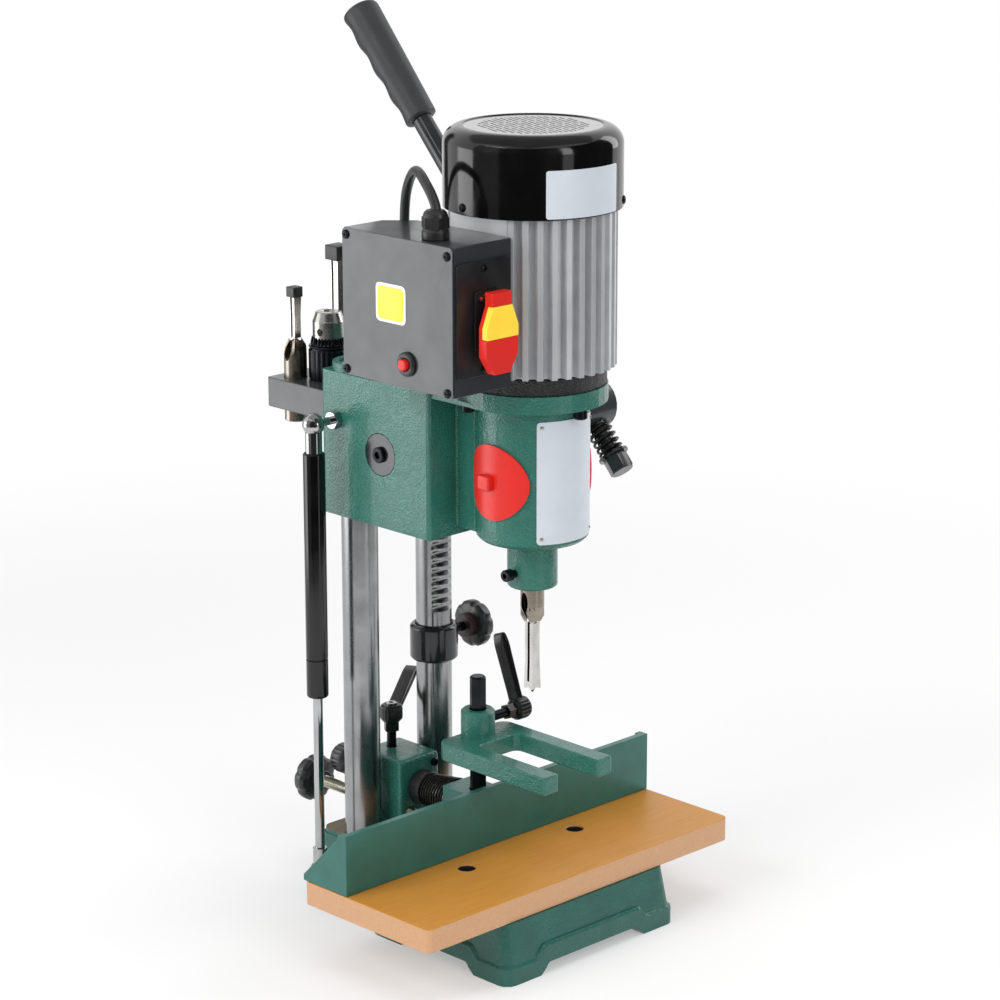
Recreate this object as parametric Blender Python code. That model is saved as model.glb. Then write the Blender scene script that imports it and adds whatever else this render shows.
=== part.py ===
"""Hollow chisel mortiser: a bench machine whose motor head slides on two columns over a table and fence.

Lengths are metres and +Z is up. Every shape is drawn in the machine's own frame: x is 0 on the centre plane,
y is 0 on the spindle axis and grows towards the back, and z is 0 on the bench. One empty then moves the whole
machine so that its origin is under the middle of its outer box.
"""

import math

import bmesh
import bpy
from mathutils import Matrix, Vector

# Clearances shared by all pieces
GAP = 0.0003
OVERRUN = 0.004
COARSE_STEPS = 12
ROUND_STEPS = 16
LARGE_STEPS = 24
MOTOR_STEPS = 36

# Columns and rack
COLUMN_RADIUS = 0.015
COLUMN_X = 0.0411
COLUMN_Y = 0.158
COLUMN_TOP = 0.455
COLUMN_FOOT = 0.006
COLUMN_CHAMFER = 0.0015
RACK_MODULE = 0.0025
RACK_LOW = 0.230
PRESSURE_ANGLE = math.radians(20)
ADDENDUM_SHARE = 1.0
DEDENDUM_SHARE = 1.25
BACKLASH = 0.0003
PINION_TEETH = 29
PINION_WIDTH = 0.018
PINION_ROOM_HALF = 0.011
PINION_ROOM_HEIGHT = 0.041

# Base casting
BASE_HALF_WIDTH = 0.097
BASE_FRONT = -0.070
BASE_SHOULDER = 0.090
BASE_BACK = 0.200
BASE_CORNER = 0.010
BASE_DRAFT_SIDE = 0.0045
BASE_DRAFT_FRONT = 0.008
BASE_WALL = 0.008
SKIRT_HEIGHT = 0.014
SKIRT_PROUD = 0.002
SKIRT_STEP = 0.002
BLOCK_HALF_WIDTH = 0.062
BLOCK_TOP = 0.052
BLOCK_FRONT = 0.128
BLOCK_SETBACK = 0.001
FOOT_LENGTH = 0.038
ARCH_HEIGHT = 0.009
ARCH_ROUNDING = 0.004
RISE_SPREAD = 0.004
CAVITY_BACK = 0.118

# Table board
TABLE_HALF_LENGTH = 0.1715
TABLE_FRONT = -0.060
TABLE_BACK = 0.084
TABLE_BOTTOM = 0.0485
TABLE_TOP = 0.068
TABLE_CORNER = 0.006
TABLE_HOLE_X = 0.0617
TABLE_HOLE_Y = 0.012
TABLE_HOLE_RADIUS = 0.0075
TABLE_HOLE_DEPTH = 0.012
TABLE_SCREW_RADIUS = 0.004

# Fence
FENCE_FACE = 0.033
FENCE_HEIGHT = 0.050
FENCE_PLATE = 0.006
FENCE_FLANGE = 0.006
FENCE_GUSSET = 0.006
FENCE_GUSSET_FLAT = 0.009
FENCE_GUSSET_DIP = 0.006
FENCE_GUSSET_TAIL = 0.005
FENCE_BOSS_HALF = 0.016
FENCE_BOSS_BACK = 0.088
FENCE_BOSS_LOW = 0.0735
FENCE_BOSS_HIGH = 0.106
BAR_HEIGHT = 0.090
BAR_RADIUS = 0.009
BAR_FRONT = 0.071
BAR_BACK = 0.216
BAR_STUD_RADIUS = 0.004
BAR_STUD_LENGTH = 0.010
BAR_KNOB_RADIUS = 0.013
BAR_KNOB_LENGTH = 0.018
FENCE_SPRING_WIRE = 0.0020
FENCE_SPRING_FRONT_RADIUS = 0.0166
FENCE_SPRING_BACK_RADIUS = 0.0128
FENCE_SPRING_TURNS = 9.0

# Fence bracket between the columns
BRACKET_HALF_WIDTH = 0.0225
BRACKET_FRONT = 0.132
BRACKET_BACK = 0.182
BRACKET_TOP = 0.116
BRACKET_ROUNDING = 0.004
BUSH_RADIUS = 0.0145
BUSH_LENGTH = 0.012
ADJUSTER_X = -0.0115
ADJUSTER_HEIGHT = 0.0685
ADJUSTER_RADIUS = 0.005
ADJUSTER_FRONT = 0.126
ADJUSTER_KNOB_FRONT = 0.240
ADJUSTER_KNOB_RADIUS = 0.020
ADJUSTER_KNOB_LENGTH = 0.020
LOCK_Y = 0.167
LOCK_STUD_RADIUS = 0.004
LOCK_HUB_LOW = 0.130
LOCK_ARM = Vector((0.0512, 0.0290, 0.0225))

# Hold-down
HOLD_ROD_Y = 0.0625
HOLD_ROD_TOP = 0.203
HOLD_ROD_FOOT = 0.076
HOLD_ROD_RADIUS = 0.0069
HOLD_BORE_RADIUS = 0.0073
FORK_LOW = 0.139
FORK_PLATE = 0.015
FORK_BOSS_TOP = 0.175
FORK_BOSS_RADIUS = 0.0142
FORK_HALF_WIDTH = 0.0385
FORK_PRONG = 0.0165
FORK_FRONT = -0.052
FORK_BACK = 0.0715
FORK_GAP_BACK = 0.040
FORK_CORNER = 0.010
FORK_INNER_CORNER = 0.005
FORK_EDGE = 0.002
HOLD_LEVER_HEIGHT = 0.164
HOLD_LEVER_X = 0.0315
HOLD_ARM = Vector((0.0, 0.0225, 0.0600))

# Clamp levers, both of one pattern
CLAMP_HUB_RADIUS = 0.0095
CLAMP_HUB_LENGTH = 0.022
CLAMP_NECK_RADIUS = 0.0065
CLAMP_NECK_LENGTH = 0.008
CLAMP_STUD_RADIUS = 0.004
CLAMP_ARM_WIDTH = 0.011
CLAMP_ARM_THICKNESS = 0.009

# Depth stop
COLLAR_RADIUS = 0.0203
COLLAR_LOW = 0.187
COLLAR_HIGH = 0.218
COLLAR_EDGE = 0.002
COLLAR_KNOB_HEIGHT = 0.207
COLLAR_KNOB_X = 0.0745
COLLAR_KNOB_RADIUS = 0.020
COLLAR_KNOB_LENGTH = 0.020
COLLAR_SCREW_RADIUS = 0.004
KNOB_HUB_RADIUS = 0.0085
KNOB_HUB_LENGTH = 0.007
KNOB_LOBES = 7
KNOB_LOBE_DEPTH = 0.0013

# Head casting
HEAD_HALF_WIDTH = 0.062
HEAD_FRONT = 0.053
HEAD_BACK = 0.179
HEAD_LOW = 0.331
HEAD_TOP = 0.450
HEAD_EDGE = 0.003
HEAD_WALL = 0.008
HEAD_FLOOR = 0.010
HEAD_CAVITY_BACK = 0.136
COLUMN_BOSS_RADIUS = 0.0205
COLUMN_BOSS_TOP = 0.457
HOUSING_RADIUS = 0.0445
HOUSING_EDGE = 0.003
HOUSING_BORE = 0.037
HOUSING_LOW = 0.334
HOUSING_FLOOR = 0.006
NECK_HALF_WIDTH = 0.031
FLANGE_RADIUS = 0.059
FLANGE_LOW = 0.446
FLANGE_TOP = 0.460
NOSE_RADIUS = 0.020
NOSE_EDGE = 0.0012
NOSE_LOW = 0.294
WINDOW_RADIUS = 0.027
WINDOW_HEIGHT = 0.386
COVER_RADIUS = 0.030
COVER_SKIN = 0.0016
COVER_PLUG = 0.005
COVER_TAB_WIDTH = 0.0125
COVER_TAB_HEIGHT = 0.012
COVER_TAB_DEPTH = 0.006
COVER_TAB_OFFSET = 0.003
COVER_TAB_ROUNDING = 0.0015

# Pinion shaft and feed lever
SHAFT_HEIGHT = 0.391
SHAFT_RADIUS = 0.0125
SHAFT_END_WALL = 0.0015
SHAFT_BOSS_RADIUS = 0.022
SHAFT_BOSS_LENGTH = 0.016
PLUG_RADIUS = 0.0175
PLUG_DEPTH = 0.006
PLUG_SCREW_RADIUS = 0.0065
PLUG_SCREW_LENGTH = 0.010
LEVER_X = 0.172
LEVER_ANGLE = math.radians(48)
LEVER_HUB_RADIUS = 0.021
LEVER_HUB_HALF_LENGTH = 0.019
HUB_CHAMFER = 0.002
LEVER_ROD_RADIUS = 0.009
LEVER_TAIL_RADIUS = 0.0075
LEVER_TAIL = 0.0485
LEVER_SHOULDER = 0.002
LEVER_WASHER_RADIUS = 0.0135
LEVER_WASHER = 0.0025
LEVER_HEX_RADIUS = 0.0110
LEVER_HEX = 0.015
LEVER_SPRING_RADIUS = 0.0102
LEVER_SPRING_WIRE = 0.0024
LEVER_SPRING_TURNS = 5.0
GRIP_START = 0.298
GRIP_END = 0.417
GRIP_RADIUS_LOW = 0.0145
GRIP_RADIUS_HIGH = 0.0170
GRIP_GROOVE = 0.0024
GRIP_GROOVES = 4
GRIP_WALL = 0.006
GRIP_EDGE = 0.002

# Chisel, chuck and bit
SHANK_RADIUS = 0.0095
SHANK_TOP = 0.332
SHANK_LOW = 0.277
CONE_LOW = 0.262
BLADE_HALF = 0.0041
BLADE_FLARE = 0.0007
BLADE_TIP = 0.208
BLADE_FLARE_HEIGHT = 0.022
BLADE_BORE = 0.0034
SHANK_BORE = 0.0050
CHISEL_WINDOW_HEIGHT = 0.2805
CHISEL_WINDOW_HALF_WIDTH = 0.0036
CHISEL_WINDOW_HALF_HEIGHT = 0.0075
CHISEL_SLOT_HALF_WIDTH = 0.0012
CHISEL_SLOT_LOW = 0.216
CHISEL_SLOT_HIGH = 0.262
BIT_RADIUS = 0.0030
BIT_TIP = 0.2045
BIT_TOP = 0.362
BIT_WEB = 0.0014
BIT_PITCH = 0.016
BIT_POINT = 0.003
BIT_POINT_SHARE = 0.25
BIT_TWIST_TOP = 0.270
BIT_TWIST_STEP = 0.0025
CHUCK_RADIUS = 0.022
CHUCK_NOSE_RADIUS = 0.011
CHUCK_LOW = 0.343
CHUCK_JAW_TOP = 0.357
CHUCK_TOP = 0.405
CHUCK_SOCKET = 0.016
CHUCK_CHAMFER = 0.0015
SET_SCREW_HEIGHT = 0.307
SET_SCREW_RADIUS = 0.003
SET_SCREW_HEAD_RADIUS = 0.0048
SET_SCREW_HEAD = 0.007
SET_SCREW_STANDOFF = 0.004

# Motor
ROTOR_SHAFT_RADIUS = 0.007
ROTOR_RADIUS = 0.0262
ROTOR_LOW = 0.494
ROTOR_HIGH = 0.570
STATOR_BORE = 0.0268
STATOR_LOW = 0.488
STATOR_HIGH = 0.576
BELL_RADIUS = 0.058
BELL_HEIGHT = 0.0138
BELL_SPIGOT = 0.008
BELL_CHAMFER = 0.0015
FIN_RADIUS = 0.0655
FIN_ROOT_RADIUS = 0.0585
FIN_COUNT = 36
FIN_TIP_SHARE = 0.20
FIN_ROOT_SHARE = 0.34
MOTOR_BORE = 0.053
MOTOR_TOP = 0.598
PAD_X = -0.0587
PAD_HALF_WIDTH = 0.030
REAR_BELL_HEIGHT = 0.010
CAP_RADIUS = 0.0697
CAP_WALL = 0.0016
CAP_TOP = 0.661
CAP_SHOULDER = 0.0141
FAN_RADIUS = 0.054
FAN_HUB_RADIUS = 0.018
FAN_BLADES = 8
FAN_LOW = 0.614
FAN_HEIGHT = 0.020
FAN_PLATE = 0.003
FAN_BLADE_HALF = 0.0012
SHAFT_TOP = 0.632
BOLT_CIRCLE = 0.052
BOLT_RADIUS = 0.003
BOLT_HEAD_RADIUS = 0.0055
BOLT_HEAD = 0.0075
BOLT_ANGLES = (-90, 30, 150)
LEAD_BOSS_HEIGHT = 0.500
LEAD_BOSS_ANGLE = math.radians(118)
LEAD_BOSS_RADIUS = 0.0075
LEAD_BOSS_REACH = 0.0690

# Switch box
BOX_LEFT = -0.120
BOX_RIGHT = -0.0592
BOX_FRONT = -0.036
BOX_BACK = 0.086
BOX_LOW = 0.471
BOX_HIGH = 0.5855
BOX_WALL = 0.003
BOX_CHAMFER = 0.020
BOX_CORNER = 0.003
COVER_PLATE = 0.0016
SWITCH_PLATE_HALF_WIDTH = 0.028
SWITCH_PLATE_X = -0.0895
SWITCH_PLATE_LOW = 0.485
SWITCH_PLATE_HIGH = 0.5725
SWITCH_PLATE = 0.0018
SWITCH_X = -0.088
BEZEL_HALF_WIDTH = 0.01275
BEZEL_LOW = 0.5064
BEZEL_HIGH = 0.5500
BEZEL_PROUD = 0.002
BEZEL_LIP = 0.0015
SWITCH_DEPTH = 0.024
PADDLE_HALF_WIDTH = 0.0165
PADDLE_HOOD_HALF_WIDTH = 0.010
PADDLE_TIP_HALF_WIDTH = 0.008
PADDLE_LOW = 0.489
PADDLE_CHAMFER_HEIGHT = 0.014
PADDLE_KEY_LOW = 0.516
PADDLE_KEY_SHOULDER = 0.525
PADDLE_KEY_HIGH = 0.541
PADDLE_HIGH = 0.551
PADDLE_BACK = -0.048
PADDLE_FRONT = -0.056
PADDLE_WEB = 0.003
PADDLE_PIVOT = Vector((SWITCH_X, -0.044, 0.546))
PADDLE_ROOT = 0.0024
PIVOT_LUG = 0.002
PIVOT_PIN = 0.0012
KEY_PROUD = 0.0006
RESET_Y = 0.0136
RESET_HEIGHT = 0.490
RESET_BEZEL_RADIUS = 0.0095
RESET_BEZEL = 0.003
RESET_NECK_RADIUS = 0.0062
RESET_NECK_LENGTH = 0.012
RESET_BUTTON_RADIUS = 0.0044
RESET_BUTTON_PROUD = 0.0035
RESET_BUTTON_LENGTH = 0.012
GLAND_X = -0.103
GLAND_Y = 0.0
GLAND_RADIUS = 0.0105
GLAND_HEX_RADIUS = 0.0112
GLAND_NECK_RADIUS = 0.0078
GLAND_BASE = 0.007
GLAND_NUT = 0.011
GLAND_DOME = 0.004
LEAD_DIAMETER = 0.0076
LEAD_STRAIGHT = 0.012
LEAD_POINTS = 26
LEAD_WAY_SHARES = (
    (0.031, 0.154, 1.122),
    (0.277, 0.573, 1.176),
    (0.569, 1.007, 0.959),
    (0.738, 1.203, 0.588),
    (0.846, 1.245, 0.226),
    (0.938, 1.161, 0.036),
)
MAINS_GLAND_X = -0.100
MAINS_GLAND_HEIGHT = 0.492
MAINS_GLAND_RADIUS = 0.008
MAINS_GLAND_LENGTH = 0.014
MAINS_GLAND_BORE = 0.0036

# Gas strut
STRUT_X = -0.0866
STRUT_Y = 0.161
STRUT_BALL_HIGH = 0.411
STRUT_BALL_LOW = 0.030
STRUT_BALL_RADIUS = 0.0062
STRUT_SOCKET_RADIUS = 0.0091
STRUT_SOCKET_CLEARANCE = 0.0005
STRUT_NECK_RADIUS = 0.0034
STRUT_STUD_RADIUS = 0.004
STRUT_NUT_RADIUS = 0.0078
STRUT_NUT = 0.006
STRUT_STUD_DEPTH = 0.0045
STRUT_FACING = 0.0037
STRUT_FITTING_RADIUS = 0.0062
STRUT_TUBE_TOP = 0.388
STRUT_TUBE_LOW = 0.182
STRUT_TUBE_RADIUS = 0.009
STRUT_TUBE_BORE = 0.0075
STRUT_ROD_RADIUS = 0.004
STRUT_ROD_TOP = 0.214
STRUT_PISTON = 0.010
STRUT_ROD_FITTING_TOP = 0.051
STRUT_ROD_FITTING_RADIUS = 0.0060
STRUT_GROOVE_HEIGHT = 0.215
STRUT_GROOVE = 0.0008
STRUT_END_ROUND = 0.002

# Tool holder
HOLDER_HALF_WIDTH = 0.058
HOLDER_BACK = 0.251
HOLDER_LOW = 0.406
HOLDER_HIGH = 0.4305
HOLDER_EDGE = 0.002
SMALL_CHISEL_PLACE = (-0.041, 0.2345)
LARGE_CHISEL_PLACE = (0.005, 0.232)
SPARE_CHUCK_PLACE = (-0.025, 0.211)
SPARE_SHANK_LOW = 0.391
SPARE_SHANK_HIGH = 0.449
SPARE_CONE_HIGH = 0.464
SMALL_BLADE_HALF = 0.0034
LARGE_BLADE_HALF = 0.0064
SMALL_CAP_TOP = 0.506
LARGE_CAP_TOP = 0.535
SMALL_CAP_HALF = 0.0052
LARGE_CAP_HALF = 0.0088
SMALL_CAP_HEIGHT = 0.018
LARGE_CAP_HEIGHT = 0.030
SPARE_CHUCK_RADIUS = 0.0168
SPARE_CHUCK_SLEEVE_TOP = 0.459
SPARE_CHUCK_RING_TOP = 0.466
SPARE_CHUCK_CONE_TOP = 0.487
SPARE_CHUCK_TOP_RADIUS = 0.0090
SPARE_CHUCK_UPPER_RADIUS = 0.0135
SPARE_ARBOR_RADIUS = 0.0065

UP = Vector((0.0, 0.0, 1.0))
RIGHT = Vector((1.0, 0.0, 0.0))
BACKWARD = Vector((0.0, 1.0, 0.0))
NOWHERE = Vector((0.0, 0.0, 0.0))

# Sizes worked out from the ones above
RACK_PITCH = math.pi * RACK_MODULE
PINION_PITCH_RADIUS = PINION_TEETH * RACK_MODULE / 2
RACK_TIP_Y = COLUMN_Y - COLUMN_RADIUS
RACK_PITCH_Y = RACK_TIP_Y + ADDENDUM_SHARE * RACK_MODULE
SHAFT_Y = RACK_PITCH_Y - PINION_PITCH_RADIUS
BASE_TOP = TABLE_BOTTOM - GAP
LEVER_DIRECTION = Vector((0.0, math.cos(LEVER_ANGLE), math.sin(LEVER_ANGLE)))
LEVER_HUB = Vector((LEVER_X, SHAFT_Y, SHAFT_HEIGHT))
MACHINE_BACK = SHAFT_Y + GRIP_END * math.cos(LEVER_ANGLE) + GRIP_RADIUS_HIGH * math.sin(LEVER_ANGLE)
MACHINE_CENTRE = Vector(
    (
        (LEVER_X + LEVER_HUB_HALF_LENGTH - TABLE_HALF_LENGTH) / 2,
        (BASE_FRONT + MACHINE_BACK) / 2,
        0.0,
    )
)

MATERIALS = {}
CARRIERS = {}
TOOLS = []


# Scene, materials and carriers


def clear_scene():
    """Remove whatever the scene holds."""
    for item in list(bpy.data.objects):
        bpy.data.objects.remove(item, do_unlink=True)


def linear(channel):
    """One sRGB channel, 0 to 1, as linear light."""
    if channel <= 0.04045:
        return channel / 12.92
    return ((channel + 0.055) / 1.055) ** 2.4


def make_material(name, colour, roughness, metallic=0.0):
    """A Principled material of one sRGB hex colour."""
    finish = bpy.data.materials.new(name)
    finish.use_nodes = True
    shader = finish.node_tree.nodes["Principled BSDF"]
    channels = [linear(int(colour[i : i + 2], 16) / 255) for i in (1, 3, 5)]
    shader.inputs["Base Color"].default_value = (*channels, 1.0)
    shader.inputs["Roughness"].default_value = roughness
    shader.inputs["Metallic"].default_value = metallic
    finish.diffuse_color = (*channels, 1.0)
    MATERIALS[name] = finish


def make_materials():
    """The finishes of the machine."""
    make_material("green_enamel", "#2F6B5E", 0.35)
    make_material("polished_steel", "#B9BBBD", 0.22, 1.0)
    make_material("turned_steel", "#8E8A84", 0.38, 1.0)
    make_material("dark_steel", "#3A3836", 0.45, 1.0)
    make_material("zinc_plate", "#C9C8C0", 0.28, 1.0)
    make_material("chrome", "#D8DADC", 0.10, 1.0)
    make_material("cast_aluminium", "#C6C8CA", 0.40, 1.0)
    make_material("motor_iron", "#55565A", 0.55, 1.0)
    make_material("copper_winding", "#A85A32", 0.40, 1.0)
    make_material("black_texture", "#26272A", 0.70)
    make_material("black_gloss", "#0B0C0D", 0.12)
    make_material("black_satin", "#2B2D30", 0.45)
    make_material("black_plastic", "#1B1B1C", 0.50)
    make_material("grip_rubber", "#3D4042", 0.65)
    make_material("red_plastic", "#E8281E", 0.35)
    make_material("yellow_plastic", "#F7C71A", 0.35)
    make_material("table_laminate", "#C98A35", 0.35)
    make_material("cable_jacket", "#2A2A2B", 0.45)
    make_material("fan_plastic", "#3B3B3D", 0.55)


def add_carrier(name, point, parent=None):
    """An empty at a point of the machine's frame, usually on a joint's axis."""
    empty = bpy.data.objects.new(name, None)
    bpy.context.scene.collection.objects.link(empty)
    if parent:
        empty.parent = bpy.data.objects[parent]
        empty.location = point - CARRIERS[parent]
    else:
        empty.location = point - MACHINE_CENTRE
    CARRIERS[name] = point.copy()


def make_carriers():
    """One empty for each piece that moves, on the axis that it moves about or along."""
    add_carrier("base_body", NOWHERE)
    add_carrier("fence_body", Vector((0.0, FENCE_FACE, BAR_HEIGHT)), "base_body")
    add_carrier("bar_knob_body", Vector((0.0, BAR_BACK, BAR_HEIGHT)), "fence_body")
    adjuster = Vector((ADJUSTER_X, ADJUSTER_KNOB_FRONT, ADJUSTER_HEIGHT))
    add_carrier("adjuster_body", adjuster, "base_body")
    add_carrier("fence_lock_body", Vector((0.0, LOCK_Y, LOCK_HUB_LOW)), "base_body")
    add_carrier("fork_body", Vector((0.0, HOLD_ROD_Y, FORK_LOW)), "fence_body")
    lever = Vector((HOLD_LEVER_X, HOLD_ROD_Y, HOLD_LEVER_HEIGHT))
    add_carrier("hold_lever_body", lever, "fork_body")
    add_carrier("collar_body", Vector((COLUMN_X, COLUMN_Y, COLLAR_LOW)), "base_body")
    knob = Vector((COLLAR_KNOB_X, COLUMN_Y, COLLAR_KNOB_HEIGHT))
    add_carrier("collar_knob_body", knob, "collar_body")
    add_carrier("head_body", Vector((0.0, COLUMN_Y, HEAD_LOW)), "base_body")
    add_carrier("spindle_body", Vector((0.0, 0.0, CHUCK_LOW)), "head_body")
    add_carrier("hub_body", LEVER_HUB, "head_body")
    add_carrier("arm_body", LEVER_HUB, "hub_body")
    add_carrier("paddle_body", PADDLE_PIVOT, "head_body")
    key = Vector((SWITCH_X, PADDLE_FRONT, PADDLE_KEY_LOW))
    add_carrier("key_body", key, "paddle_body")
    add_carrier("reset_body", Vector((BOX_LEFT, RESET_Y, RESET_HEIGHT)), "head_body")
    screw = Vector((-NOSE_RADIUS, 0.0, SET_SCREW_HEIGHT))
    add_carrier("chisel_screw_body", screw, "head_body")
    for side, sign in (("left", -1), ("right", 1)):
        place = Vector((sign * HOUSING_RADIUS, 0.0, WINDOW_HEIGHT))
        add_carrier(f"cover_{side}_body", place, "head_body")


# Shapes, all drawn in the machine's frame


def add_object(name, data):
    """Link a mesh or a curve as an object."""
    item = bpy.data.objects.new(name, data)
    bpy.context.scene.collection.objects.link(item)
    return item


def solid(name, points, faces):
    """A closed mesh object with its faces turned outwards."""
    mesh = bpy.data.meshes.new(name)
    mesh.from_pydata([tuple(point) for point in points], [], faces)
    shape = bmesh.new()
    shape.from_mesh(mesh)
    bmesh.ops.recalc_face_normals(shape, faces=shape.faces)
    shape.to_mesh(mesh)
    shape.free()
    return add_object(name, mesh)


def across(axis):
    """Two unit directions square to each other and to an axis that is level or lies in the side plane."""
    first = UP if axis.z == 0 else RIGHT
    return first, axis.cross(first).normalized()


def turned(name, profile, centre=NOWHERE, axis=UP, steps=ROUND_STEPS):
    """A turned solid. The profile is (radius, distance), a ring if it never meets the axis."""
    first, second = across(axis)
    angles = [math.tau * (i + 0.5) / steps for i in range(steps)]
    points = []
    rows = []
    for radius, height in profile:
        middle = centre + axis * height
        if radius == 0:
            rows.append([len(points)])
            points.append(middle)
            continue
        rows.append(list(range(len(points), len(points) + steps)))
        for angle in angles:
            points.append(middle + first * (radius * math.cos(angle)) + second * (radius * math.sin(angle)))
    follows = rows[1:]
    if len(rows[0]) > 1 and len(rows[-1]) > 1:
        follows = rows[1:] + rows[:1]
    faces = []
    for low, high in zip(rows, follows):
        for i in range(steps):
            j = (i + 1) % steps
            if len(low) == 1:
                faces.append((low[0], high[i], high[j]))
            elif len(high) == 1:
                faces.append((low[i], low[j], high[0]))
            else:
                faces.append((low[i], low[j], high[j], high[i]))
    return solid(name, points, faces)


def rod(name, radius, low, high, centre=NOWHERE, axis=UP, steps=ROUND_STEPS):
    """A plain round bar from one distance along the axis to another."""
    return turned(name, [(0, low), (radius, low), (radius, high), (0, high)], centre, axis, steps)


def chamfered_rod(name, radius, low, high, chamfer, centre=NOWHERE, axis=UP, steps=ROUND_STEPS):
    """A round bar whose two ends have a chamfer."""
    inner = radius - chamfer
    profile = [
        (0, low),
        (inner, low),
        (radius, low + chamfer),
        (radius, high - chamfer),
        (inner, high),
        (0, high),
    ]
    return turned(name, profile, centre, axis, steps)


def ball(name, radius, centre, steps=COARSE_STEPS, rings=8):
    """A ball as a turned half circle."""
    arc = [math.pi * i / rings for i in range(rings + 1)]
    profile = [(radius * math.sin(a) if 0 < a < math.pi else 0, -radius * math.cos(a)) for a in arc]
    profile[-1] = (0, radius)
    return turned(name, profile, centre, UP, steps)


def ring_along(points, height, axis):
    """2-D points set at one height along X, Y or Z."""
    places = {
        "X": lambda a, b: Vector((height, a, b)),
        "Y": lambda a, b: Vector((a, height, b)),
        "Z": lambda a, b: Vector((a, b, height)),
    }
    return [places[axis](a, b) for a, b in points]


def loft(name, rings):
    """A closed solid through rings of equally many points, with flat ends."""
    count = len(rings[0])
    points = [point for ring in rings for point in ring]
    faces = [tuple(range(count)), tuple(range(len(points) - count, len(points)))]
    for row in range(len(rings) - 1):
        start = row * count
        for i in range(count):
            j = (i + 1) % count
            faces.append((start + i, start + j, start + count + j, start + count + i))
    return solid(name, points, faces)


def prism(name, outline, low, high, axis="Z"):
    """An outline carried straight along an axis. Outlines are (y, z) for X, (x, z) for Y and (x, y) for Z."""
    return loft(name, [ring_along(outline, low, axis), ring_along(outline, high, axis)])


def rectangle(low_a, high_a, low_b, high_b):
    """The four corners of a rectangle."""
    return [(low_a, low_b), (high_a, low_b), (high_a, high_b), (low_a, high_b)]


def block(name, low, high):
    """A plain box between two corners."""
    return prism(name, rectangle(low[0], high[0], low[1], high[1]), low[2], high[2])


def rounded(corners, radius, steps=3):
    """An outline whose corners are arcs. The radius is one value, or one for each corner."""
    radii = radius if isinstance(radius, (list, tuple)) else [radius] * len(corners)
    outline = []
    for i, corner in enumerate(corners):
        here = Vector(corner)
        before = (Vector(corners[i - 1]) - here).normalized()
        after = (Vector(corners[(i + 1) % len(corners)]) - here).normalized()
        half = before.angle(after) / 2
        middle = here + (before + after).normalized() * (radii[i] / math.sin(half))
        start = here + before * (radii[i] / math.tan(half)) - middle
        end = here + after * (radii[i] / math.tan(half)) - middle
        for step in range(steps + 1):
            share = step / steps
            spoke = start * (1 - share) + end * share
            outline.append(tuple(middle + spoke.normalized() * radii[i]))
    return outline


def circle(radius, centre=(0, 0), steps=ROUND_STEPS, turn=0.0):
    """Points round a circle."""
    angles = [turn + math.tau * i / steps for i in range(steps)]
    return [(centre[0] + radius * math.cos(a), centre[1] + radius * math.sin(a)) for a in angles]


def inset(outline, depth):
    """An outline moved inwards. Its points run anticlockwise."""
    moved = []
    for i, point in enumerate(outline):
        here = Vector(point)
        before = (here - Vector(outline[i - 1])).normalized()
        after = (Vector(outline[(i + 1) % len(outline)]) - here).normalized()
        inward = Vector((-before.y - after.y, before.x + after.x)).normalized()
        across_edge = inward.dot(Vector((-before.y, before.x)))
        moved.append(tuple(here + inward * (depth / across_edge)))
    return moved


def soften(item, width, segments=1, sharpest=math.radians(30)):
    """Bevel the sharp edges of a plain solid."""
    shape = bmesh.new()
    shape.from_mesh(item.data)
    edges = [edge for edge in shape.edges if edge.calc_face_angle(0.0) > sharpest]
    bmesh.ops.bevel(shape, geom=edges, offset=width, segments=segments, affect="EDGES", profile=0.5)
    shape.to_mesh(item.data)
    shape.free()
    return item


def lobed_knob(name, centre, axis, radius, length):
    """A clamp knob: a round hub and a domed disc with shallow lobes. The axis points away from the hub."""
    first, second = across(axis)
    steps = KNOB_LOBES * 4
    disc = length - KNOB_HUB_LENGTH
    profile = [
        (KNOB_HUB_RADIUS, 0.0, 0.0),
        (KNOB_HUB_RADIUS, KNOB_HUB_LENGTH, 0.0),
        (radius - KNOB_HUB_RADIUS / 4, KNOB_HUB_LENGTH, 1.0),
        (radius, KNOB_HUB_LENGTH + disc / 4, 1.0),
        (radius, KNOB_HUB_LENGTH + disc * 2 / 3, 1.0),
        (radius - KNOB_HUB_RADIUS / 4, length - disc / 12, 1.0),
        (KNOB_HUB_RADIUS, length, 0.0),
    ]
    rings = []
    for reach, height, lobes in profile:
        ring = []
        for i in range(steps):
            angle = math.tau * i / steps
            out = reach + lobes * KNOB_LOBE_DEPTH * (math.cos(KNOB_LOBES * angle) - 1)
            spoke = first * (out * math.cos(angle)) + second * (out * math.sin(angle))
            ring.append(centre + axis * height + spoke)
        rings.append(ring)
    return loft(name, rings)


def tube(name, points, diameter, level):
    """A round tube along points that run on one smooth line."""
    curve = bpy.data.curves.new(name, "CURVE")
    curve.dimensions = "3D"
    curve.bevel_depth = diameter / 2
    curve.bevel_resolution = level
    curve.use_fill_caps = True
    spline = curve.splines.new("POLY")
    spline.points.add(len(points) - 1)
    for spot, point in zip(spline.points, points):
        spot.co = (*point, 1.0)
    return add_object(name, curve)


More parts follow.
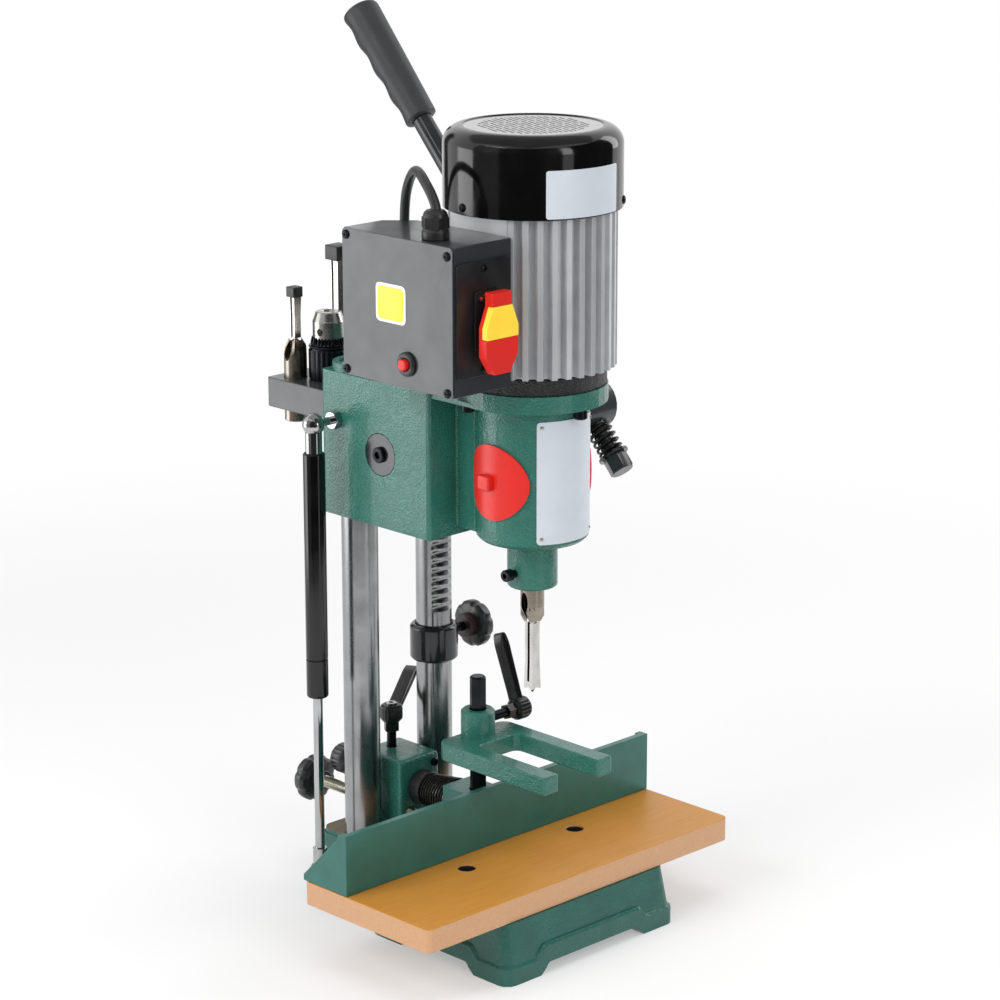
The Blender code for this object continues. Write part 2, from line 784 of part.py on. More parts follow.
def coil_points(start, end, start_radius, end_radius, wire, turns, per_turn=9):
    """Points of a spring between its seats. Each end runs straight from the last turn to its seat."""
    axis = (end - start).normalized()
    first, second = across(axis)
    length = (end - start).length
    lead = 2 * wire
    count = round(turns * per_turn)
    middle = []
    for i in range(count + 1):
        share = i / count
        angle = math.tau * turns * share
        reach = start_radius + (end_radius - start_radius) * share
        spoke = first * (reach * math.cos(angle)) + second * (reach * math.sin(angle))
        middle.append(start + axis * (lead + (length - 2 * lead) * share) + spoke)
    leave = (middle[0] - middle[1]).normalized()
    arrive = (middle[-1] - middle[-2]).normalized()
    opening = [
        middle[0] + leave * (wire * 0.9) - axis * lead,
        middle[0] + leave * (wire * 0.9) - axis * (lead - wire),
    ]
    closing = [
        middle[-1] + arrive * (wire * 0.9) + axis * (lead - wire),
        middle[-1] + arrive * (wire * 0.9) + axis * lead,
    ]
    return opening + middle + closing


def report_least_gap(name, points, wire, per_turn=9):
    """Print the least gap between a coil's turns, measured between its points."""
    least = min(
        (points[i] - points[j]).length
        for i in range(len(points))
        for j in range(i + per_turn // 2, len(points))
    )
    print(f"{name}: least gap between turns {1000 * (least - wire):.2f} mm")


def smooth_route(places, count):
    """Points read evenly from a smooth curve through chosen places."""
    last = len(places) - 1
    points = []
    for i in range(count):
        where = last * i / (count - 1)
        piece = min(int(where), last - 1)
        t = where - piece
        before = places[max(piece - 1, 0)]
        here = places[piece]
        there = places[piece + 1]
        after = places[min(piece + 2, last)]
        points.append(
            0.5
            * (
                2 * here
                + (there - before) * t
                + (2 * before - 5 * here + 4 * there - after) * t**2
                + (3 * here - before - 3 * there + after) * t**3
            )
        )
    return points


def add_operation(target, tool, operation):
    """A Boolean that uses a hidden helper shape."""
    modifier = target.modifiers.new(tool.name, "BOOLEAN")
    modifier.operation = operation
    modifier.object = tool
    tool.hide_render = True
    tool.display_type = "WIRE"
    TOOLS.append(tool)


def join(target, *tools):
    """Add helper shapes to a solid."""
    for tool in tools:
        add_operation(target, tool, "UNION")
    return target


def cut(target, *tools):
    """Take helper shapes away from a solid."""
    for tool in tools:
        add_operation(target, tool, "DIFFERENCE")
    return target


def shared(target, tool):
    """Leave only what a solid shares with a helper shape."""
    add_operation(target, tool, "INTERSECT")
    return target


def finish(item, material, carrier="base_body"):
    """Give a piece its material and hang it on its carrier."""
    item.data.materials.append(MATERIALS[material])
    if item.type == "MESH":
        item.data.shade_smooth()
        item.data.set_sharp_from_angle(angle=math.radians(32))
    hang(item, carrier)


def hang(item, carrier):
    """Parent an object drawn in the machine's frame to a carrier, with the helper shapes it uses."""
    item.parent = bpy.data.objects[carrier]
    item.matrix_parent_inverse = Matrix.Translation(-CARRIERS[carrier])
    for modifier in item.modifiers:
        hang(modifier.object, carrier)


# Base, table and columns


def base_outline(side, front, back, shoulder, block_half):
    """The plan of the base: a wide front, and a narrower block under the columns."""
    return [
        (-side, front),
        (side, front),
        (side, shoulder),
        (block_half, shoulder),
        (block_half, back),
        (-block_half, back),
        (-block_half, shoulder),
        (-side, shoulder),
    ]


def base_ring(inset_side, inset_front, height):
    """One level of the base's outside."""
    corners = base_outline(
        BASE_HALF_WIDTH - inset_side,
        BASE_FRONT + inset_front,
        BASE_BACK - inset_side,
        BASE_SHOULDER - inset_side,
        BLOCK_HALF_WIDTH - inset_side,
    )
    radii = [BASE_CORNER] * 3 + [BASE_CORNER / 2] + [BASE_CORNER] * 2 + [BASE_CORNER / 2, BASE_CORNER]
    return ring_along(rounded(corners, radii), height, "Z")


def arch_outline(half_width, middle=0.0):
    """The outline of a foot-to-foot arch: sloping ends and rounded top corners."""
    crown = rounded(
        [
            (middle + half_width, 0.0),
            (middle + half_width - ARCH_HEIGHT, ARCH_HEIGHT),
            (middle - half_width + ARCH_HEIGHT, ARCH_HEIGHT),
            (middle - half_width, 0.0),
        ],
        ARCH_ROUNDING,
    )
    top = [point for point in crown if point[1] > ARCH_ROUNDING / 2]
    return [
        (middle - half_width, -OVERRUN),
        (middle + half_width, -OVERRUN),
        (middle + half_width, 0.0),
        *top,
        (middle - half_width, 0.0),
    ]


def arch(name, half_width, low, high, axis, middle=0.0):
    """A cutter for one foot-to-foot arch."""
    return prism(name, arch_outline(half_width, middle), low, high, axis)


def skirt_rise(name, half_width, face, inward, axis, middle=0.0):
    """The stretch of the skirt that rises over an arch: a panel with a sloping ledge, its back in the wall."""
    low, high = half_width + RISE_SPREAD + ARCH_HEIGHT, half_width + RISE_SPREAD - ARCH_HEIGHT
    corners = [
        (middle - low, SKIRT_HEIGHT - ARCH_HEIGHT),
        (middle + low, SKIRT_HEIGHT - ARCH_HEIGHT),
        (middle + high, SKIRT_HEIGHT + ARCH_HEIGHT),
        (middle - high, SKIRT_HEIGHT + ARCH_HEIGHT),
    ]
    outline = rounded(corners, ARCH_ROUNDING)
    wider = inset(outline, -SKIRT_STEP)
    depth = max(BASE_DRAFT_SIDE, BASE_DRAFT_FRONT) + SKIRT_PROUD
    return loft(
        name,
        [
            ring_along(outline, face, axis),
            ring_along(wider, face + inward * SKIRT_PROUD, axis),
            ring_along(wider, face + inward * depth, axis),
        ],
    )


def make_base():
    """The base casting: a hollow front under the table, a solid block round the columns, and four feet."""
    base = loft(
        "base_casting",
        [
            base_ring(0.0, 0.0, 0.0),
            base_ring(0.0, 0.0, SKIRT_HEIGHT),
            base_ring(SKIRT_PROUD, SKIRT_PROUD, SKIRT_HEIGHT + SKIRT_STEP),
            base_ring(BASE_DRAFT_SIDE, BASE_DRAFT_FRONT, BASE_TOP),
        ],
    )
    block_half = BLOCK_HALF_WIDTH - BASE_DRAFT_SIDE - BLOCK_SETBACK
    block_back = BASE_BACK - BASE_DRAFT_SIDE - BLOCK_SETBACK
    raised = prism(
        "base_block",
        rounded(rectangle(-block_half, block_half, BLOCK_FRONT, block_back), BASE_CORNER),
        SKIRT_HEIGHT + SKIRT_STEP,
        BLOCK_TOP,
    )
    side_middle = (BASE_FRONT + BASE_SHOULDER) / 2
    side_half = (BASE_SHOULDER - BASE_FRONT) / 2 - FOOT_LENGTH
    front_half = BASE_HALF_WIDTH - FOOT_LENGTH
    join(
        base,
        raised,
        skirt_rise("base_front_rise", front_half, BASE_FRONT, 1, "Y"),
        skirt_rise("base_left_rise", side_half, -BASE_HALF_WIDTH, 1, "X", side_middle),
        skirt_rise("base_right_rise", side_half, BASE_HALF_WIDTH, -1, "X", side_middle),
    )
    inner_side = BASE_HALF_WIDTH - BASE_DRAFT_SIDE - BASE_WALL
    inner_block = BLOCK_HALF_WIDTH - BASE_DRAFT_SIDE - BASE_WALL
    inner = base_outline(
        inner_side,
        BASE_FRONT + BASE_DRAFT_FRONT + BASE_WALL,
        CAVITY_BACK,
        BASE_SHOULDER - BASE_DRAFT_SIDE - BASE_WALL,
        inner_block,
    )
    cut(base, prism("base_cavity", inner, -OVERRUN, BASE_TOP - BASE_WALL))
    front_wall = BASE_FRONT + BASE_DRAFT_FRONT + BASE_WALL + OVERRUN
    cut(base, arch("base_front_arch", front_half, BASE_FRONT - OVERRUN, front_wall, "Y"))
    rear_half = COLUMN_X - COLUMN_RADIUS + OVERRUN
    cut(base, arch("base_rear_arch", rear_half, CAVITY_BACK - OVERRUN, BASE_BACK + OVERRUN, "Y"))
    reach = BASE_HALF_WIDTH + OVERRUN
    cut(base, arch("base_side_arch", side_half, -reach, reach, "X", side_middle))
    for sign in (-1, 1):
        place = Vector((sign * COLUMN_X, COLUMN_Y, 0.0))
        low, high = COLUMN_FOOT - GAP, BLOCK_TOP + OVERRUN
        socket = rod("base_socket", COLUMN_RADIUS + GAP, low, high, place, UP, LARGE_STEPS)
        hole = rod(
            "base_screw_hole",
            TABLE_SCREW_RADIUS + GAP,
            BASE_TOP - BASE_WALL - OVERRUN,
            BASE_TOP + OVERRUN,
            Vector((sign * TABLE_HOLE_X, TABLE_HOLE_Y, 0.0)),
            UP,
            COARSE_STEPS,
        )
        cut(base, socket, hole)
    stud = Vector((-BLOCK_HALF_WIDTH, STRUT_Y, STRUT_BALL_LOW))
    facing = rod("base_stud_facing", STRUT_NUT_RADIUS + GAP, -OVERRUN, STRUT_FACING, stud, RIGHT)
    thread = rod(
        "base_stud_hole", STRUT_STUD_RADIUS + GAP, -OVERRUN, STRUT_STUD_DEPTH, stud, RIGHT, COARSE_STEPS
    )
    cut(base, facing, thread)
    finish(base, "green_enamel")


def make_table():
    """The table board with its two counterbored screw holes."""
    outline = rounded(
        rectangle(-TABLE_HALF_LENGTH, TABLE_HALF_LENGTH, TABLE_FRONT, TABLE_BACK), TABLE_CORNER, 4
    )
    board = prism("table_board", outline, TABLE_BOTTOM, TABLE_TOP)
    seat = TABLE_TOP - TABLE_HOLE_DEPTH
    for sign in (-1, 1):
        place = Vector((sign * TABLE_HOLE_X, TABLE_HOLE_Y, 0.0))
        counterbore = rod("table_counterbore", TABLE_HOLE_RADIUS, seat, TABLE_TOP + OVERRUN, place)
        clearance = TABLE_SCREW_RADIUS + GAP
        hole = rod("table_hole", clearance, TABLE_BOTTOM - OVERRUN, seat + OVERRUN, place, UP, COARSE_STEPS)
        cut(board, counterbore, hole)
    finish(board, "table_laminate")


def rack_cutter():
    """A comb whose teeth are the spaces between the rack's teeth, one of them level with the pinion shaft."""
    tip_y = RACK_TIP_Y
    root_y = RACK_PITCH_Y + DEDENDUM_SHARE * RACK_MODULE
    half_pitch = RACK_PITCH / 4 + BACKLASH / 4
    slope = math.tan(PRESSURE_ANGLE)
    half_root = half_pitch - (root_y - RACK_PITCH_Y) * slope
    half_tip = half_pitch + (RACK_PITCH_Y - tip_y) * slope
    lowest = math.ceil((RACK_LOW - SHAFT_HEIGHT) / RACK_PITCH)
    highest = math.floor((COLUMN_TOP - SHAFT_HEIGHT) / RACK_PITCH - 0.5)
    spine = tip_y - OVERRUN
    mouth = half_tip + (tip_y - spine) / 4 * slope
    comb = [(spine, SHAFT_HEIGHT + lowest * RACK_PITCH - RACK_PITCH)]
    for number in range(lowest, highest + 1):
        middle = SHAFT_HEIGHT + number * RACK_PITCH
        edge_y = tip_y - (tip_y - spine) / 4
        comb.append((edge_y, middle - mouth))
        comb.append((root_y, middle - half_root))
        comb.append((root_y, middle + half_root))
        comb.append((edge_y, middle + mouth))
    comb.append((spine, SHAFT_HEIGHT + highest * RACK_PITCH + RACK_PITCH))
    reach = COLUMN_RADIUS + OVERRUN
    return prism("rack_spaces", comb, COLUMN_X - reach, COLUMN_X + reach, "X")


def make_columns():
    """The plain column on the left and the column with the rack on the right."""
    for name, sign in (("column_plain", -1), ("column_rack", 1)):
        place = Vector((sign * COLUMN_X, COLUMN_Y, 0.0))
        column = chamfered_rod(
            name, COLUMN_RADIUS, COLUMN_FOOT, COLUMN_TOP, COLUMN_CHAMFER, place, UP, LARGE_STEPS
        )
        if sign > 0:
            cut(column, rack_cutter())
        finish(column, "polished_steel")


# Fence and its guide


def make_fence():
    """The fence casting: an upright plate, a flange on the table, two gussets and a boss for the bar."""
    low = TABLE_TOP + GAP
    high = TABLE_TOP + FENCE_HEIGHT
    side = [
        (FENCE_FACE, low),
        (TABLE_BACK, low),
        (TABLE_BACK, low + FENCE_GUSSET_TAIL),
        (FENCE_FACE + FENCE_GUSSET_FLAT + FENCE_GUSSET_DIP, high - FENCE_GUSSET_DIP * 3 / 2),
        (FENCE_FACE + FENCE_GUSSET_FLAT + FENCE_GUSSET_DIP / 3, high - FENCE_GUSSET_DIP),
        (FENCE_FACE + FENCE_GUSSET_FLAT, high),
        (FENCE_FACE, high),
    ]
    fence = prism("fence", side, -TABLE_HALF_LENGTH, TABLE_HALF_LENGTH, "X")
    inner = TABLE_HALF_LENGTH - FENCE_GUSSET
    hollow = block(
        "fence_hollow",
        (-inner, FENCE_FACE + FENCE_PLATE, low + FENCE_FLANGE),
        (inner, TABLE_BACK + OVERRUN, high + OVERRUN),
    )
    cut(fence, hollow)
    boss = block(
        "fence_boss",
        (-FENCE_BOSS_HALF, FENCE_FACE + FENCE_PLATE / 2, FENCE_BOSS_LOW),
        (FENCE_BOSS_HALF, FENCE_BOSS_BACK, FENCE_BOSS_HIGH),
    )
    join(fence, boss)
    bar_place = Vector((0.0, 0.0, BAR_HEIGHT))
    cut(
        fence,
        rod(
            "fence_bar_bore", BAR_RADIUS + GAP, BAR_FRONT - GAP, FENCE_BOSS_BACK + OVERRUN, bar_place, BACKWARD
        ),
    )
    rod_place = Vector((0.0, HOLD_ROD_Y, 0.0))
    cut(
        fence,
        rod("fence_rod_bore", HOLD_BORE_RADIUS, HOLD_ROD_FOOT - GAP, FENCE_BOSS_HIGH + OVERRUN, rod_place),
    )
    finish(fence, "green_enamel", "fence_body")


def make_fence_bar():
    """The bar that guides the fence, its knob, and the spring between the fence boss and the bracket."""
    place = Vector((0.0, 0.0, BAR_HEIGHT))
    stud_end = BAR_BACK + BAR_STUD_LENGTH
    bar = turned(
        "fence_bar",
        [
            (0, BAR_FRONT),
            (BAR_RADIUS, BAR_FRONT),
            (BAR_RADIUS, BAR_BACK),
            (BAR_STUD_RADIUS, BAR_BACK),
            (BAR_STUD_RADIUS, stud_end),
            (0, stud_end),
        ],
        place,
        BACKWARD,
    )
    finish(bar, "zinc_plate", "fence_body")
    knob = turned(
        "bar_knob",
        [
            (0, stud_end + GAP),
            (BAR_STUD_RADIUS + GAP, stud_end + GAP),
            (BAR_STUD_RADIUS + GAP, BAR_BACK + GAP),
            (BAR_KNOB_RADIUS * 3 / 4, BAR_BACK + GAP),
            (BAR_KNOB_RADIUS, BAR_BACK + BAR_KNOB_LENGTH / 4),
            (BAR_KNOB_RADIUS, BAR_BACK + BAR_KNOB_LENGTH * 4 / 5),
            (BAR_KNOB_RADIUS * 3 / 4, BAR_BACK + BAR_KNOB_LENGTH),
            (0, BAR_BACK + BAR_KNOB_LENGTH),
        ],
        place,
        BACKWARD,
    )
    finish(knob, "black_plastic", "bar_knob_body")
    front = Vector((0.0, FENCE_BOSS_BACK + GAP, BAR_HEIGHT))
    back = Vector((0.0, BRACKET_FRONT - BUSH_LENGTH - 2 * GAP, BAR_HEIGHT))
    points = coil_points(
        front,
        back,
        FENCE_SPRING_FRONT_RADIUS,
        FENCE_SPRING_BACK_RADIUS,
        FENCE_SPRING_WIRE,
        FENCE_SPRING_TURNS,
    )
    report_least_gap("fence_spring", points, FENCE_SPRING_WIRE)
    finish(tube("fence_spring", points, FENCE_SPRING_WIRE, 1), "dark_steel", "fence_body")


def make_bracket():
    """The bracket between the columns, the bush in front of it and the adjusting screw through it."""
    bracket = block(
        "fence_bracket",
        (-BRACKET_HALF_WIDTH, BRACKET_FRONT, BLOCK_TOP + GAP),
        (BRACKET_HALF_WIDTH, BRACKET_BACK, BRACKET_TOP),
    )
    soften(bracket, BRACKET_ROUNDING, 2)
    place = Vector((0.0, 0.0, BAR_HEIGHT))
    start = BRACKET_FRONT - OVERRUN
    end = BRACKET_BACK + OVERRUN
    screw_place = Vector((ADJUSTER_X, 0.0, ADJUSTER_HEIGHT))
    cut(
        bracket,
        rod("bracket_bar_bore", BAR_RADIUS + GAP, start, end, place, BACKWARD),
        rod("bracket_screw_bore", ADJUSTER_RADIUS + GAP, start, end, screw_place, BACKWARD, COARSE_STEPS),
        rod(
            "bracket_lock_bore",
            LOCK_STUD_RADIUS + GAP,
            BAR_HEIGHT,
            BRACKET_TOP + OVERRUN,
            Vector((0.0, LOCK_Y, 0.0)),
            UP,
            COARSE_STEPS,
        ),
    )
    finish(bracket, "green_enamel")
    bush_front = BRACKET_FRONT - GAP - BUSH_LENGTH
    bush = turned(
        "bar_bush",
        [
            (BAR_RADIUS + GAP, bush_front),
            (BUSH_RADIUS, bush_front),
            (BUSH_RADIUS, BRACKET_FRONT - GAP),
            (BAR_RADIUS + GAP, BRACKET_FRONT - GAP),
        ],
        place,
        BACKWARD,
    )
    finish(bush, "black_satin")


def make_adjuster():
    """The adjusting screw and its lobed knob."""
    place = Vector((ADJUSTER_X, 0.0, ADJUSTER_HEIGHT))
    end = ADJUSTER_KNOB_FRONT + KNOB_HUB_LENGTH
    screw = chamfered_rod(
        "adjusting_screw",
        ADJUSTER_RADIUS,
        ADJUSTER_FRONT,
        end,
        ADJUSTER_RADIUS / 5,
        place,
        BACKWARD,
        COARSE_STEPS,
    )
    finish(screw, "zinc_plate", "adjuster_body")
    knob_place = Vector((ADJUSTER_X, ADJUSTER_KNOB_FRONT, ADJUSTER_HEIGHT))
    knob = lobed_knob("adjusting_knob", knob_place, BACKWARD, ADJUSTER_KNOB_RADIUS, ADJUSTER_KNOB_LENGTH)
    bore_end = end + GAP
    cut(
        knob,
        rod(
            "adjusting_knob_bore",
            ADJUSTER_RADIUS + GAP,
            ADJUSTER_KNOB_FRONT - OVERRUN,
            bore_end,
            place,
            BACKWARD,
            COARSE_STEPS,
        ),
    )
    finish(knob, "black_plastic", "adjuster_body")


# Clamp levers and the hold-down


def clamp_lever(name, place, axis, arm, stud_length, material="black_plastic"):
    """A clamp lever: stud, neck and hub on the axis, and an arm that widens from the hub to its tip."""
    neck = CLAMP_NECK_LENGTH
    lever = turned(
        name,
        [
            (0, -stud_length),
            (CLAMP_STUD_RADIUS, -stud_length),
            (CLAMP_STUD_RADIUS, 0.0),
            (CLAMP_NECK_RADIUS, 0.0),
            (CLAMP_NECK_RADIUS, neck),
            (CLAMP_HUB_RADIUS, neck * 3 / 2),
            (CLAMP_HUB_RADIUS, CLAMP_HUB_LENGTH),
            (CLAMP_NECK_RADIUS, CLAMP_HUB_LENGTH + CLAMP_NECK_RADIUS / 3),
            (0, CLAMP_HUB_LENGTH + CLAMP_NECK_RADIUS / 3),
        ],
        place,
        axis,
        COARSE_STEPS,
    )
    reach = arm.normalized()
    side = axis.cross(reach).normalized()
    rise = reach.cross(side)
    root = place + axis * (CLAMP_HUB_LENGTH * 2 / 3)
    half_width = CLAMP_ARM_WIDTH / 2
    half_height = CLAMP_ARM_THICKNESS / 2
    sections = [(0.0, 0.9, 0.9), (0.15, 0.85, 0.85), (0.8, 1.0, 0.9), (0.95, 1.0, 0.9), (1.0, 0.6, 0.6)]
    rings = []
    for share, wide, high in sections:
        middle = root + arm * share
        outline = rounded(
            rectangle(-half_width * wide, half_width * wide, -half_height * high, half_height * high),
            half_height * high / 2,
            1,
        )
        rings.append([middle + side * a + rise * b for a, b in outline])
    return join(lever, loft(name + "_arm", rings))


def make_fence_lock():
    """The lever that clamps the fence bar from above."""
    place = Vector((0.0, LOCK_Y, LOCK_HUB_LOW))
    stud = LOCK_HUB_LOW - BAR_HEIGHT - BAR_RADIUS - GAP
    lever = clamp_lever("fence_lock_lever", place, UP, LOCK_ARM, stud)
    finish(lever, "black_plastic", "fence_lock_body")


def make_hold_down():
    """The hexagonal rod on the fence, the fork that slides on it and the lever that clamps the fork."""
    place = Vector((0.0, HOLD_ROD_Y, 0.0))
    hexagon = circle(HOLD_ROD_RADIUS, (0.0, HOLD_ROD_Y), 6)
    inner = circle(HOLD_ROD_RADIUS * 0.85, (0.0, HOLD_ROD_Y), 6)
    edge = HOLD_ROD_TOP - HOLD_ROD_RADIUS / 4
    rings = [
        ring_along(hexagon, HOLD_ROD_FOOT, "Z"),
        ring_along(hexagon, edge, "Z"),
        ring_along(inner, HOLD_ROD_TOP, "Z"),
    ]
    finish(loft("hold_down_rod", rings), "dark_steel", "fence_body")
    gap_half = FORK_HALF_WIDTH - FORK_PRONG
    corners = [
        (-FORK_HALF_WIDTH, FORK_FRONT),
        (-gap_half, FORK_FRONT),
        (-gap_half, FORK_GAP_BACK),
        (gap_half, FORK_GAP_BACK),
        (gap_half, FORK_FRONT),
        (FORK_HALF_WIDTH, FORK_FRONT),
        (FORK_HALF_WIDTH, FORK_BACK),
        (-FORK_HALF_WIDTH, FORK_BACK),
    ]
    tips, inner = [FORK_EDGE] * 2, [FORK_INNER_CORNER] * 2
    corners = rounded(corners, tips + inner + tips + [FORK_CORNER] * 2, 4)
    small = inset(corners, FORK_EDGE / 2)
    top = FORK_LOW + FORK_PLATE
    fork = loft(
        "hold_down_fork",
        [
            ring_along(small, FORK_LOW, "Z"),
            ring_along(corners, FORK_LOW + FORK_EDGE / 2, "Z"),
            ring_along(corners, top - FORK_EDGE / 2, "Z"),
            ring_along(small, top, "Z"),
        ],
    )
    boss = turned(
        "fork_boss",
        [
            (0, FORK_LOW + FORK_EDGE),
            (FORK_BOSS_RADIUS, FORK_LOW + FORK_EDGE),
            (FORK_BOSS_RADIUS, FORK_BOSS_TOP - FORK_EDGE),
            (FORK_BOSS_RADIUS - FORK_EDGE, FORK_BOSS_TOP),
            (0, FORK_BOSS_TOP),
        ],
        place,
    )
    join(fork, boss)
    bore = rod("fork_bore", HOLD_BORE_RADIUS, FORK_LOW - OVERRUN, FORK_BOSS_TOP + OVERRUN, place)
    screw_bore = rod(
        "fork_screw_bore",
        CLAMP_STUD_RADIUS + GAP,
        HOLD_BORE_RADIUS / 2,
        FORK_BOSS_RADIUS + OVERRUN,
        Vector((0.0, HOLD_ROD_Y, HOLD_LEVER_HEIGHT)),
        RIGHT,
        COARSE_STEPS,
    )
    cut(fork, join(bore, screw_bore))
    finish(fork, "green_enamel", "fork_body")
    lever_place = Vector((HOLD_LEVER_X, HOLD_ROD_Y, HOLD_LEVER_HEIGHT))
    stud = HOLD_LEVER_X - HOLD_ROD_RADIUS - GAP
    lever = clamp_lever("hold_down_lever", lever_place, RIGHT, HOLD_ARM, stud)
    finish(lever, "black_plastic", "hold_lever_body")


def make_depth_stop():
    """The stop collar on the rack column and the knob whose screw clamps it."""
    place = Vector((COLUMN_X, COLUMN_Y, 0.0))
    bore = COLUMN_RADIUS + GAP
    collar = turned(
        "stop_collar",
        [
            (bore, COLLAR_LOW),
            (COLLAR_RADIUS - COLLAR_EDGE, COLLAR_LOW),
            (COLLAR_RADIUS, COLLAR_LOW + COLLAR_EDGE),
            (COLLAR_RADIUS, COLLAR_HIGH - COLLAR_EDGE),
            (COLLAR_RADIUS - COLLAR_EDGE, COLLAR_HIGH),
            (bore, COLLAR_HIGH),
        ],
        place,
        UP,
        LARGE_STEPS,
    )
    knob_line = Vector((COLUMN_X, COLUMN_Y, COLLAR_KNOB_HEIGHT))
    cut(
        collar,
        rod(
            "collar_screw_bore",
            COLLAR_SCREW_RADIUS + GAP,
            0.0,
            COLLAR_RADIUS + OVERRUN,
            knob_line,
            RIGHT,
            COARSE_STEPS,
        ),
    )
    finish(collar, "black_satin", "collar_body")
    start = Vector((COLLAR_KNOB_X, COLUMN_Y, COLLAR_KNOB_HEIGHT))
    knob = lobed_knob("collar_knob", start, RIGHT, COLLAR_KNOB_RADIUS, COLLAR_KNOB_LENGTH)
    screw = rod(
        "collar_screw",
        COLLAR_SCREW_RADIUS,
        COLUMN_RADIUS + GAP,
        COLLAR_KNOB_X - COLUMN_X + KNOB_HUB_LENGTH,
        knob_line,
        RIGHT,
        COARSE_STEPS,
    )
    join(knob, screw)
    finish(knob, "black_plastic", "collar_knob_body")


# Head casting and what is fixed in it


def flange_hole_places():
    """Where the three motor screws stand."""
    angles = [math.radians(angle) for angle in BOLT_ANGLES]
    return [Vector((BOLT_CIRCLE * math.cos(a), BOLT_CIRCLE * math.sin(a), 0.0)) for a in angles]


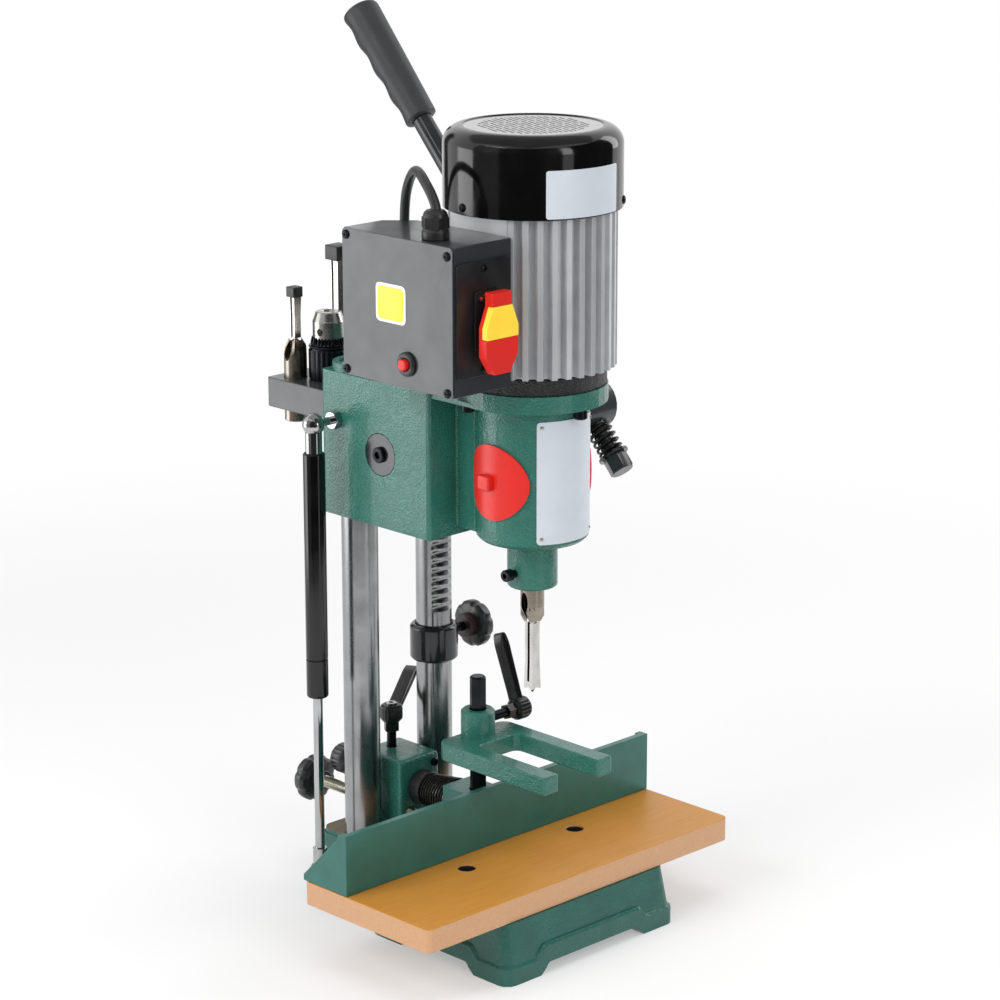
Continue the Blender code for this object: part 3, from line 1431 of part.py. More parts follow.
def make_head():
    """The head casting: a box on the columns, a neck, the chuck housing, its nose and the motor flange."""
    corners = rectangle(-HEAD_HALF_WIDTH, HEAD_HALF_WIDTH, HEAD_FRONT, HEAD_BACK)
    head = prism("head_casting", rounded(corners, HEAD_EDGE, 2), HEAD_LOW, HEAD_TOP)
    housing = turned(
        "head_housing",
        [
            (0, NOSE_LOW),
            (NOSE_RADIUS - NOSE_EDGE, NOSE_LOW),
            (NOSE_RADIUS, NOSE_LOW + NOSE_EDGE),
            (NOSE_RADIUS, HOUSING_LOW),
            (HOUSING_RADIUS - HOUSING_EDGE, HOUSING_LOW),
            (HOUSING_RADIUS, HOUSING_LOW + HOUSING_EDGE),
            (HOUSING_RADIUS, FLANGE_LOW),
            (FLANGE_RADIUS, FLANGE_LOW),
            (FLANGE_RADIUS, FLANGE_TOP),
            (0, FLANGE_TOP),
        ],
        steps=MOTOR_STEPS,
    )
    neck = block(
        "head_neck",
        (-NECK_HALF_WIDTH, 0.0, HOUSING_LOW + HOUSING_EDGE),
        (NECK_HALF_WIDTH, HEAD_FRONT + HEAD_WALL, FLANGE_LOW + OVERRUN / 2),
    )
    web_radius = FLANGE_RADIUS - GAP
    arc = [math.pi + math.pi * i / 12 for i in range(13)]
    web_outline = [(web_radius * math.cos(a), web_radius * math.sin(a)) for a in arc]
    web_outline += [
        (HEAD_HALF_WIDTH - HEAD_EDGE, HEAD_FRONT + HEAD_EDGE),
        (HEAD_EDGE - HEAD_HALF_WIDTH, HEAD_FRONT + HEAD_EDGE),
    ]
    web = prism("head_web", web_outline, FLANGE_LOW + GAP, HEAD_TOP - GAP)
    join(head, housing, neck, web)
    for sign in (-1, 1):
        place = Vector((sign * COLUMN_X, COLUMN_Y, 0.0))
        boss = rod("head_column_boss", COLUMN_BOSS_RADIUS, HEAD_TOP - OVERRUN, COLUMN_BOSS_TOP, place)
        join(head, boss)
    shaft_line = Vector((0.0, SHAFT_Y, SHAFT_HEIGHT))
    boss_end = HEAD_HALF_WIDTH + SHAFT_BOSS_LENGTH
    join(
        head,
        rod(
            "head_shaft_boss", SHAFT_BOSS_RADIUS, HEAD_HALF_WIDTH - HEAD_WALL / 2, boss_end, shaft_line, RIGHT
        ),
    )
    cavity_half = HEAD_HALF_WIDTH - HEAD_WALL
    cavity = block(
        "head_cavity",
        (-cavity_half, HEAD_FRONT + HEAD_WALL, HEAD_LOW + HEAD_FLOOR),
        (cavity_half, HEAD_CAVITY_BACK, HEAD_TOP - HEAD_WALL),
    )
    pinion_room = block(
        "head_pinion_room",
        (COLUMN_X - PINION_ROOM_HALF, HEAD_CAVITY_BACK - OVERRUN, SHAFT_HEIGHT - PINION_ROOM_HEIGHT),
        (COLUMN_X + PINION_ROOM_HALF, COLUMN_Y - COLUMN_RADIUS / 2, SHAFT_HEIGHT + PINION_ROOM_HEIGHT),
    )
    cut(head, cavity, pinion_room)
    for sign in (-1, 1):
        place = Vector((sign * COLUMN_X, COLUMN_Y, 0.0))
        low = HEAD_LOW - OVERRUN
        high = COLUMN_BOSS_TOP + OVERRUN
        cut(head, rod("head_column_bore", COLUMN_RADIUS + GAP, low, high, place, UP, LARGE_STEPS))
    chuck_room = rod(
        "head_chuck_room", HOUSING_BORE, HOUSING_LOW + HOUSING_FLOOR, FLANGE_TOP + OVERRUN, steps=MOTOR_STEPS
    )
    nose_bore = rod(
        "head_nose_bore", SHANK_RADIUS + GAP, NOSE_LOW - OVERRUN, HOUSING_LOW + HOUSING_FLOOR + OVERRUN
    )
    window = rod(
        "head_windows",
        WINDOW_RADIUS,
        -HOUSING_RADIUS - OVERRUN,
        HOUSING_RADIUS + OVERRUN,
        Vector((0.0, 0.0, WINDOW_HEIGHT)),
        RIGHT,
        LARGE_STEPS,
    )
    set_screw_hole = rod(
        "head_set_screw_hole",
        SET_SCREW_RADIUS + GAP,
        -NOSE_RADIUS - OVERRUN,
        -SHANK_RADIUS,
        Vector((0.0, 0.0, SET_SCREW_HEIGHT)),
        RIGHT,
        COARSE_STEPS,
    )
    shaft_bore = rod(
        "head_shaft_bore",
        SHAFT_RADIUS + GAP,
        -HEAD_HALF_WIDTH + PLUG_DEPTH - OVERRUN,
        boss_end + OVERRUN,
        shaft_line,
        RIGHT,
    )
    plug_recess = rod(
        "head_plug_recess",
        PLUG_RADIUS + GAP,
        -HEAD_HALF_WIDTH - OVERRUN,
        -HEAD_HALF_WIDTH + PLUG_DEPTH,
        shaft_line,
        RIGHT,
    )
    stud_hole = rod(
        "head_stud_hole",
        STRUT_STUD_RADIUS + GAP,
        -HEAD_HALF_WIDTH - OVERRUN,
        -HEAD_HALF_WIDTH + STRUT_STUD_DEPTH,
        Vector((0.0, STRUT_Y, STRUT_BALL_HIGH)),
        RIGHT,
        COARSE_STEPS,
    )
    cut(head, chuck_room, nose_bore, window, set_screw_hole, shaft_bore, plug_recess, stud_hole)
    for place in flange_hole_places():
        hole = rod("head_flange_hole", BOLT_RADIUS + GAP, FLANGE_LOW - OVERRUN, FLANGE_TOP + OVERRUN, place)
        cut(head, hole)
    finish(head, "green_enamel", "head_body")


def make_set_screw():
    """The socket screw in the nose that clamps the chisel."""
    seat = -NOSE_RADIUS - SET_SCREW_STANDOFF
    screw = turned(
        "chisel_screw",
        [
            (0, -SHANK_RADIUS - GAP),
            (SET_SCREW_RADIUS, -SHANK_RADIUS - GAP),
            (SET_SCREW_RADIUS, seat),
            (SET_SCREW_HEAD_RADIUS, seat),
            (SET_SCREW_HEAD_RADIUS, seat - SET_SCREW_HEAD),
            (SET_SCREW_HEAD_RADIUS / 2, seat - SET_SCREW_HEAD),
            (SET_SCREW_HEAD_RADIUS / 2, seat - SET_SCREW_HEAD / 2),
            (0, seat - SET_SCREW_HEAD / 2),
        ],
        Vector((0.0, 0.0, SET_SCREW_HEIGHT)),
        RIGHT,
        COARSE_STEPS,
    )
    finish(screw, "dark_steel", "chisel_screw_body")


def make_access_covers():
    """Two round plastic covers that spring over the windows of the chuck housing."""
    for side, sign in (("left", -1), ("right", 1)):
        line = Vector((0.0, 0.0, WINDOW_HEIGHT))
        outer = HOUSING_RADIUS + GAP + COVER_SKIN
        high = WINDOW_HEIGHT + COVER_RADIUS + OVERRUN
        low = WINDOW_HEIGHT - COVER_RADIUS - OVERRUN
        skin = HOUSING_RADIUS + GAP
        plug_in = HOUSING_RADIUS - COVER_PLUG
        plug_out = skin + COVER_SKIN / 2
        near = sign * (HOUSING_BORE / 2)
        far = sign * (outer + OVERRUN)
        cover = turned(
            f"access_cover_{side}",
            [(skin, low), (outer, low), (outer, high), (skin, high)],
            steps=MOTOR_STEPS,
        )
        disc = rod(
            f"cover_disc_{side}", COVER_RADIUS, min(near, far), max(near, far), line, RIGHT, LARGE_STEPS
        )
        plug = turned(
            f"cover_plug_{side}",
            [(plug_in, low), (plug_out, low), (plug_out, high), (plug_in, high)],
            steps=MOTOR_STEPS,
        )
        plug_disc = rod(
            f"cover_plug_disc_{side}",
            WINDOW_RADIUS - GAP,
            min(near, far),
            max(near, far),
            line,
            RIGHT,
            LARGE_STEPS,
        )
        shared(cover, disc)
        shared(plug, plug_disc)
        root = sign * (outer - COVER_SKIN)
        tip = sign * (outer + COVER_TAB_DEPTH)
        middle = -sign * COVER_TAB_OFFSET
        half_width, half_height = COVER_TAB_WIDTH / 2, COVER_TAB_HEIGHT / 2
        corners = rectangle(
            middle - half_width, middle + half_width, WINDOW_HEIGHT - half_height, WINDOW_HEIGHT + half_height
        )
        grip = prism(
            f"cover_tab_{side}", rounded(corners, COVER_TAB_ROUNDING, 2), min(root, tip), max(root, tip), "X"
        )
        join(cover, plug, grip)
        finish(cover, "red_plastic", f"cover_{side}_body")


# Pinion shaft and feed lever


def make_pinion_shaft():
    """The shaft across the head with the gear that meets the rack."""
    start = -HEAD_HALF_WIDTH + PLUG_DEPTH
    end = LEVER_X - LEVER_ROD_RADIUS - SHAFT_END_WALL
    line = Vector((0.0, SHAFT_Y, SHAFT_HEIGHT))
    shaft = rod("pinion_shaft", SHAFT_RADIUS, start, end, line, RIGHT)
    module = RACK_MODULE
    pitch_radius = PINION_PITCH_RADIUS
    base_radius = pitch_radius * math.cos(PRESSURE_ANGLE)
    tip_radius = pitch_radius + ADDENDUM_SHARE * module
    root_radius = pitch_radius - DEDENDUM_SHARE * module
    half_tooth = math.pi / (2 * PINION_TEETH) - BACKLASH / (4 * pitch_radius)

    def half_angle(radius):
        """Half of a tooth's angle at one radius, on an involute flank."""
        opened = math.acos(min(base_radius / radius, 1.0))
        return half_tooth + math.tan(PRESSURE_ANGLE) - PRESSURE_ANGLE - math.tan(opened) + opened

    outline = []
    for tooth in range(PINION_TEETH):
        middle = math.tau * tooth / PINION_TEETH
        levels = [root_radius, pitch_radius, tip_radius]
        flank = [(radius, half_angle(max(radius, base_radius))) for radius in levels]
        spots = [(r, middle - a) for r, a in flank] + [(r, middle + a) for r, a in reversed(flank)]
        outline += [(SHAFT_Y + r * math.cos(a), SHAFT_HEIGHT + r * math.sin(a)) for r, a in spots]
    half_width = PINION_WIDTH / 2
    gear = prism("pinion_gear", outline, COLUMN_X - half_width, COLUMN_X + half_width, "X")
    join(shaft, gear)
    finish(shaft, "turned_steel", "hub_body")


def make_shaft_plug():
    """The disc that closes the left shaft bore, with its socket screw."""
    line = Vector((0.0, SHAFT_Y, SHAFT_HEIGHT))
    face = -HEAD_HALF_WIDTH
    head = face - PLUG_SCREW_LENGTH / 3
    plug = turned(
        "shaft_plug",
        [
            (0, face + PLUG_DEPTH - GAP),
            (PLUG_RADIUS, face + PLUG_DEPTH - GAP),
            (PLUG_RADIUS, face),
            (PLUG_SCREW_RADIUS, face),
            (PLUG_SCREW_RADIUS, head),
            (PLUG_SCREW_RADIUS / 2, head),
            (PLUG_SCREW_RADIUS / 2, face),
            (0, face),
        ],
        line,
        RIGHT,
    )
    finish(plug, "black_satin", "head_body")


def make_lever():
    """The hub on the shaft, the arm that slides through it, the arm's spring and its grip."""
    line = Vector((0.0, SHAFT_Y, SHAFT_HEIGHT))
    near = LEVER_X - LEVER_HUB_HALF_LENGTH
    far = LEVER_X + LEVER_HUB_HALF_LENGTH
    inner = LEVER_HUB_RADIUS - HUB_CHAMFER
    hub = turned(
        "lever_hub",
        [
            (0, near),
            (inner, near),
            (LEVER_HUB_RADIUS, near + HUB_CHAMFER),
            (LEVER_HUB_RADIUS, far - HUB_CHAMFER),
            (inner, far),
            (0, far),
        ],
        line,
        RIGHT,
        LARGE_STEPS,
    )
    shaft_end = LEVER_X - LEVER_ROD_RADIUS - SHAFT_END_WALL + GAP
    reach = LEVER_HUB_RADIUS + OVERRUN
    cut(
        hub,
        rod("hub_shaft_bore", SHAFT_RADIUS + GAP, near - OVERRUN, shaft_end, line, RIGHT),
        rod("hub_arm_bore", LEVER_ROD_RADIUS + GAP, -reach, reach, LEVER_HUB, LEVER_DIRECTION),
    )
    finish(hub, "black_satin", "hub_body")
    shoulder = -LEVER_HUB_RADIUS + LEVER_SHOULDER
    washer = -LEVER_TAIL - LEVER_WASHER
    arm = turned(
        "lever_arm",
        [
            (0, washer),
            (LEVER_WASHER_RADIUS, washer),
            (LEVER_WASHER_RADIUS, -LEVER_TAIL),
            (LEVER_TAIL_RADIUS, -LEVER_TAIL),
            (LEVER_TAIL_RADIUS, shoulder),
            (LEVER_ROD_RADIUS, shoulder),
            (LEVER_ROD_RADIUS, GRIP_END - GRIP_WALL - GAP),
            (0, GRIP_END - GRIP_WALL - GAP),
        ],
        LEVER_HUB,
        LEVER_DIRECTION,
    )
    nut = turned(
        "lever_arm_nut",
        [
            (0, washer - LEVER_HEX),
            (LEVER_HEX_RADIUS * 0.85, washer - LEVER_HEX),
            (LEVER_HEX_RADIUS, washer - LEVER_HEX * 0.9),
            (LEVER_HEX_RADIUS, washer + LEVER_WASHER / 2),
            (0, washer + LEVER_WASHER / 2),
        ],
        LEVER_HUB,
        LEVER_DIRECTION,
        6,
    )
    join(arm, nut)
    finish(arm, "black_satin", "arm_body")
    start = LEVER_HUB - LEVER_DIRECTION * (LEVER_TAIL - GAP)
    end = LEVER_HUB - LEVER_DIRECTION * (LEVER_HUB_RADIUS + GAP)
    points = coil_points(
        start,
        end,
        LEVER_SPRING_RADIUS,
        LEVER_SPRING_RADIUS,
        LEVER_SPRING_WIRE,
        LEVER_SPRING_TURNS,
    )
    report_least_gap("lever_spring", points, LEVER_SPRING_WIRE)
    finish(tube("lever_spring", points, LEVER_SPRING_WIRE, 1), "dark_steel", "hub_body")
    make_grip()


def make_grip():
    """The rubber grip, a hollow sleeve with four shallow finger grooves on its lower side."""
    first, second = across(LEVER_DIRECTION)
    length = GRIP_END - GRIP_START
    count = GRIP_GROOVES * 4
    rings = []
    for row in range(count + 1):
        share = row / count
        body = GRIP_RADIUS_LOW + (GRIP_RADIUS_HIGH - GRIP_RADIUS_LOW) * share
        if row in (0, count):
            body -= GRIP_EDGE
        height = GRIP_START + length * share
        ring = []
        for i in range(ROUND_STEPS):
            angle = math.tau * i / ROUND_STEPS
            lower = max(0.0, -math.copysign(1.0, second.z) * math.sin(angle))
            wave = (1 - math.cos(math.tau * GRIP_GROOVES * share)) / 2
            reach = body - GRIP_GROOVE * wave * lower
            spoke = first * (reach * math.cos(angle)) + second * (reach * math.sin(angle))
            ring.append(LEVER_HUB + LEVER_DIRECTION * height + spoke)
        rings.append(ring)
    grip = loft("lever_grip", rings)
    bore = rod(
        "grip_bore",
        LEVER_ROD_RADIUS + GAP,
        GRIP_START - OVERRUN,
        GRIP_END - GRIP_WALL,
        LEVER_HUB,
        LEVER_DIRECTION,
    )
    cut(grip, bore)
    finish(grip, "grip_rubber", "arm_body")


# Chisel, chuck and bit


def square_ring(half, height, steps=ROUND_STEPS):
    """A square drawn with as many points as a circle, so that the two can be lofted."""
    ring = []
    for i in range(steps):
        angle = math.tau * i / steps
        reach = half / max(abs(math.cos(angle)), abs(math.sin(angle)))
        ring.append(Vector((reach * math.cos(angle), reach * math.sin(angle), height)))
    return ring


def chisel_body(name, place, levels):
    """A chisel's outside from round and square sections. Each level is (square, size, height)."""
    rings = []
    for is_square, size, height in levels:
        ring = square_ring(size, height) if is_square else ring_along(circle(size), height, "Z")
        rings.append([point + place for point in ring])
    return loft(name, rings)


def make_chisel():
    """The square hollow chisel, with its chip window and slot on the left face."""
    chisel = chisel_body(
        "chisel",
        NOWHERE,
        [
            (True, BLADE_HALF + BLADE_FLARE, BLADE_TIP),
            (True, BLADE_HALF, BLADE_TIP + BLADE_FLARE_HEIGHT),
            (True, BLADE_HALF, CONE_LOW),
            (False, SHANK_RADIUS, SHANK_LOW),
            (False, SHANK_RADIUS, SHANK_TOP),
        ],
    )
    low_bore = rod("chisel_bore", BLADE_BORE, BLADE_TIP - OVERRUN, CONE_LOW + OVERRUN, steps=COARSE_STEPS)
    high_bore = rod("chisel_shank_bore", SHANK_BORE, CONE_LOW, SHANK_TOP + OVERRUN, steps=COARSE_STEPS)
    oval = [
        (CHISEL_WINDOW_HALF_WIDTH * math.cos(a), CHISEL_WINDOW_HEIGHT + CHISEL_WINDOW_HALF_HEIGHT * math.sin(a))
        for a in [math.tau * (i + 0.5) / COARSE_STEPS for i in range(COARSE_STEPS)]
    ]
    window = prism("chisel_window", oval, -SHANK_RADIUS - OVERRUN, 0.0, "X")
    slot = block(
        "chisel_slot",
        (-SHANK_RADIUS - OVERRUN, -CHISEL_SLOT_HALF_WIDTH, CHISEL_SLOT_LOW),
        (0.0, CHISEL_SLOT_HALF_WIDTH, CHISEL_SLOT_HIGH),
    )
    mouth = turned(
        "chisel_mouth",
        [(0, BLADE_TIP - OVERRUN), (BLADE_HALF + OVERRUN, BLADE_TIP - OVERRUN), (0, BLADE_TIP + BLADE_HALF)],
        steps=COARSE_STEPS,
    )
    cut(chisel, low_bore, high_bore, window, slot, mouth)
    finish(chisel, "turned_steel", "head_body")


def make_spindle():
    """The parts that turn: the motor's rotor and fan, the chuck and the auger bit."""
    shaft_low = CHUCK_TOP - CHUCK_SOCKET + GAP
    rotor = turned(
        "motor_rotor",
        [
            (0, shaft_low),
            (ROTOR_SHAFT_RADIUS, shaft_low),
            (ROTOR_SHAFT_RADIUS, ROTOR_LOW),
            (ROTOR_RADIUS, ROTOR_LOW),
            (ROTOR_RADIUS, ROTOR_HIGH),
            (ROTOR_SHAFT_RADIUS, ROTOR_HIGH),
            (ROTOR_SHAFT_RADIUS, SHAFT_TOP),
            (0, SHAFT_TOP),
        ],
    )
    finish(rotor, "motor_iron", "spindle_body")
    fan = turned(
        "motor_fan",
        [
            (ROTOR_SHAFT_RADIUS + GAP, FAN_LOW),
            (FAN_RADIUS, FAN_LOW),
            (FAN_RADIUS, FAN_LOW + FAN_PLATE),
            (FAN_HUB_RADIUS, FAN_LOW + FAN_PLATE),
            (FAN_HUB_RADIUS, FAN_LOW + FAN_HEIGHT),
            (ROTOR_SHAFT_RADIUS + GAP, FAN_LOW + FAN_HEIGHT),
        ],
    )
    for number in range(FAN_BLADES):
        angle = math.tau * (number + 0.25) / FAN_BLADES
        blade = block(
            "fan_blade",
            (FAN_HUB_RADIUS - OVERRUN, -FAN_BLADE_HALF, FAN_LOW + FAN_PLATE / 2),
            (FAN_RADIUS - GAP, FAN_BLADE_HALF, FAN_LOW + FAN_HEIGHT - FAN_PLATE),
        )
        blade.rotation_euler.z = angle
        join(fan, blade)
    finish(fan, "fan_plastic", "spindle_body")
    bit_bore = BIT_RADIUS + GAP
    socket = CHUCK_TOP - CHUCK_SOCKET
    chuck = turned(
        "drill_chuck",
        [
            (bit_bore, CHUCK_LOW),
            (CHUCK_NOSE_RADIUS, CHUCK_LOW),
            (CHUCK_RADIUS, CHUCK_JAW_TOP),
            (CHUCK_RADIUS, CHUCK_TOP - CHUCK_CHAMFER),
            (CHUCK_RADIUS - CHUCK_CHAMFER, CHUCK_TOP),
            (ROTOR_SHAFT_RADIUS + GAP, CHUCK_TOP),
            (ROTOR_SHAFT_RADIUS + GAP, socket),
            (bit_bore, socket),
        ],
        steps=LARGE_STEPS,
    )
    finish(chuck, "chrome", "spindle_body")
    make_bit()


def make_bit():
    """The auger bit: a twisted blade below, a round shank above."""
    rings = []
    rows = round((BIT_TWIST_TOP - BIT_TIP - BIT_POINT) / BIT_TWIST_STEP)
    points = 8
    for row in range(rows + 1):
        height = BIT_TIP + BIT_POINT + BIT_TWIST_STEP * row
        turn = math.tau * (height - BIT_TIP) / BIT_PITCH
        ring = []
        for i in range(points):
            angle = math.tau * i / points
            flat = BIT_WEB + (BIT_RADIUS - BIT_WEB) * math.cos(angle) ** 2
            ring.append(Vector((flat * math.cos(angle + turn), flat * math.sin(angle + turn), height)))
        rings.append(ring)
    first = [Vector((point.x * BIT_POINT_SHARE, point.y * BIT_POINT_SHARE, BIT_TIP)) for point in rings[0]]
    last_turn = math.tau * (rings[-1][0].z - BIT_TIP) / BIT_PITCH
    shank = [
        ring_along(circle(BIT_RADIUS, (0, 0), points, last_turn), BIT_TWIST_TOP + BIT_POINT, "Z"),
        ring_along(circle(BIT_RADIUS, (0, 0), points, last_turn), BIT_TOP, "Z"),
    ]
    bit = loft("auger_bit", [first] + rings + shank)
    finish(bit, "turned_steel", "spindle_body")


# Motor


def make_motor():
    """The motor: front bell, finned housing with its stator, rear bell and the cap over the fan."""
    shaft_bore = ROTOR_SHAFT_RADIUS + GAP
    spigot = HOUSING_BORE - GAP
    bell_low = FLANGE_TOP + GAP
    bell_high = bell_low + BELL_HEIGHT
    bell = turned(
        "motor_end_bell",
        [
            (shaft_bore, bell_low - BELL_SPIGOT),
            (spigot, bell_low - BELL_SPIGOT),
            (spigot, bell_low),
            (BELL_RADIUS, bell_low),
            (BELL_RADIUS, bell_high - BELL_CHAMFER),
            (BELL_RADIUS - BELL_CHAMFER, bell_high),
            (shaft_bore, bell_high),
        ],
        steps=MOTOR_STEPS,
    )
    for place in flange_hole_places():
        hole = rod(
            "bell_screw_hole",
            BOLT_RADIUS + GAP,
            bell_low - OVERRUN,
            bell_high - OVERRUN,
            place,
            UP,
            COARSE_STEPS,
        )
        cut(bell, hole)
    finish(bell, "black_texture", "head_body")
    for number, place in enumerate(flange_hole_places(), 1):
        seat = FLANGE_LOW - GAP
        bolt = turned(
            f"flange_bolt_{number}",
            [
                (0, seat - BOLT_HEAD / 2),
                (BOLT_HEAD_RADIUS / 2, seat - BOLT_HEAD / 2),
                (BOLT_HEAD_RADIUS / 2, seat - BOLT_HEAD),
                (BOLT_HEAD_RADIUS, seat - BOLT_HEAD),
                (BOLT_HEAD_RADIUS, seat),
                (BOLT_RADIUS, seat),
                (BOLT_RADIUS, bell_high - OVERRUN - GAP),
                (0, bell_high - OVERRUN - GAP),
            ],
            place,
            UP,
            COARSE_STEPS,
        )
        finish(bolt, "dark_steel", "head_body")
    make_motor_housing(bell_high + GAP)
    stator_radius = MOTOR_BORE - GAP
    stator = turned(
        "motor_stator",
        [
            (STATOR_BORE, STATOR_LOW),
            (stator_radius, STATOR_LOW),
            (stator_radius, STATOR_HIGH),
            (STATOR_BORE, STATOR_HIGH),
        ],
        steps=LARGE_STEPS,
    )
    finish(stator, "copper_winding", "head_body")
    rear_low = MOTOR_TOP + GAP
    cap_inner = CAP_RADIUS - CAP_WALL
    rear = turned(
        "motor_rear_bell",
        [
            (shaft_bore, rear_low - BELL_SPIGOT),
            (stator_radius, rear_low - BELL_SPIGOT),
            (stator_radius, rear_low),
            (cap_inner - GAP, rear_low),
            (cap_inner - GAP, rear_low + REAR_BELL_HEIGHT),
            (shaft_bore, rear_low + REAR_BELL_HEIGHT),
        ],
        steps=MOTOR_STEPS,
    )
    finish(rear, "motor_iron", "head_body")
    shoulder = CAP_RADIUS - CAP_SHOULDER
    inner_shoulder = CAP_SHOULDER + CAP_WALL / 2
    cap = turned(
        "motor_cap",
        [
            (0, CAP_TOP - CAP_WALL),
            (shoulder - CAP_WALL / 2, CAP_TOP - CAP_WALL),
            (cap_inner, CAP_TOP - inner_shoulder),
            (cap_inner, rear_low),
            (CAP_RADIUS, rear_low),
            (CAP_RADIUS, CAP_TOP - CAP_SHOULDER),
            (shoulder, CAP_TOP),
            (0, CAP_TOP),
        ],
        steps=MOTOR_STEPS,
    )
    finish(cap, "black_gloss", "head_body")


def make_motor_housing(low):
    """The finned sleeve, with a flat pad for the switch box and a boss for the motor lead."""
    outline = []
    for number in range(FIN_COUNT):
        for radius, side, share in (
            (FIN_ROOT_RADIUS, -1, FIN_ROOT_SHARE),
            (FIN_RADIUS, -1, FIN_TIP_SHARE),
            (FIN_RADIUS, 1, FIN_TIP_SHARE),
            (FIN_ROOT_RADIUS, 1, FIN_ROOT_SHARE),
        ):
            angle = math.tau * (number + side * share) / FIN_COUNT
            outline.append((radius * math.cos(angle), radius * math.sin(angle)))
    housing = prism("motor_housing", outline, low, MOTOR_TOP)
    reach = FIN_RADIUS + OVERRUN
    clear = block(
        "pad_clear",
        (-reach, -PAD_HALF_WIDTH, low - OVERRUN),
        (PAD_X, PAD_HALF_WIDTH, MOTOR_TOP + OVERRUN),
    )
    pad = block(
        "pad",
        (PAD_X, -PAD_HALF_WIDTH - GAP, low),
        (-MOTOR_BORE + OVERRUN, PAD_HALF_WIDTH + GAP, MOTOR_TOP),
    )
    direction = Vector((math.cos(LEAD_BOSS_ANGLE), math.sin(LEAD_BOSS_ANGLE), 0.0))
    level = Vector((0.0, 0.0, LEAD_BOSS_HEIGHT))
    boss = rod(
        "lead_boss",
        LEAD_BOSS_RADIUS,
        MOTOR_BORE,
        LEAD_BOSS_REACH,
        level,
        direction,
        COARSE_STEPS,
    )
    bore = rod("motor_bore", MOTOR_BORE, low - OVERRUN, MOTOR_TOP + OVERRUN, steps=MOTOR_STEPS)
    cut(housing, clear)
    join(housing, pad, boss)
    cut(housing, bore)
    finish(housing, "cast_aluminium", "head_body")


# Switch box


def box_outline(inset, left):
    """The plan of the switch box, its far corner cut off."""
    corner = BOX_CHAMFER - inset / 2
    return [
        (left, BOX_FRONT + inset),
        (BOX_RIGHT - inset, BOX_FRONT + inset),
        (BOX_RIGHT - inset, BOX_BACK - inset - corner),
        (BOX_RIGHT - inset - corner, BOX_BACK - inset),
        (left, BOX_BACK - inset),
    ]


def make_switch_box():
    """The box on the motor, its cover, the plate on its front, and the glands."""
    open_side = BOX_LEFT + COVER_PLATE + GAP
    box = prism("switch_box", box_outline(0.0, open_side), BOX_LOW, BOX_HIGH)
    inside = box_outline(BOX_WALL, BOX_LEFT - OVERRUN)
    hollow = prism("box_hollow", inside, BOX_LOW + BOX_WALL, BOX_HIGH - BOX_WALL)
    body_half = BEZEL_HALF_WIDTH - BEZEL_LIP + GAP
    body_low = BEZEL_LOW + BEZEL_LIP - GAP
    body_high = BEZEL_HIGH - BEZEL_LIP + GAP
    switch_hole = block(
        "box_switch_hole",
        (SWITCH_X - body_half, BOX_FRONT - OVERRUN, body_low),
        (SWITCH_X + body_half, BOX_FRONT + BOX_WALL + OVERRUN, body_high),
    )
    gland_hole = rod(
        "box_gland_hole",
        GLAND_NECK_RADIUS + GAP,
        BOX_HIGH - BOX_WALL - OVERRUN,
        BOX_HIGH + OVERRUN,
        Vector((GLAND_X, GLAND_Y, 0.0)),
        UP,
        COARSE_STEPS,
    )
    mains_hole = rod(
        "box_mains_hole",
        MAINS_GLAND_RADIUS * 3 / 4 + GAP,
        BOX_BACK - BOX_WALL - OVERRUN,
        BOX_BACK + OVERRUN,
        Vector((MAINS_GLAND_X, 0.0, MAINS_GLAND_HEIGHT)),
        BACKWARD,
        COARSE_STEPS,
    )
    cut(box, hollow, switch_hole, gland_hole, mains_hole)
    finish(box, "black_satin", "head_body")
    corners = rectangle(BOX_FRONT, BOX_BACK, BOX_LOW, BOX_HIGH)
    cover = prism("switch_cover", rounded(corners, BOX_CORNER, 2), BOX_LEFT, BOX_LEFT + COVER_PLATE, "X")
    reset_line = Vector((0.0, RESET_Y, RESET_HEIGHT))
    hole = rod(
        "cover_reset_hole",
        RESET_NECK_RADIUS + GAP,
        BOX_LEFT - OVERRUN,
        BOX_LEFT + COVER_PLATE + OVERRUN,
        reset_line,
        RIGHT,
    )
    cut(cover, hole)
    finish(cover, "black_satin", "head_body")
    plate_back = BOX_FRONT - GAP
    corners = rectangle(
        SWITCH_PLATE_X - SWITCH_PLATE_HALF_WIDTH,
        SWITCH_PLATE_X + SWITCH_PLATE_HALF_WIDTH,
        SWITCH_PLATE_LOW,
        SWITCH_PLATE_HIGH,
    )
    plate = prism("switch_plate", rounded(corners, BOX_CORNER, 2), plate_back - SWITCH_PLATE, plate_back, "Y")
    plate_hole = block(
        "plate_switch_hole",
        (SWITCH_X - body_half, plate_back - SWITCH_PLATE - OVERRUN, body_low),
        (SWITCH_X + body_half, plate_back + OVERRUN, body_high),
    )
    cut(plate, plate_hole)
    finish(plate, "black_plastic", "head_body")
    make_glands()


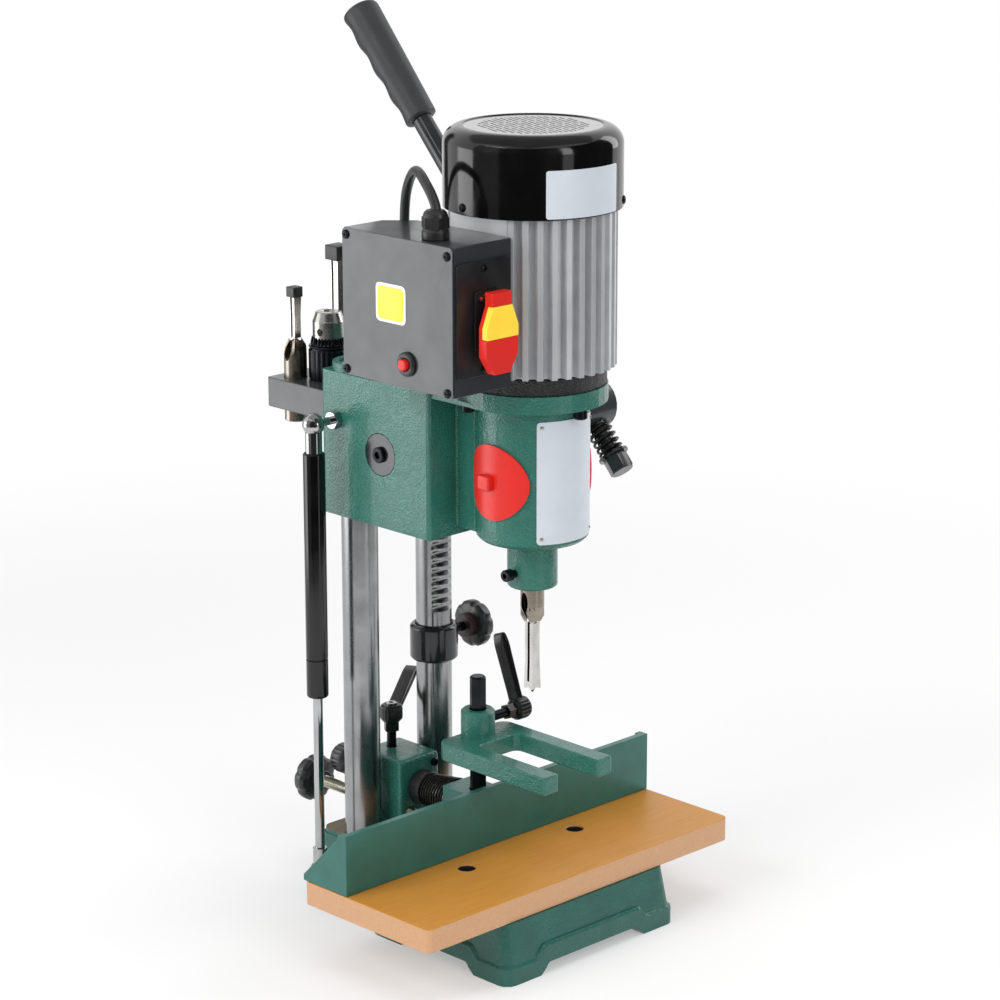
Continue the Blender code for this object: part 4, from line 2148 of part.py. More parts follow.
def make_glands():
    """The gland of the motor lead on top of the box and the gland of the mains cord behind it."""
    base = BOX_HIGH + GAP
    nut = base + GLAND_BASE
    dome = nut + GLAND_NUT
    bore = LEAD_DIAMETER / 2 + GAP
    place = Vector((GLAND_X, GLAND_Y, 0.0))
    gland = turned(
        "lead_gland",
        [
            (bore, BOX_HIGH - BOX_WALL * 2),
            (GLAND_NECK_RADIUS, BOX_HIGH - BOX_WALL * 2),
            (GLAND_NECK_RADIUS, base),
            (GLAND_RADIUS, base),
            (GLAND_RADIUS, nut),
            (GLAND_RADIUS * 0.9, nut + GLAND_NUT / 8),
            (GLAND_RADIUS * 0.9, dome),
            (GLAND_NECK_RADIUS, dome + GLAND_DOME),
            (bore, dome + GLAND_DOME),
        ],
        place,
    )
    hexagon = turned(
        "gland_nut",
        [
            (bore + GAP, nut + GLAND_NUT / 8),
            (GLAND_HEX_RADIUS, nut + GLAND_NUT / 8),
            (GLAND_HEX_RADIUS, dome - GLAND_NUT / 8),
            (bore + GAP, dome - GLAND_NUT / 8),
        ],
        place,
        UP,
        6,
    )
    join(gland, hexagon)
    finish(gland, "black_plastic", "head_body")
    line = Vector((MAINS_GLAND_X, 0.0, MAINS_GLAND_HEIGHT))
    start = BOX_BACK + GAP
    mains = turned(
        "mains_gland",
        [
            (MAINS_GLAND_BORE, BOX_BACK - BOX_WALL * 2),
            (MAINS_GLAND_RADIUS * 3 / 4, BOX_BACK - BOX_WALL * 2),
            (MAINS_GLAND_RADIUS * 3 / 4, start),
            (MAINS_GLAND_RADIUS, start),
            (MAINS_GLAND_RADIUS, start + MAINS_GLAND_LENGTH * 2 / 3),
            (MAINS_GLAND_RADIUS * 3 / 4, start + MAINS_GLAND_LENGTH),
            (MAINS_GLAND_BORE, start + MAINS_GLAND_LENGTH),
        ],
        line,
        BACKWARD,
        COARSE_STEPS,
    )
    finish(mains, "black_plastic", "head_body")


def lead_points():
    """The way of the motor lead: up out of its gland, over, and down behind the box to the motor."""
    inside = GLAND_BASE + BOX_HIGH
    top = BOX_HIGH + GLAND_BASE + GLAND_NUT + GLAND_DOME + LEAD_STRAIGHT / 4
    direction = Vector((math.cos(LEAD_BOSS_ANGLE), math.sin(LEAD_BOSS_ANGLE), 0.0))
    level = Vector((0.0, 0.0, LEAD_BOSS_HEIGHT))
    end = level + direction * (LEAD_BOSS_REACH + GAP)
    before = level + direction * (LEAD_BOSS_REACH + LEAD_STRAIGHT)
    start = Vector((GLAND_X, GLAND_Y, top))
    places = [start]
    for along, outwards, up in LEAD_WAY_SHARES:
        x = start.x + (before.x - start.x) * along
        y = start.y + (before.y - start.y) * outwards
        places.append(Vector((x, y, before.z + (start.z - before.z) * up)))
    places.append(before)
    straight = [Vector((GLAND_X, GLAND_Y, inside)), Vector((GLAND_X, GLAND_Y, top - GLAND_DOME / 2))]
    return straight + smooth_route(places, LEAD_POINTS) + [end]


def make_motor_lead():
    """The lead from the switch box to the motor."""
    lead = tube("motor_lead", lead_points(), LEAD_DIAMETER, 2)
    finish(lead, "cable_jacket", "head_body")


def make_switch():
    """The switch: its body in the box, the red paddle on two stub pivots and the yellow key."""
    plate_front = BOX_FRONT - GAP - SWITCH_PLATE
    flange_back = plate_front - GAP
    flange_front = flange_back - BEZEL_PROUD
    body = block(
        "switch_body",
        (SWITCH_X - BEZEL_HALF_WIDTH + BEZEL_LIP, flange_back - BEZEL_PROUD / 2, BEZEL_LOW + BEZEL_LIP),
        (SWITCH_X + BEZEL_HALF_WIDTH - BEZEL_LIP, flange_back + SWITCH_DEPTH, BEZEL_HIGH - BEZEL_LIP),
    )
    flange = block(
        "switch_flange",
        (SWITCH_X - BEZEL_HALF_WIDTH, flange_front, BEZEL_LOW),
        (SWITCH_X + BEZEL_HALF_WIDTH, flange_back, BEZEL_HIGH),
    )
    join(body, flange)
    pivot_line = Vector((SWITCH_X, PADDLE_PIVOT.y, PADDLE_PIVOT.z))
    for sign in (-1, 1):
        near = PADDLE_TIP_HALF_WIDTH + GAP
        far = near + PIVOT_LUG
        lug = block(
            "switch_lug",
            (SWITCH_X + min(sign * near, sign * far), PADDLE_PIVOT.y - PADDLE_ROOT, PADDLE_PIVOT.z - PADDLE_ROOT),
            (
                SWITCH_X + max(sign * near, sign * far),
                flange_front + BEZEL_PROUD / 2,
                PADDLE_PIVOT.z + PADDLE_ROOT,
            ),
        )
        join(body, lug)
    reach = PADDLE_TIP_HALF_WIDTH + PIVOT_LUG + OVERRUN
    cut(body, rod("pivot_hole", PIVOT_PIN + GAP, -reach, reach, pivot_line, RIGHT, COARSE_STEPS))
    finish(body, "black_plastic", "head_body")
    make_paddle(pivot_line)
    line = Vector((0.0, RESET_Y, RESET_HEIGHT))
    face = BOX_LEFT - GAP
    bore = RESET_BUTTON_RADIUS + GAP
    bezel = turned(
        "reset_bezel",
        [
            (bore, face - RESET_BEZEL),
            (RESET_BEZEL_RADIUS * 4 / 5, face - RESET_BEZEL),
            (RESET_BEZEL_RADIUS, face - RESET_BEZEL / 2),
            (RESET_BEZEL_RADIUS, face),
            (RESET_NECK_RADIUS, face),
            (RESET_NECK_RADIUS, face + RESET_NECK_LENGTH),
            (bore, face + RESET_NECK_LENGTH),
        ],
        line,
        RIGHT,
    )
    finish(bezel, "black_plastic", "head_body")
    tip = face - RESET_BEZEL - RESET_BUTTON_PROUD
    button = chamfered_rod(
        "reset_button",
        RESET_BUTTON_RADIUS,
        tip,
        tip + RESET_BUTTON_LENGTH,
        GAP * 2,
        line,
        RIGHT,
        COARSE_STEPS,
    )
    finish(button, "red_plastic", "reset_body")


def make_paddle(pivot_line):
    """The paddle and the key that stands between its hood and its lower part."""
    shoulder = PADDLE_KEY_SHOULDER
    outline = [
        (-PADDLE_TIP_HALF_WIDTH, PADDLE_LOW),
        (PADDLE_TIP_HALF_WIDTH, PADDLE_LOW),
        (PADDLE_HALF_WIDTH, PADDLE_LOW + PADDLE_CHAMFER_HEIGHT),
        (PADDLE_HALF_WIDTH, shoulder),
        (PADDLE_HOOD_HALF_WIDTH, PADDLE_KEY_HIGH),
        (PADDLE_HOOD_HALF_WIDTH, PADDLE_HIGH),
        (-PADDLE_HOOD_HALF_WIDTH, PADDLE_HIGH),
        (-PADDLE_HOOD_HALF_WIDTH, PADDLE_KEY_HIGH),
        (-PADDLE_HALF_WIDTH, shoulder),
        (-PADDLE_HALF_WIDTH, PADDLE_LOW + PADDLE_CHAMFER_HEIGHT),
    ]
    placed = [(SWITCH_X + x, z) for x, z in outline]
    paddle = prism("switch_paddle", placed, PADDLE_FRONT, PADDLE_BACK, "Y")
    web_front = PADDLE_BACK - PADDLE_WEB
    reach = PADDLE_HALF_WIDTH + OVERRUN
    cut(
        paddle,
        block(
            "paddle_key_room",
            (SWITCH_X - reach, PADDLE_FRONT - OVERRUN, PADDLE_KEY_LOW),
            (SWITCH_X + reach, web_front, PADDLE_KEY_HIGH),
        ),
    )
    root = block(
        "paddle_root",
        (SWITCH_X - PADDLE_TIP_HALF_WIDTH, PADDLE_BACK - PADDLE_WEB / 2, PADDLE_PIVOT.z - PADDLE_ROOT * 2 / 3),
        (SWITCH_X + PADDLE_TIP_HALF_WIDTH, PADDLE_PIVOT.y, PADDLE_PIVOT.z + PADDLE_ROOT * 2 / 3),
    )
    barrel_half = PADDLE_TIP_HALF_WIDTH
    pin_half = barrel_half + GAP + PIVOT_LUG
    barrel = rod("paddle_barrel", PADDLE_ROOT, -barrel_half, barrel_half, pivot_line, RIGHT, COARSE_STEPS)
    pin = rod("paddle_pin", PIVOT_PIN, -pin_half, pin_half, pivot_line, RIGHT, COARSE_STEPS)
    join(paddle, root, barrel, pin)
    finish(paddle, "red_plastic", "paddle_body")
    slope = (PADDLE_HALF_WIDTH - PADDLE_HOOD_HALF_WIDTH) / (PADDLE_KEY_HIGH - shoulder)
    key_high = PADDLE_KEY_HIGH - GAP
    top_half = PADDLE_HOOD_HALF_WIDTH + GAP * slope
    key_outline = [
        (-PADDLE_HALF_WIDTH, PADDLE_KEY_LOW + GAP),
        (PADDLE_HALF_WIDTH, PADDLE_KEY_LOW + GAP),
        (PADDLE_HALF_WIDTH, shoulder),
        (top_half, key_high),
        (-top_half, key_high),
        (-PADDLE_HALF_WIDTH, shoulder),
    ]
    placed = [(SWITCH_X + x, z) for x, z in key_outline]
    key = prism("switch_key", placed, PADDLE_FRONT - KEY_PROUD, web_front - GAP, "Y")
    finish(key, "yellow_plastic", "key_body")


# Gas strut


def ball_stud(name, height, seat):
    """A ball on a short neck, its nut against a face, and the end of its thread in the hole behind."""
    line = Vector((0.0, STRUT_Y, height))
    centre = Vector((STRUT_X, STRUT_Y, height))
    stud = ball(name, STRUT_BALL_RADIUS, centre)
    nut_start = seat - GAP - STRUT_NUT
    neck = rod(
        name + "_neck",
        STRUT_NECK_RADIUS,
        STRUT_X + STRUT_NECK_RADIUS,
        nut_start + OVERRUN / 4,
        line,
        RIGHT,
        COARSE_STEPS,
    )
    nut = rod(name + "_nut", STRUT_NUT_RADIUS, nut_start, seat - GAP, line, RIGHT, 6)
    end = -HEAD_HALF_WIDTH + STRUT_STUD_DEPTH - GAP
    thread = rod(name + "_thread", STRUT_STUD_RADIUS, seat - STRUT_NUT / 2, end, line, RIGHT, COARSE_STEPS)
    join(stud, neck, nut, thread)
    return stud


def socket_cuts(target, height):
    """Cut the round seat and its mouth for a ball stud."""
    centre = Vector((STRUT_X, STRUT_Y, height))
    seat = ball("socket_seat", STRUT_BALL_RADIUS + STRUT_SOCKET_CLEARANCE, centre)
    mouth = rod(
        "socket_mouth",
        STRUT_NECK_RADIUS + 3 * STRUT_SOCKET_CLEARANCE,
        0.0,
        STRUT_SOCKET_RADIUS + OVERRUN,
        centre,
        RIGHT,
        COARSE_STEPS,
    )
    cut(target, seat, mouth)


def make_strut():
    """The gas strut that carries the head: cylinder above, rod below, a ball joint at each end."""
    upper = ball_stud("strut_stud_upper", STRUT_BALL_HIGH, -HEAD_HALF_WIDTH)
    finish(upper, "chrome", "head_body")
    lower = ball_stud("strut_stud_lower", STRUT_BALL_LOW, -BLOCK_HALF_WIDTH + STRUT_FACING)
    finish(lower, "chrome", "base_body")
    place = Vector((STRUT_X, STRUT_Y, 0.0))
    inner = STRUT_TUBE_RADIUS - STRUT_END_ROUND
    cylinder = turned(
        "strut_cylinder",
        [
            (0, STRUT_TUBE_TOP - OVERRUN),
            (STRUT_TUBE_BORE, STRUT_TUBE_TOP - OVERRUN),
            (STRUT_TUBE_BORE, STRUT_TUBE_LOW + OVERRUN),
            (STRUT_ROD_RADIUS + GAP, STRUT_TUBE_LOW + OVERRUN),
            (STRUT_ROD_RADIUS + GAP, STRUT_TUBE_LOW),
            (inner, STRUT_TUBE_LOW),
            (STRUT_TUBE_RADIUS, STRUT_TUBE_LOW + STRUT_END_ROUND),
            (STRUT_TUBE_RADIUS, STRUT_GROOVE_HEIGHT - STRUT_GROOVE),
            (STRUT_TUBE_RADIUS - STRUT_GROOVE, STRUT_GROOVE_HEIGHT),
            (STRUT_TUBE_RADIUS, STRUT_GROOVE_HEIGHT + STRUT_GROOVE),
            (STRUT_TUBE_RADIUS, STRUT_TUBE_TOP - STRUT_END_ROUND),
            (STRUT_FITTING_RADIUS, STRUT_TUBE_TOP),
            (STRUT_FITTING_RADIUS, STRUT_BALL_HIGH - STRUT_BALL_RADIUS),
            (0, STRUT_BALL_HIGH - STRUT_BALL_RADIUS),
        ],
        place,
    )
    upper_ball = Vector((STRUT_X, STRUT_Y, STRUT_BALL_HIGH))
    join(cylinder, ball("strut_socket_upper", STRUT_SOCKET_RADIUS, upper_ball))
    socket_cuts(cylinder, STRUT_BALL_HIGH)
    finish(cylinder, "black_gloss", "head_body")
    piston = STRUT_TUBE_BORE - GAP
    strut_rod = turned(
        "strut_rod",
        [
            (0, STRUT_BALL_LOW + STRUT_BALL_RADIUS),
            (STRUT_ROD_FITTING_RADIUS, STRUT_BALL_LOW + STRUT_BALL_RADIUS),
            (STRUT_ROD_FITTING_RADIUS, STRUT_ROD_FITTING_TOP),
            (STRUT_ROD_RADIUS, STRUT_ROD_FITTING_TOP),
            (STRUT_ROD_RADIUS, STRUT_ROD_TOP - STRUT_PISTON),
            (piston, STRUT_ROD_TOP - STRUT_PISTON),
            (piston, STRUT_ROD_TOP),
            (0, STRUT_ROD_TOP),
        ],
        place,
    )
    lower_ball = Vector((STRUT_X, STRUT_Y, STRUT_BALL_LOW))
    join(strut_rod, ball("strut_socket_lower", STRUT_SOCKET_RADIUS, lower_ball))
    socket_cuts(strut_rod, STRUT_BALL_LOW)
    finish(strut_rod, "chrome", "base_body")


# Tool holder and the spare tools


def make_spare_chisel(name, place, blade_half, cap_half, cap_low, cap_top):
    """A spare chisel upside down in the holder, with a plastic cap over its edge."""
    chisel = chisel_body(
        name,
        Vector((*place, 0.0)),
        [
            (False, SHANK_RADIUS, SPARE_SHANK_LOW),
            (False, SHANK_RADIUS, SPARE_SHANK_HIGH),
            (True, blade_half, SPARE_CONE_HIGH),
            (True, blade_half, cap_low),
            (True, cap_half, cap_low),
            (True, cap_half, cap_top),
        ],
    )
    finish(chisel, "turned_steel", "head_body")


def make_tool_holder():
    """The block behind the head, with a spare chuck and two spare chisels standing in it."""
    low_y = HEAD_BACK + GAP
    corners = rectangle(-HOLDER_HALF_WIDTH, HOLDER_HALF_WIDTH, low_y, HOLDER_BACK)
    holder = prism("tool_holder", rounded(corners, HOLDER_EDGE, 2), HOLDER_LOW, HOLDER_HIGH)
    for place, radius in (
        (SMALL_CHISEL_PLACE, SHANK_RADIUS),
        (LARGE_CHISEL_PLACE, SHANK_RADIUS),
        (SPARE_CHUCK_PLACE, SPARE_ARBOR_RADIUS),
    ):
        hole = rod(
            "holder_hole",
            radius + GAP,
            HOLDER_LOW - OVERRUN,
            HOLDER_HIGH + OVERRUN,
            Vector((*place, 0.0)),
        )
        cut(holder, hole)
    finish(holder, "black_satin", "head_body")
    make_spare_chisel(
        "spare_chisel_small",
        SMALL_CHISEL_PLACE,
        SMALL_BLADE_HALF,
        SMALL_CAP_HALF,
        SMALL_CAP_TOP - SMALL_CAP_HEIGHT,
        SMALL_CAP_TOP,
    )
    make_spare_chisel(
        "spare_chisel_large",
        LARGE_CHISEL_PLACE,
        LARGE_BLADE_HALF,
        LARGE_CAP_HALF,
        LARGE_CAP_TOP - LARGE_CAP_HEIGHT,
        LARGE_CAP_TOP,
    )
    chuck = turned(
        "spare_chuck",
        [
            (0, SPARE_SHANK_LOW),
            (SPARE_ARBOR_RADIUS, SPARE_SHANK_LOW),
            (SPARE_ARBOR_RADIUS, HOLDER_HIGH + GAP),
            (SPARE_CHUCK_RADIUS, HOLDER_HIGH + GAP),
            (SPARE_CHUCK_RADIUS, SPARE_CHUCK_SLEEVE_TOP),
            (SPARE_CHUCK_UPPER_RADIUS, SPARE_CHUCK_SLEEVE_TOP),
            (SPARE_CHUCK_UPPER_RADIUS, SPARE_CHUCK_RING_TOP),
            (SPARE_CHUCK_TOP_RADIUS, SPARE_CHUCK_CONE_TOP),
            (SPARE_CHUCK_TOP_RADIUS / 3, SPARE_CHUCK_CONE_TOP),
            (SPARE_CHUCK_TOP_RADIUS / 3, SPARE_CHUCK_RING_TOP),
            (0, SPARE_CHUCK_RING_TOP),
        ],
        Vector((*SPARE_CHUCK_PLACE, 0.0)),
        UP,
        LARGE_STEPS,
    )
    finish(chuck, "chrome", "head_body")


# The whole machine


def main():
    """Build every piece and hang it on what carries it."""
    clear_scene()
    make_materials()
    make_carriers()
    make_base()
    make_table()
    make_columns()
    make_fence()
    make_fence_bar()
    make_bracket()
    make_adjuster()
    make_fence_lock()
    make_hold_down()
    make_depth_stop()
    make_head()
    make_set_screw()
    make_access_covers()
    make_pinion_shaft()
    make_shaft_plug()
    make_lever()
    make_chisel()
    make_spindle()
    make_motor()
    make_switch_box()
    make_motor_lead()
    make_switch()
    make_strut()
    make_tool_holder()


main()
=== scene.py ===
"""The looks of a bench mortising machine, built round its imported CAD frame.

Lengths are metres. Every shape is drawn in the machine's own frame, with x 0 on the centre plane, y 0 on the
spindle axis and z 0 on the bench, and ROW_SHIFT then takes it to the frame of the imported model.
"""

import logging
import math
from collections.abc import Sequence
from dataclasses import dataclass
from enum import Enum
from typing import Any

import bmesh
import bpy
import numpy as np
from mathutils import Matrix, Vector
from mathutils.geometry import delaunay_2d_cdt

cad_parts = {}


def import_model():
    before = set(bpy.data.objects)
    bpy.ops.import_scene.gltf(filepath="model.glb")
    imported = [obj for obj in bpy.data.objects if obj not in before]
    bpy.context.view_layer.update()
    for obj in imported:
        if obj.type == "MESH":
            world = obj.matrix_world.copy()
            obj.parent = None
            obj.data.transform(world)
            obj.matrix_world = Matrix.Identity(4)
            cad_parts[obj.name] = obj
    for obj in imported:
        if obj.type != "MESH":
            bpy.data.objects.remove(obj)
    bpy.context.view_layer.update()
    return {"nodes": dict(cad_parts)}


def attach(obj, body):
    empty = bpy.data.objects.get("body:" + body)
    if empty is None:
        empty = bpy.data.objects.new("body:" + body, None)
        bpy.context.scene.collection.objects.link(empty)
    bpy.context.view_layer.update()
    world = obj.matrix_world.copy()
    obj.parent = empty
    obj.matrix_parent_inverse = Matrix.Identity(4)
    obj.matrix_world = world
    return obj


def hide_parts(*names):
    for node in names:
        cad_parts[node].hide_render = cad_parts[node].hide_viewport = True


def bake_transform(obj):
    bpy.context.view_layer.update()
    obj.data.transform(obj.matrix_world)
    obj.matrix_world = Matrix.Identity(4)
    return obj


Array = np.ndarray
Level = tuple[float, float, "Section"]

LOG = logging.getLogger("mortiser")
ROW_SHIFT = np.array((-0.00975, -0.1654555, 0.0))
TURN = 2 * math.pi
ORIGIN = np.zeros(3)
PLAN = np.eye(3)
SIDE = PLAN[[1, 2, 0]]
FRONT = PLAN[[0, 2, 1]]
LEFTWARD = SIDE * np.array(((1,), (1,), (-1,)))
FORWARD = FRONT * np.array(((1,), (1,), (-1,)))
DOWNWARD = PLAN * np.array(((1,), (1,), (-1,)))
CREASE = math.radians(32)
FLATNESS = math.radians(0.05)
MERGE = 1e-6


# Shapes


class Section(Enum):
    """The outline of a level of a loft."""

    ROUND = "round"
    HEXAGON = "hexagon"
    SQUARE = "square"
    CROSS = "cross"
    LOBES = "lobes"
    KNURL = "knurl"
    TEETH = "teeth"

    def reach(self, angle: Array) -> Array:
        """The distance of the outline from its centre for a size of 1, in each direction.

        Args:
            angle: Directions, in radians.

        Returns:
            A circle is 1 all round. A hexagon or square is its half width over the cosine of the angle from the
            nearest flat. A cross is the union of two bars. Lobes, knurls and teeth are a cosine wave on a circle.
        """
        if self is Section.HEXAGON:
            sixth = TURN / 6
            return np.cos(sixth / 2) / np.cos(np.mod(angle, sixth) - sixth / 2)
        if self is Section.SQUARE:
            return 1 / np.maximum(np.abs(np.cos(angle)), np.abs(np.sin(angle)))
        if self is Section.CROSS:
            bar_share = 0.24
            nearest = np.minimum(np.abs(np.cos(angle)), np.abs(np.sin(angle)))
            return np.minimum(1.0, bar_share / np.maximum(nearest, bar_share))
        if self is Section.LOBES:
            return 1 - 0.07 * np.clip(np.cos(7 * angle), 0, 1) ** 3
        if self is Section.KNURL:
            return 1 + 0.02 * (np.cos(24 * angle) - 1)
        if self is Section.TEETH:
            return 1 + 0.055 * (np.clip(1.6 * np.cos(30 * angle), -1, 1) - 1)
        return np.ones_like(angle)


@dataclass
class Shell:
    """Points and faces that close a surface. Shells can be added up into one piece."""

    points: Array
    faces: list[list[int]]

    def __add__(self, other: "Shell") -> "Shell":
        """Both shells, as one."""
        start = len(self.points)
        moved = [[start + i for i in face] for face in other.faces]
        return Shell(np.vstack((self.points, other.points)), self.faces + moved)


def stack(rings: Array, looped: bool = False) -> Shell:
    """A skin over rings of points, each joined to the next.

    Args:
        rings: Points as rows of rings, shaped (rows, columns, 3).
        looped: True where the last ring joins the first. Otherwise both ends are closed by a face.

    Returns:
        The closed shell.
    """
    rows, columns = rings.shape[:2]
    index = np.arange(rows * columns).reshape(rows, columns)
    low = index if looped else index[:-1]
    high = np.roll(index, -1, 0) if looped else index[1:]
    quads = np.stack((low, np.roll(low, -1, 1), np.roll(high, -1, 1), high), -1)
    faces = quads.reshape(-1, 4).tolist()
    if not looped:
        faces += [index[0, ::-1].tolist(), index[-1].tolist()]
    return Shell(rings.reshape(-1, 3), faces)


def eased(points: Sequence | Array, radius: float | Array, closed: bool = False, steps: int = 4) -> Array:
    """A polyline with its corners rounded.

    Each corner becomes a quadratic curve that starts and ends radius away from it, or halfway along a short side.

    Args:
        points: Corners, shaped (corners, 2).
        radius: How far from a corner its curve starts, for all corners or for each.
        closed: True where the last corner joins the first.
        steps: Points on each curve, less one.

    Returns:
        The points of the rounded line.
    """
    corner = np.asarray(points, float)
    before, after = np.roll(corner, 1, 0), np.roll(corner, -1, 0)
    if not closed:
        before[0], after[-1] = corner[0], corner[-1]
    reach = np.broadcast_to(np.asarray(radius, float), len(corner))[:, None]
    back, ahead = before - corner, after - corner
    back_length = np.maximum(np.linalg.norm(back, axis=1, keepdims=True), 1e-12)
    ahead_length = np.maximum(np.linalg.norm(ahead, axis=1, keepdims=True), 1e-12)
    start = corner + back * np.minimum(reach / back_length, 0.5)
    end = corner + ahead * np.minimum(reach / ahead_length, 0.5)
    if not closed:
        start[0] = end[0] = corner[0]
        start[-1] = end[-1] = corner[-1]
    t = np.linspace(0, 1, steps + 1)[None, :, None]
    curve = (1 - t) ** 2 * start[:, None] + 2 * t * (1 - t) * corner[:, None] + t**2 * end[:, None]
    return curve.reshape(-1, 2)


def rectangle(low_a: float, high_a: float, low_b: float, high_b: float) -> Array:
    """The corners of a rectangle, anticlockwise."""
    return np.array(((low_a, low_b), (high_a, low_b), (high_a, high_b), (low_a, high_b)))


def placed(spot: Array, axes: Array, a: Array, b: Array, c: Array) -> Array:
    """Points at a, b and c along the three axes from a spot."""
    return spot + a[..., None] * axes[0] + b[..., None] * axes[1] + c[..., None] * axes[2]


def loft(levels: Sequence[Level], axes: Array = PLAN, spot: Array = ORIGIN, steps: int = 48) -> Shell:
    """A closed skin over sections on one axis: each point is its level's size times the outline's reach.

    Args:
        levels: (height, size, section) of each level, from one end to the other.
        axes: Three directions, the last of which is the axis.
        spot: The point of the axis at height 0.
        steps: Points round each level.

    Returns:
        The shell.
    """
    angle = np.linspace(0, TURN, steps, endpoint=False)
    reach = np.stack([size * section.reach(angle) for _, size, section in levels])
    height = np.array([height for height, _, _ in levels])[:, None] + 0 * reach
    return stack(placed(np.asarray(spot, float), axes, reach * np.cos(angle), reach * np.sin(angle), height))


def turn(
    profile: Array | Sequence,
    axes: Array = PLAN,
    spot: Array | Sequence[float] = ORIGIN,
    steps: int = 72,
    looped: bool = False,
) -> Shell:
    """A profile of (radius, height) carried once round an axis.

    Args:
        profile: The profile's points, from one end of the axis to the other, or round a closed section.
        axes: Three directions, the last of which is the axis.
        spot: The point of the axis at height 0.
        steps: Points round the axis.
        looped: True for a ring whose section is closed.

    Returns:
        The shell.
    """
    line = np.asarray(profile, float)
    angle = np.linspace(0, TURN, steps, endpoint=False)
    radius, height = line[:, :1] + 0 * angle, line[:, 1:] + 0 * angle
    rings = placed(np.asarray(spot, float), axes, radius * np.cos(angle), radius * np.sin(angle), height)
    return stack(rings, looped)


def inset(outline: Array, depth: Array) -> Array:
    """An anticlockwise outline moved inwards.

    Each point goes along the sum of its two sides' normals, over one plus their product, times the depth.

    Args:
        outline: Points, shaped (points, 2).
        depth: How far, for each copy.

    Returns:
        The outlines, shaped (copies, points, 2).
    """
    side = np.roll(outline, -1, 0) - outline
    length = np.maximum(np.linalg.norm(side, axis=1, keepdims=True), 1e-12)
    normal = np.stack((-side[:, 1], side[:, 0]), 1) / length
    previous = np.roll(normal, 1, 0)
    share = 1 + (normal * previous).sum(1, keepdims=True)
    return outline + depth[:, None, None] * (normal + previous) / np.maximum(share, 0.2)


def plate(
    outline: Array,
    low: float,
    high: float,
    edge: float,
    axes: Array = PLAN,
    spot: Array = ORIGIN,
    dish: float = 0.0,
) -> Shell:
    """A flat shape with a thickness, its rims a quarter circle in section.

    Args:
        outline: The outline, anticlockwise.
        low: Where it starts along the third axis.
        high: Where it ends.
        edge: The radius of the rims.
        axes: The outline's two directions and that of the thickness.
        spot: The point that the outline is measured from.
        dish: How deep both faces are sunk inside a rim twice as wide, or 0.

    Returns:
        The shell.
    """
    bend = np.linspace(0, math.pi / 2, 4)
    depth = edge * (1 - np.sin(bend))
    rise = edge * (1 - np.cos(bend))
    if dish:
        depth = np.concatenate(((edge + dish * 1.6, edge + dish), depth))
        rise = np.concatenate(((dish, 0.0), rise))
    depth = np.concatenate((depth, depth[::-1]))
    height = np.concatenate((low + rise, (high - rise)[::-1]))
    rings = inset(outline, depth)
    heights = height[:, None] + 0 * rings[..., 0]
    return stack(placed(np.asarray(spot, float), axes, rings[..., 0], rings[..., 1], heights))


def punched(outline: Array, holes: Sequence[Array], low: float, high: float) -> Shell:
    """A level sheet with holes: both faces are one Delaunay mesh of all outlines, and walls join them.

    Args:
        outline: The sheet's outline, anticlockwise, in x and y.
        holes: The holes' outlines, anticlockwise.
        low: The height of the lower face.
        high: The height of the upper face.

    Returns:
        The shell.
    """
    loops = [outline, *holes]
    ends = np.cumsum([len(loop) for loop in loops])
    rings = [list(range(end - len(loop), end)) for loop, end in zip(loops, ends, strict=True)]
    flat = np.vstack(loops)
    edges = [pair for ring in rings for pair in zip(ring, ring[1:] + ring[:1], strict=True)]
    found = delaunay_2d_cdt([Vector(spot) for spot in flat.tolist()], edges, rings, 1, 1e-7)
    count = len(flat)
    faces = []
    for face, owners in zip(found[2], found[5], strict=True):
        if owners == [0]:
            faces.append([count + i for i in face])
            faces.append(list(face)[::-1])
    for ring in rings:
        sign = 1 if ring[0] == 0 else -1
        for a, b in zip(ring, ring[1:] + ring[:1], strict=True):
            faces.append([a, b, count + b, count + a][::sign])
    level = np.repeat((low, high), count)[:, None]
    return Shell(np.hstack((np.vstack((flat, flat)), level)), faces)


def sweep(path: Array, radius: float | Array, reference: Sequence[float], sides: int = 14) -> Shell:
    """A round section carried along a path.

    Each circle stands across the path's direction there, from the cross product of that and a fixed direction.

    Args:
        path: Points, shaped (points, 3).
        radius: The section's radius, for all points or for each.
        reference: A direction that the path never takes.
        sides: Points round the section.

    Returns:
        The shell, its ends closed.
    """
    tangent = np.gradient(path, axis=0)
    tangent /= np.linalg.norm(tangent, axis=1, keepdims=True)
    across = np.cross(tangent, np.asarray(reference, float))
    across /= np.linalg.norm(across, axis=1, keepdims=True)
    over = np.cross(across, tangent)
    angle = np.linspace(0, TURN, sides, endpoint=False)[None, :, None]
    size = np.broadcast_to(np.asarray(radius, float), len(path))[:, None, None]
    return stack(path[:, None] + size * (np.cos(angle) * across[:, None] + np.sin(angle) * over[:, None]))


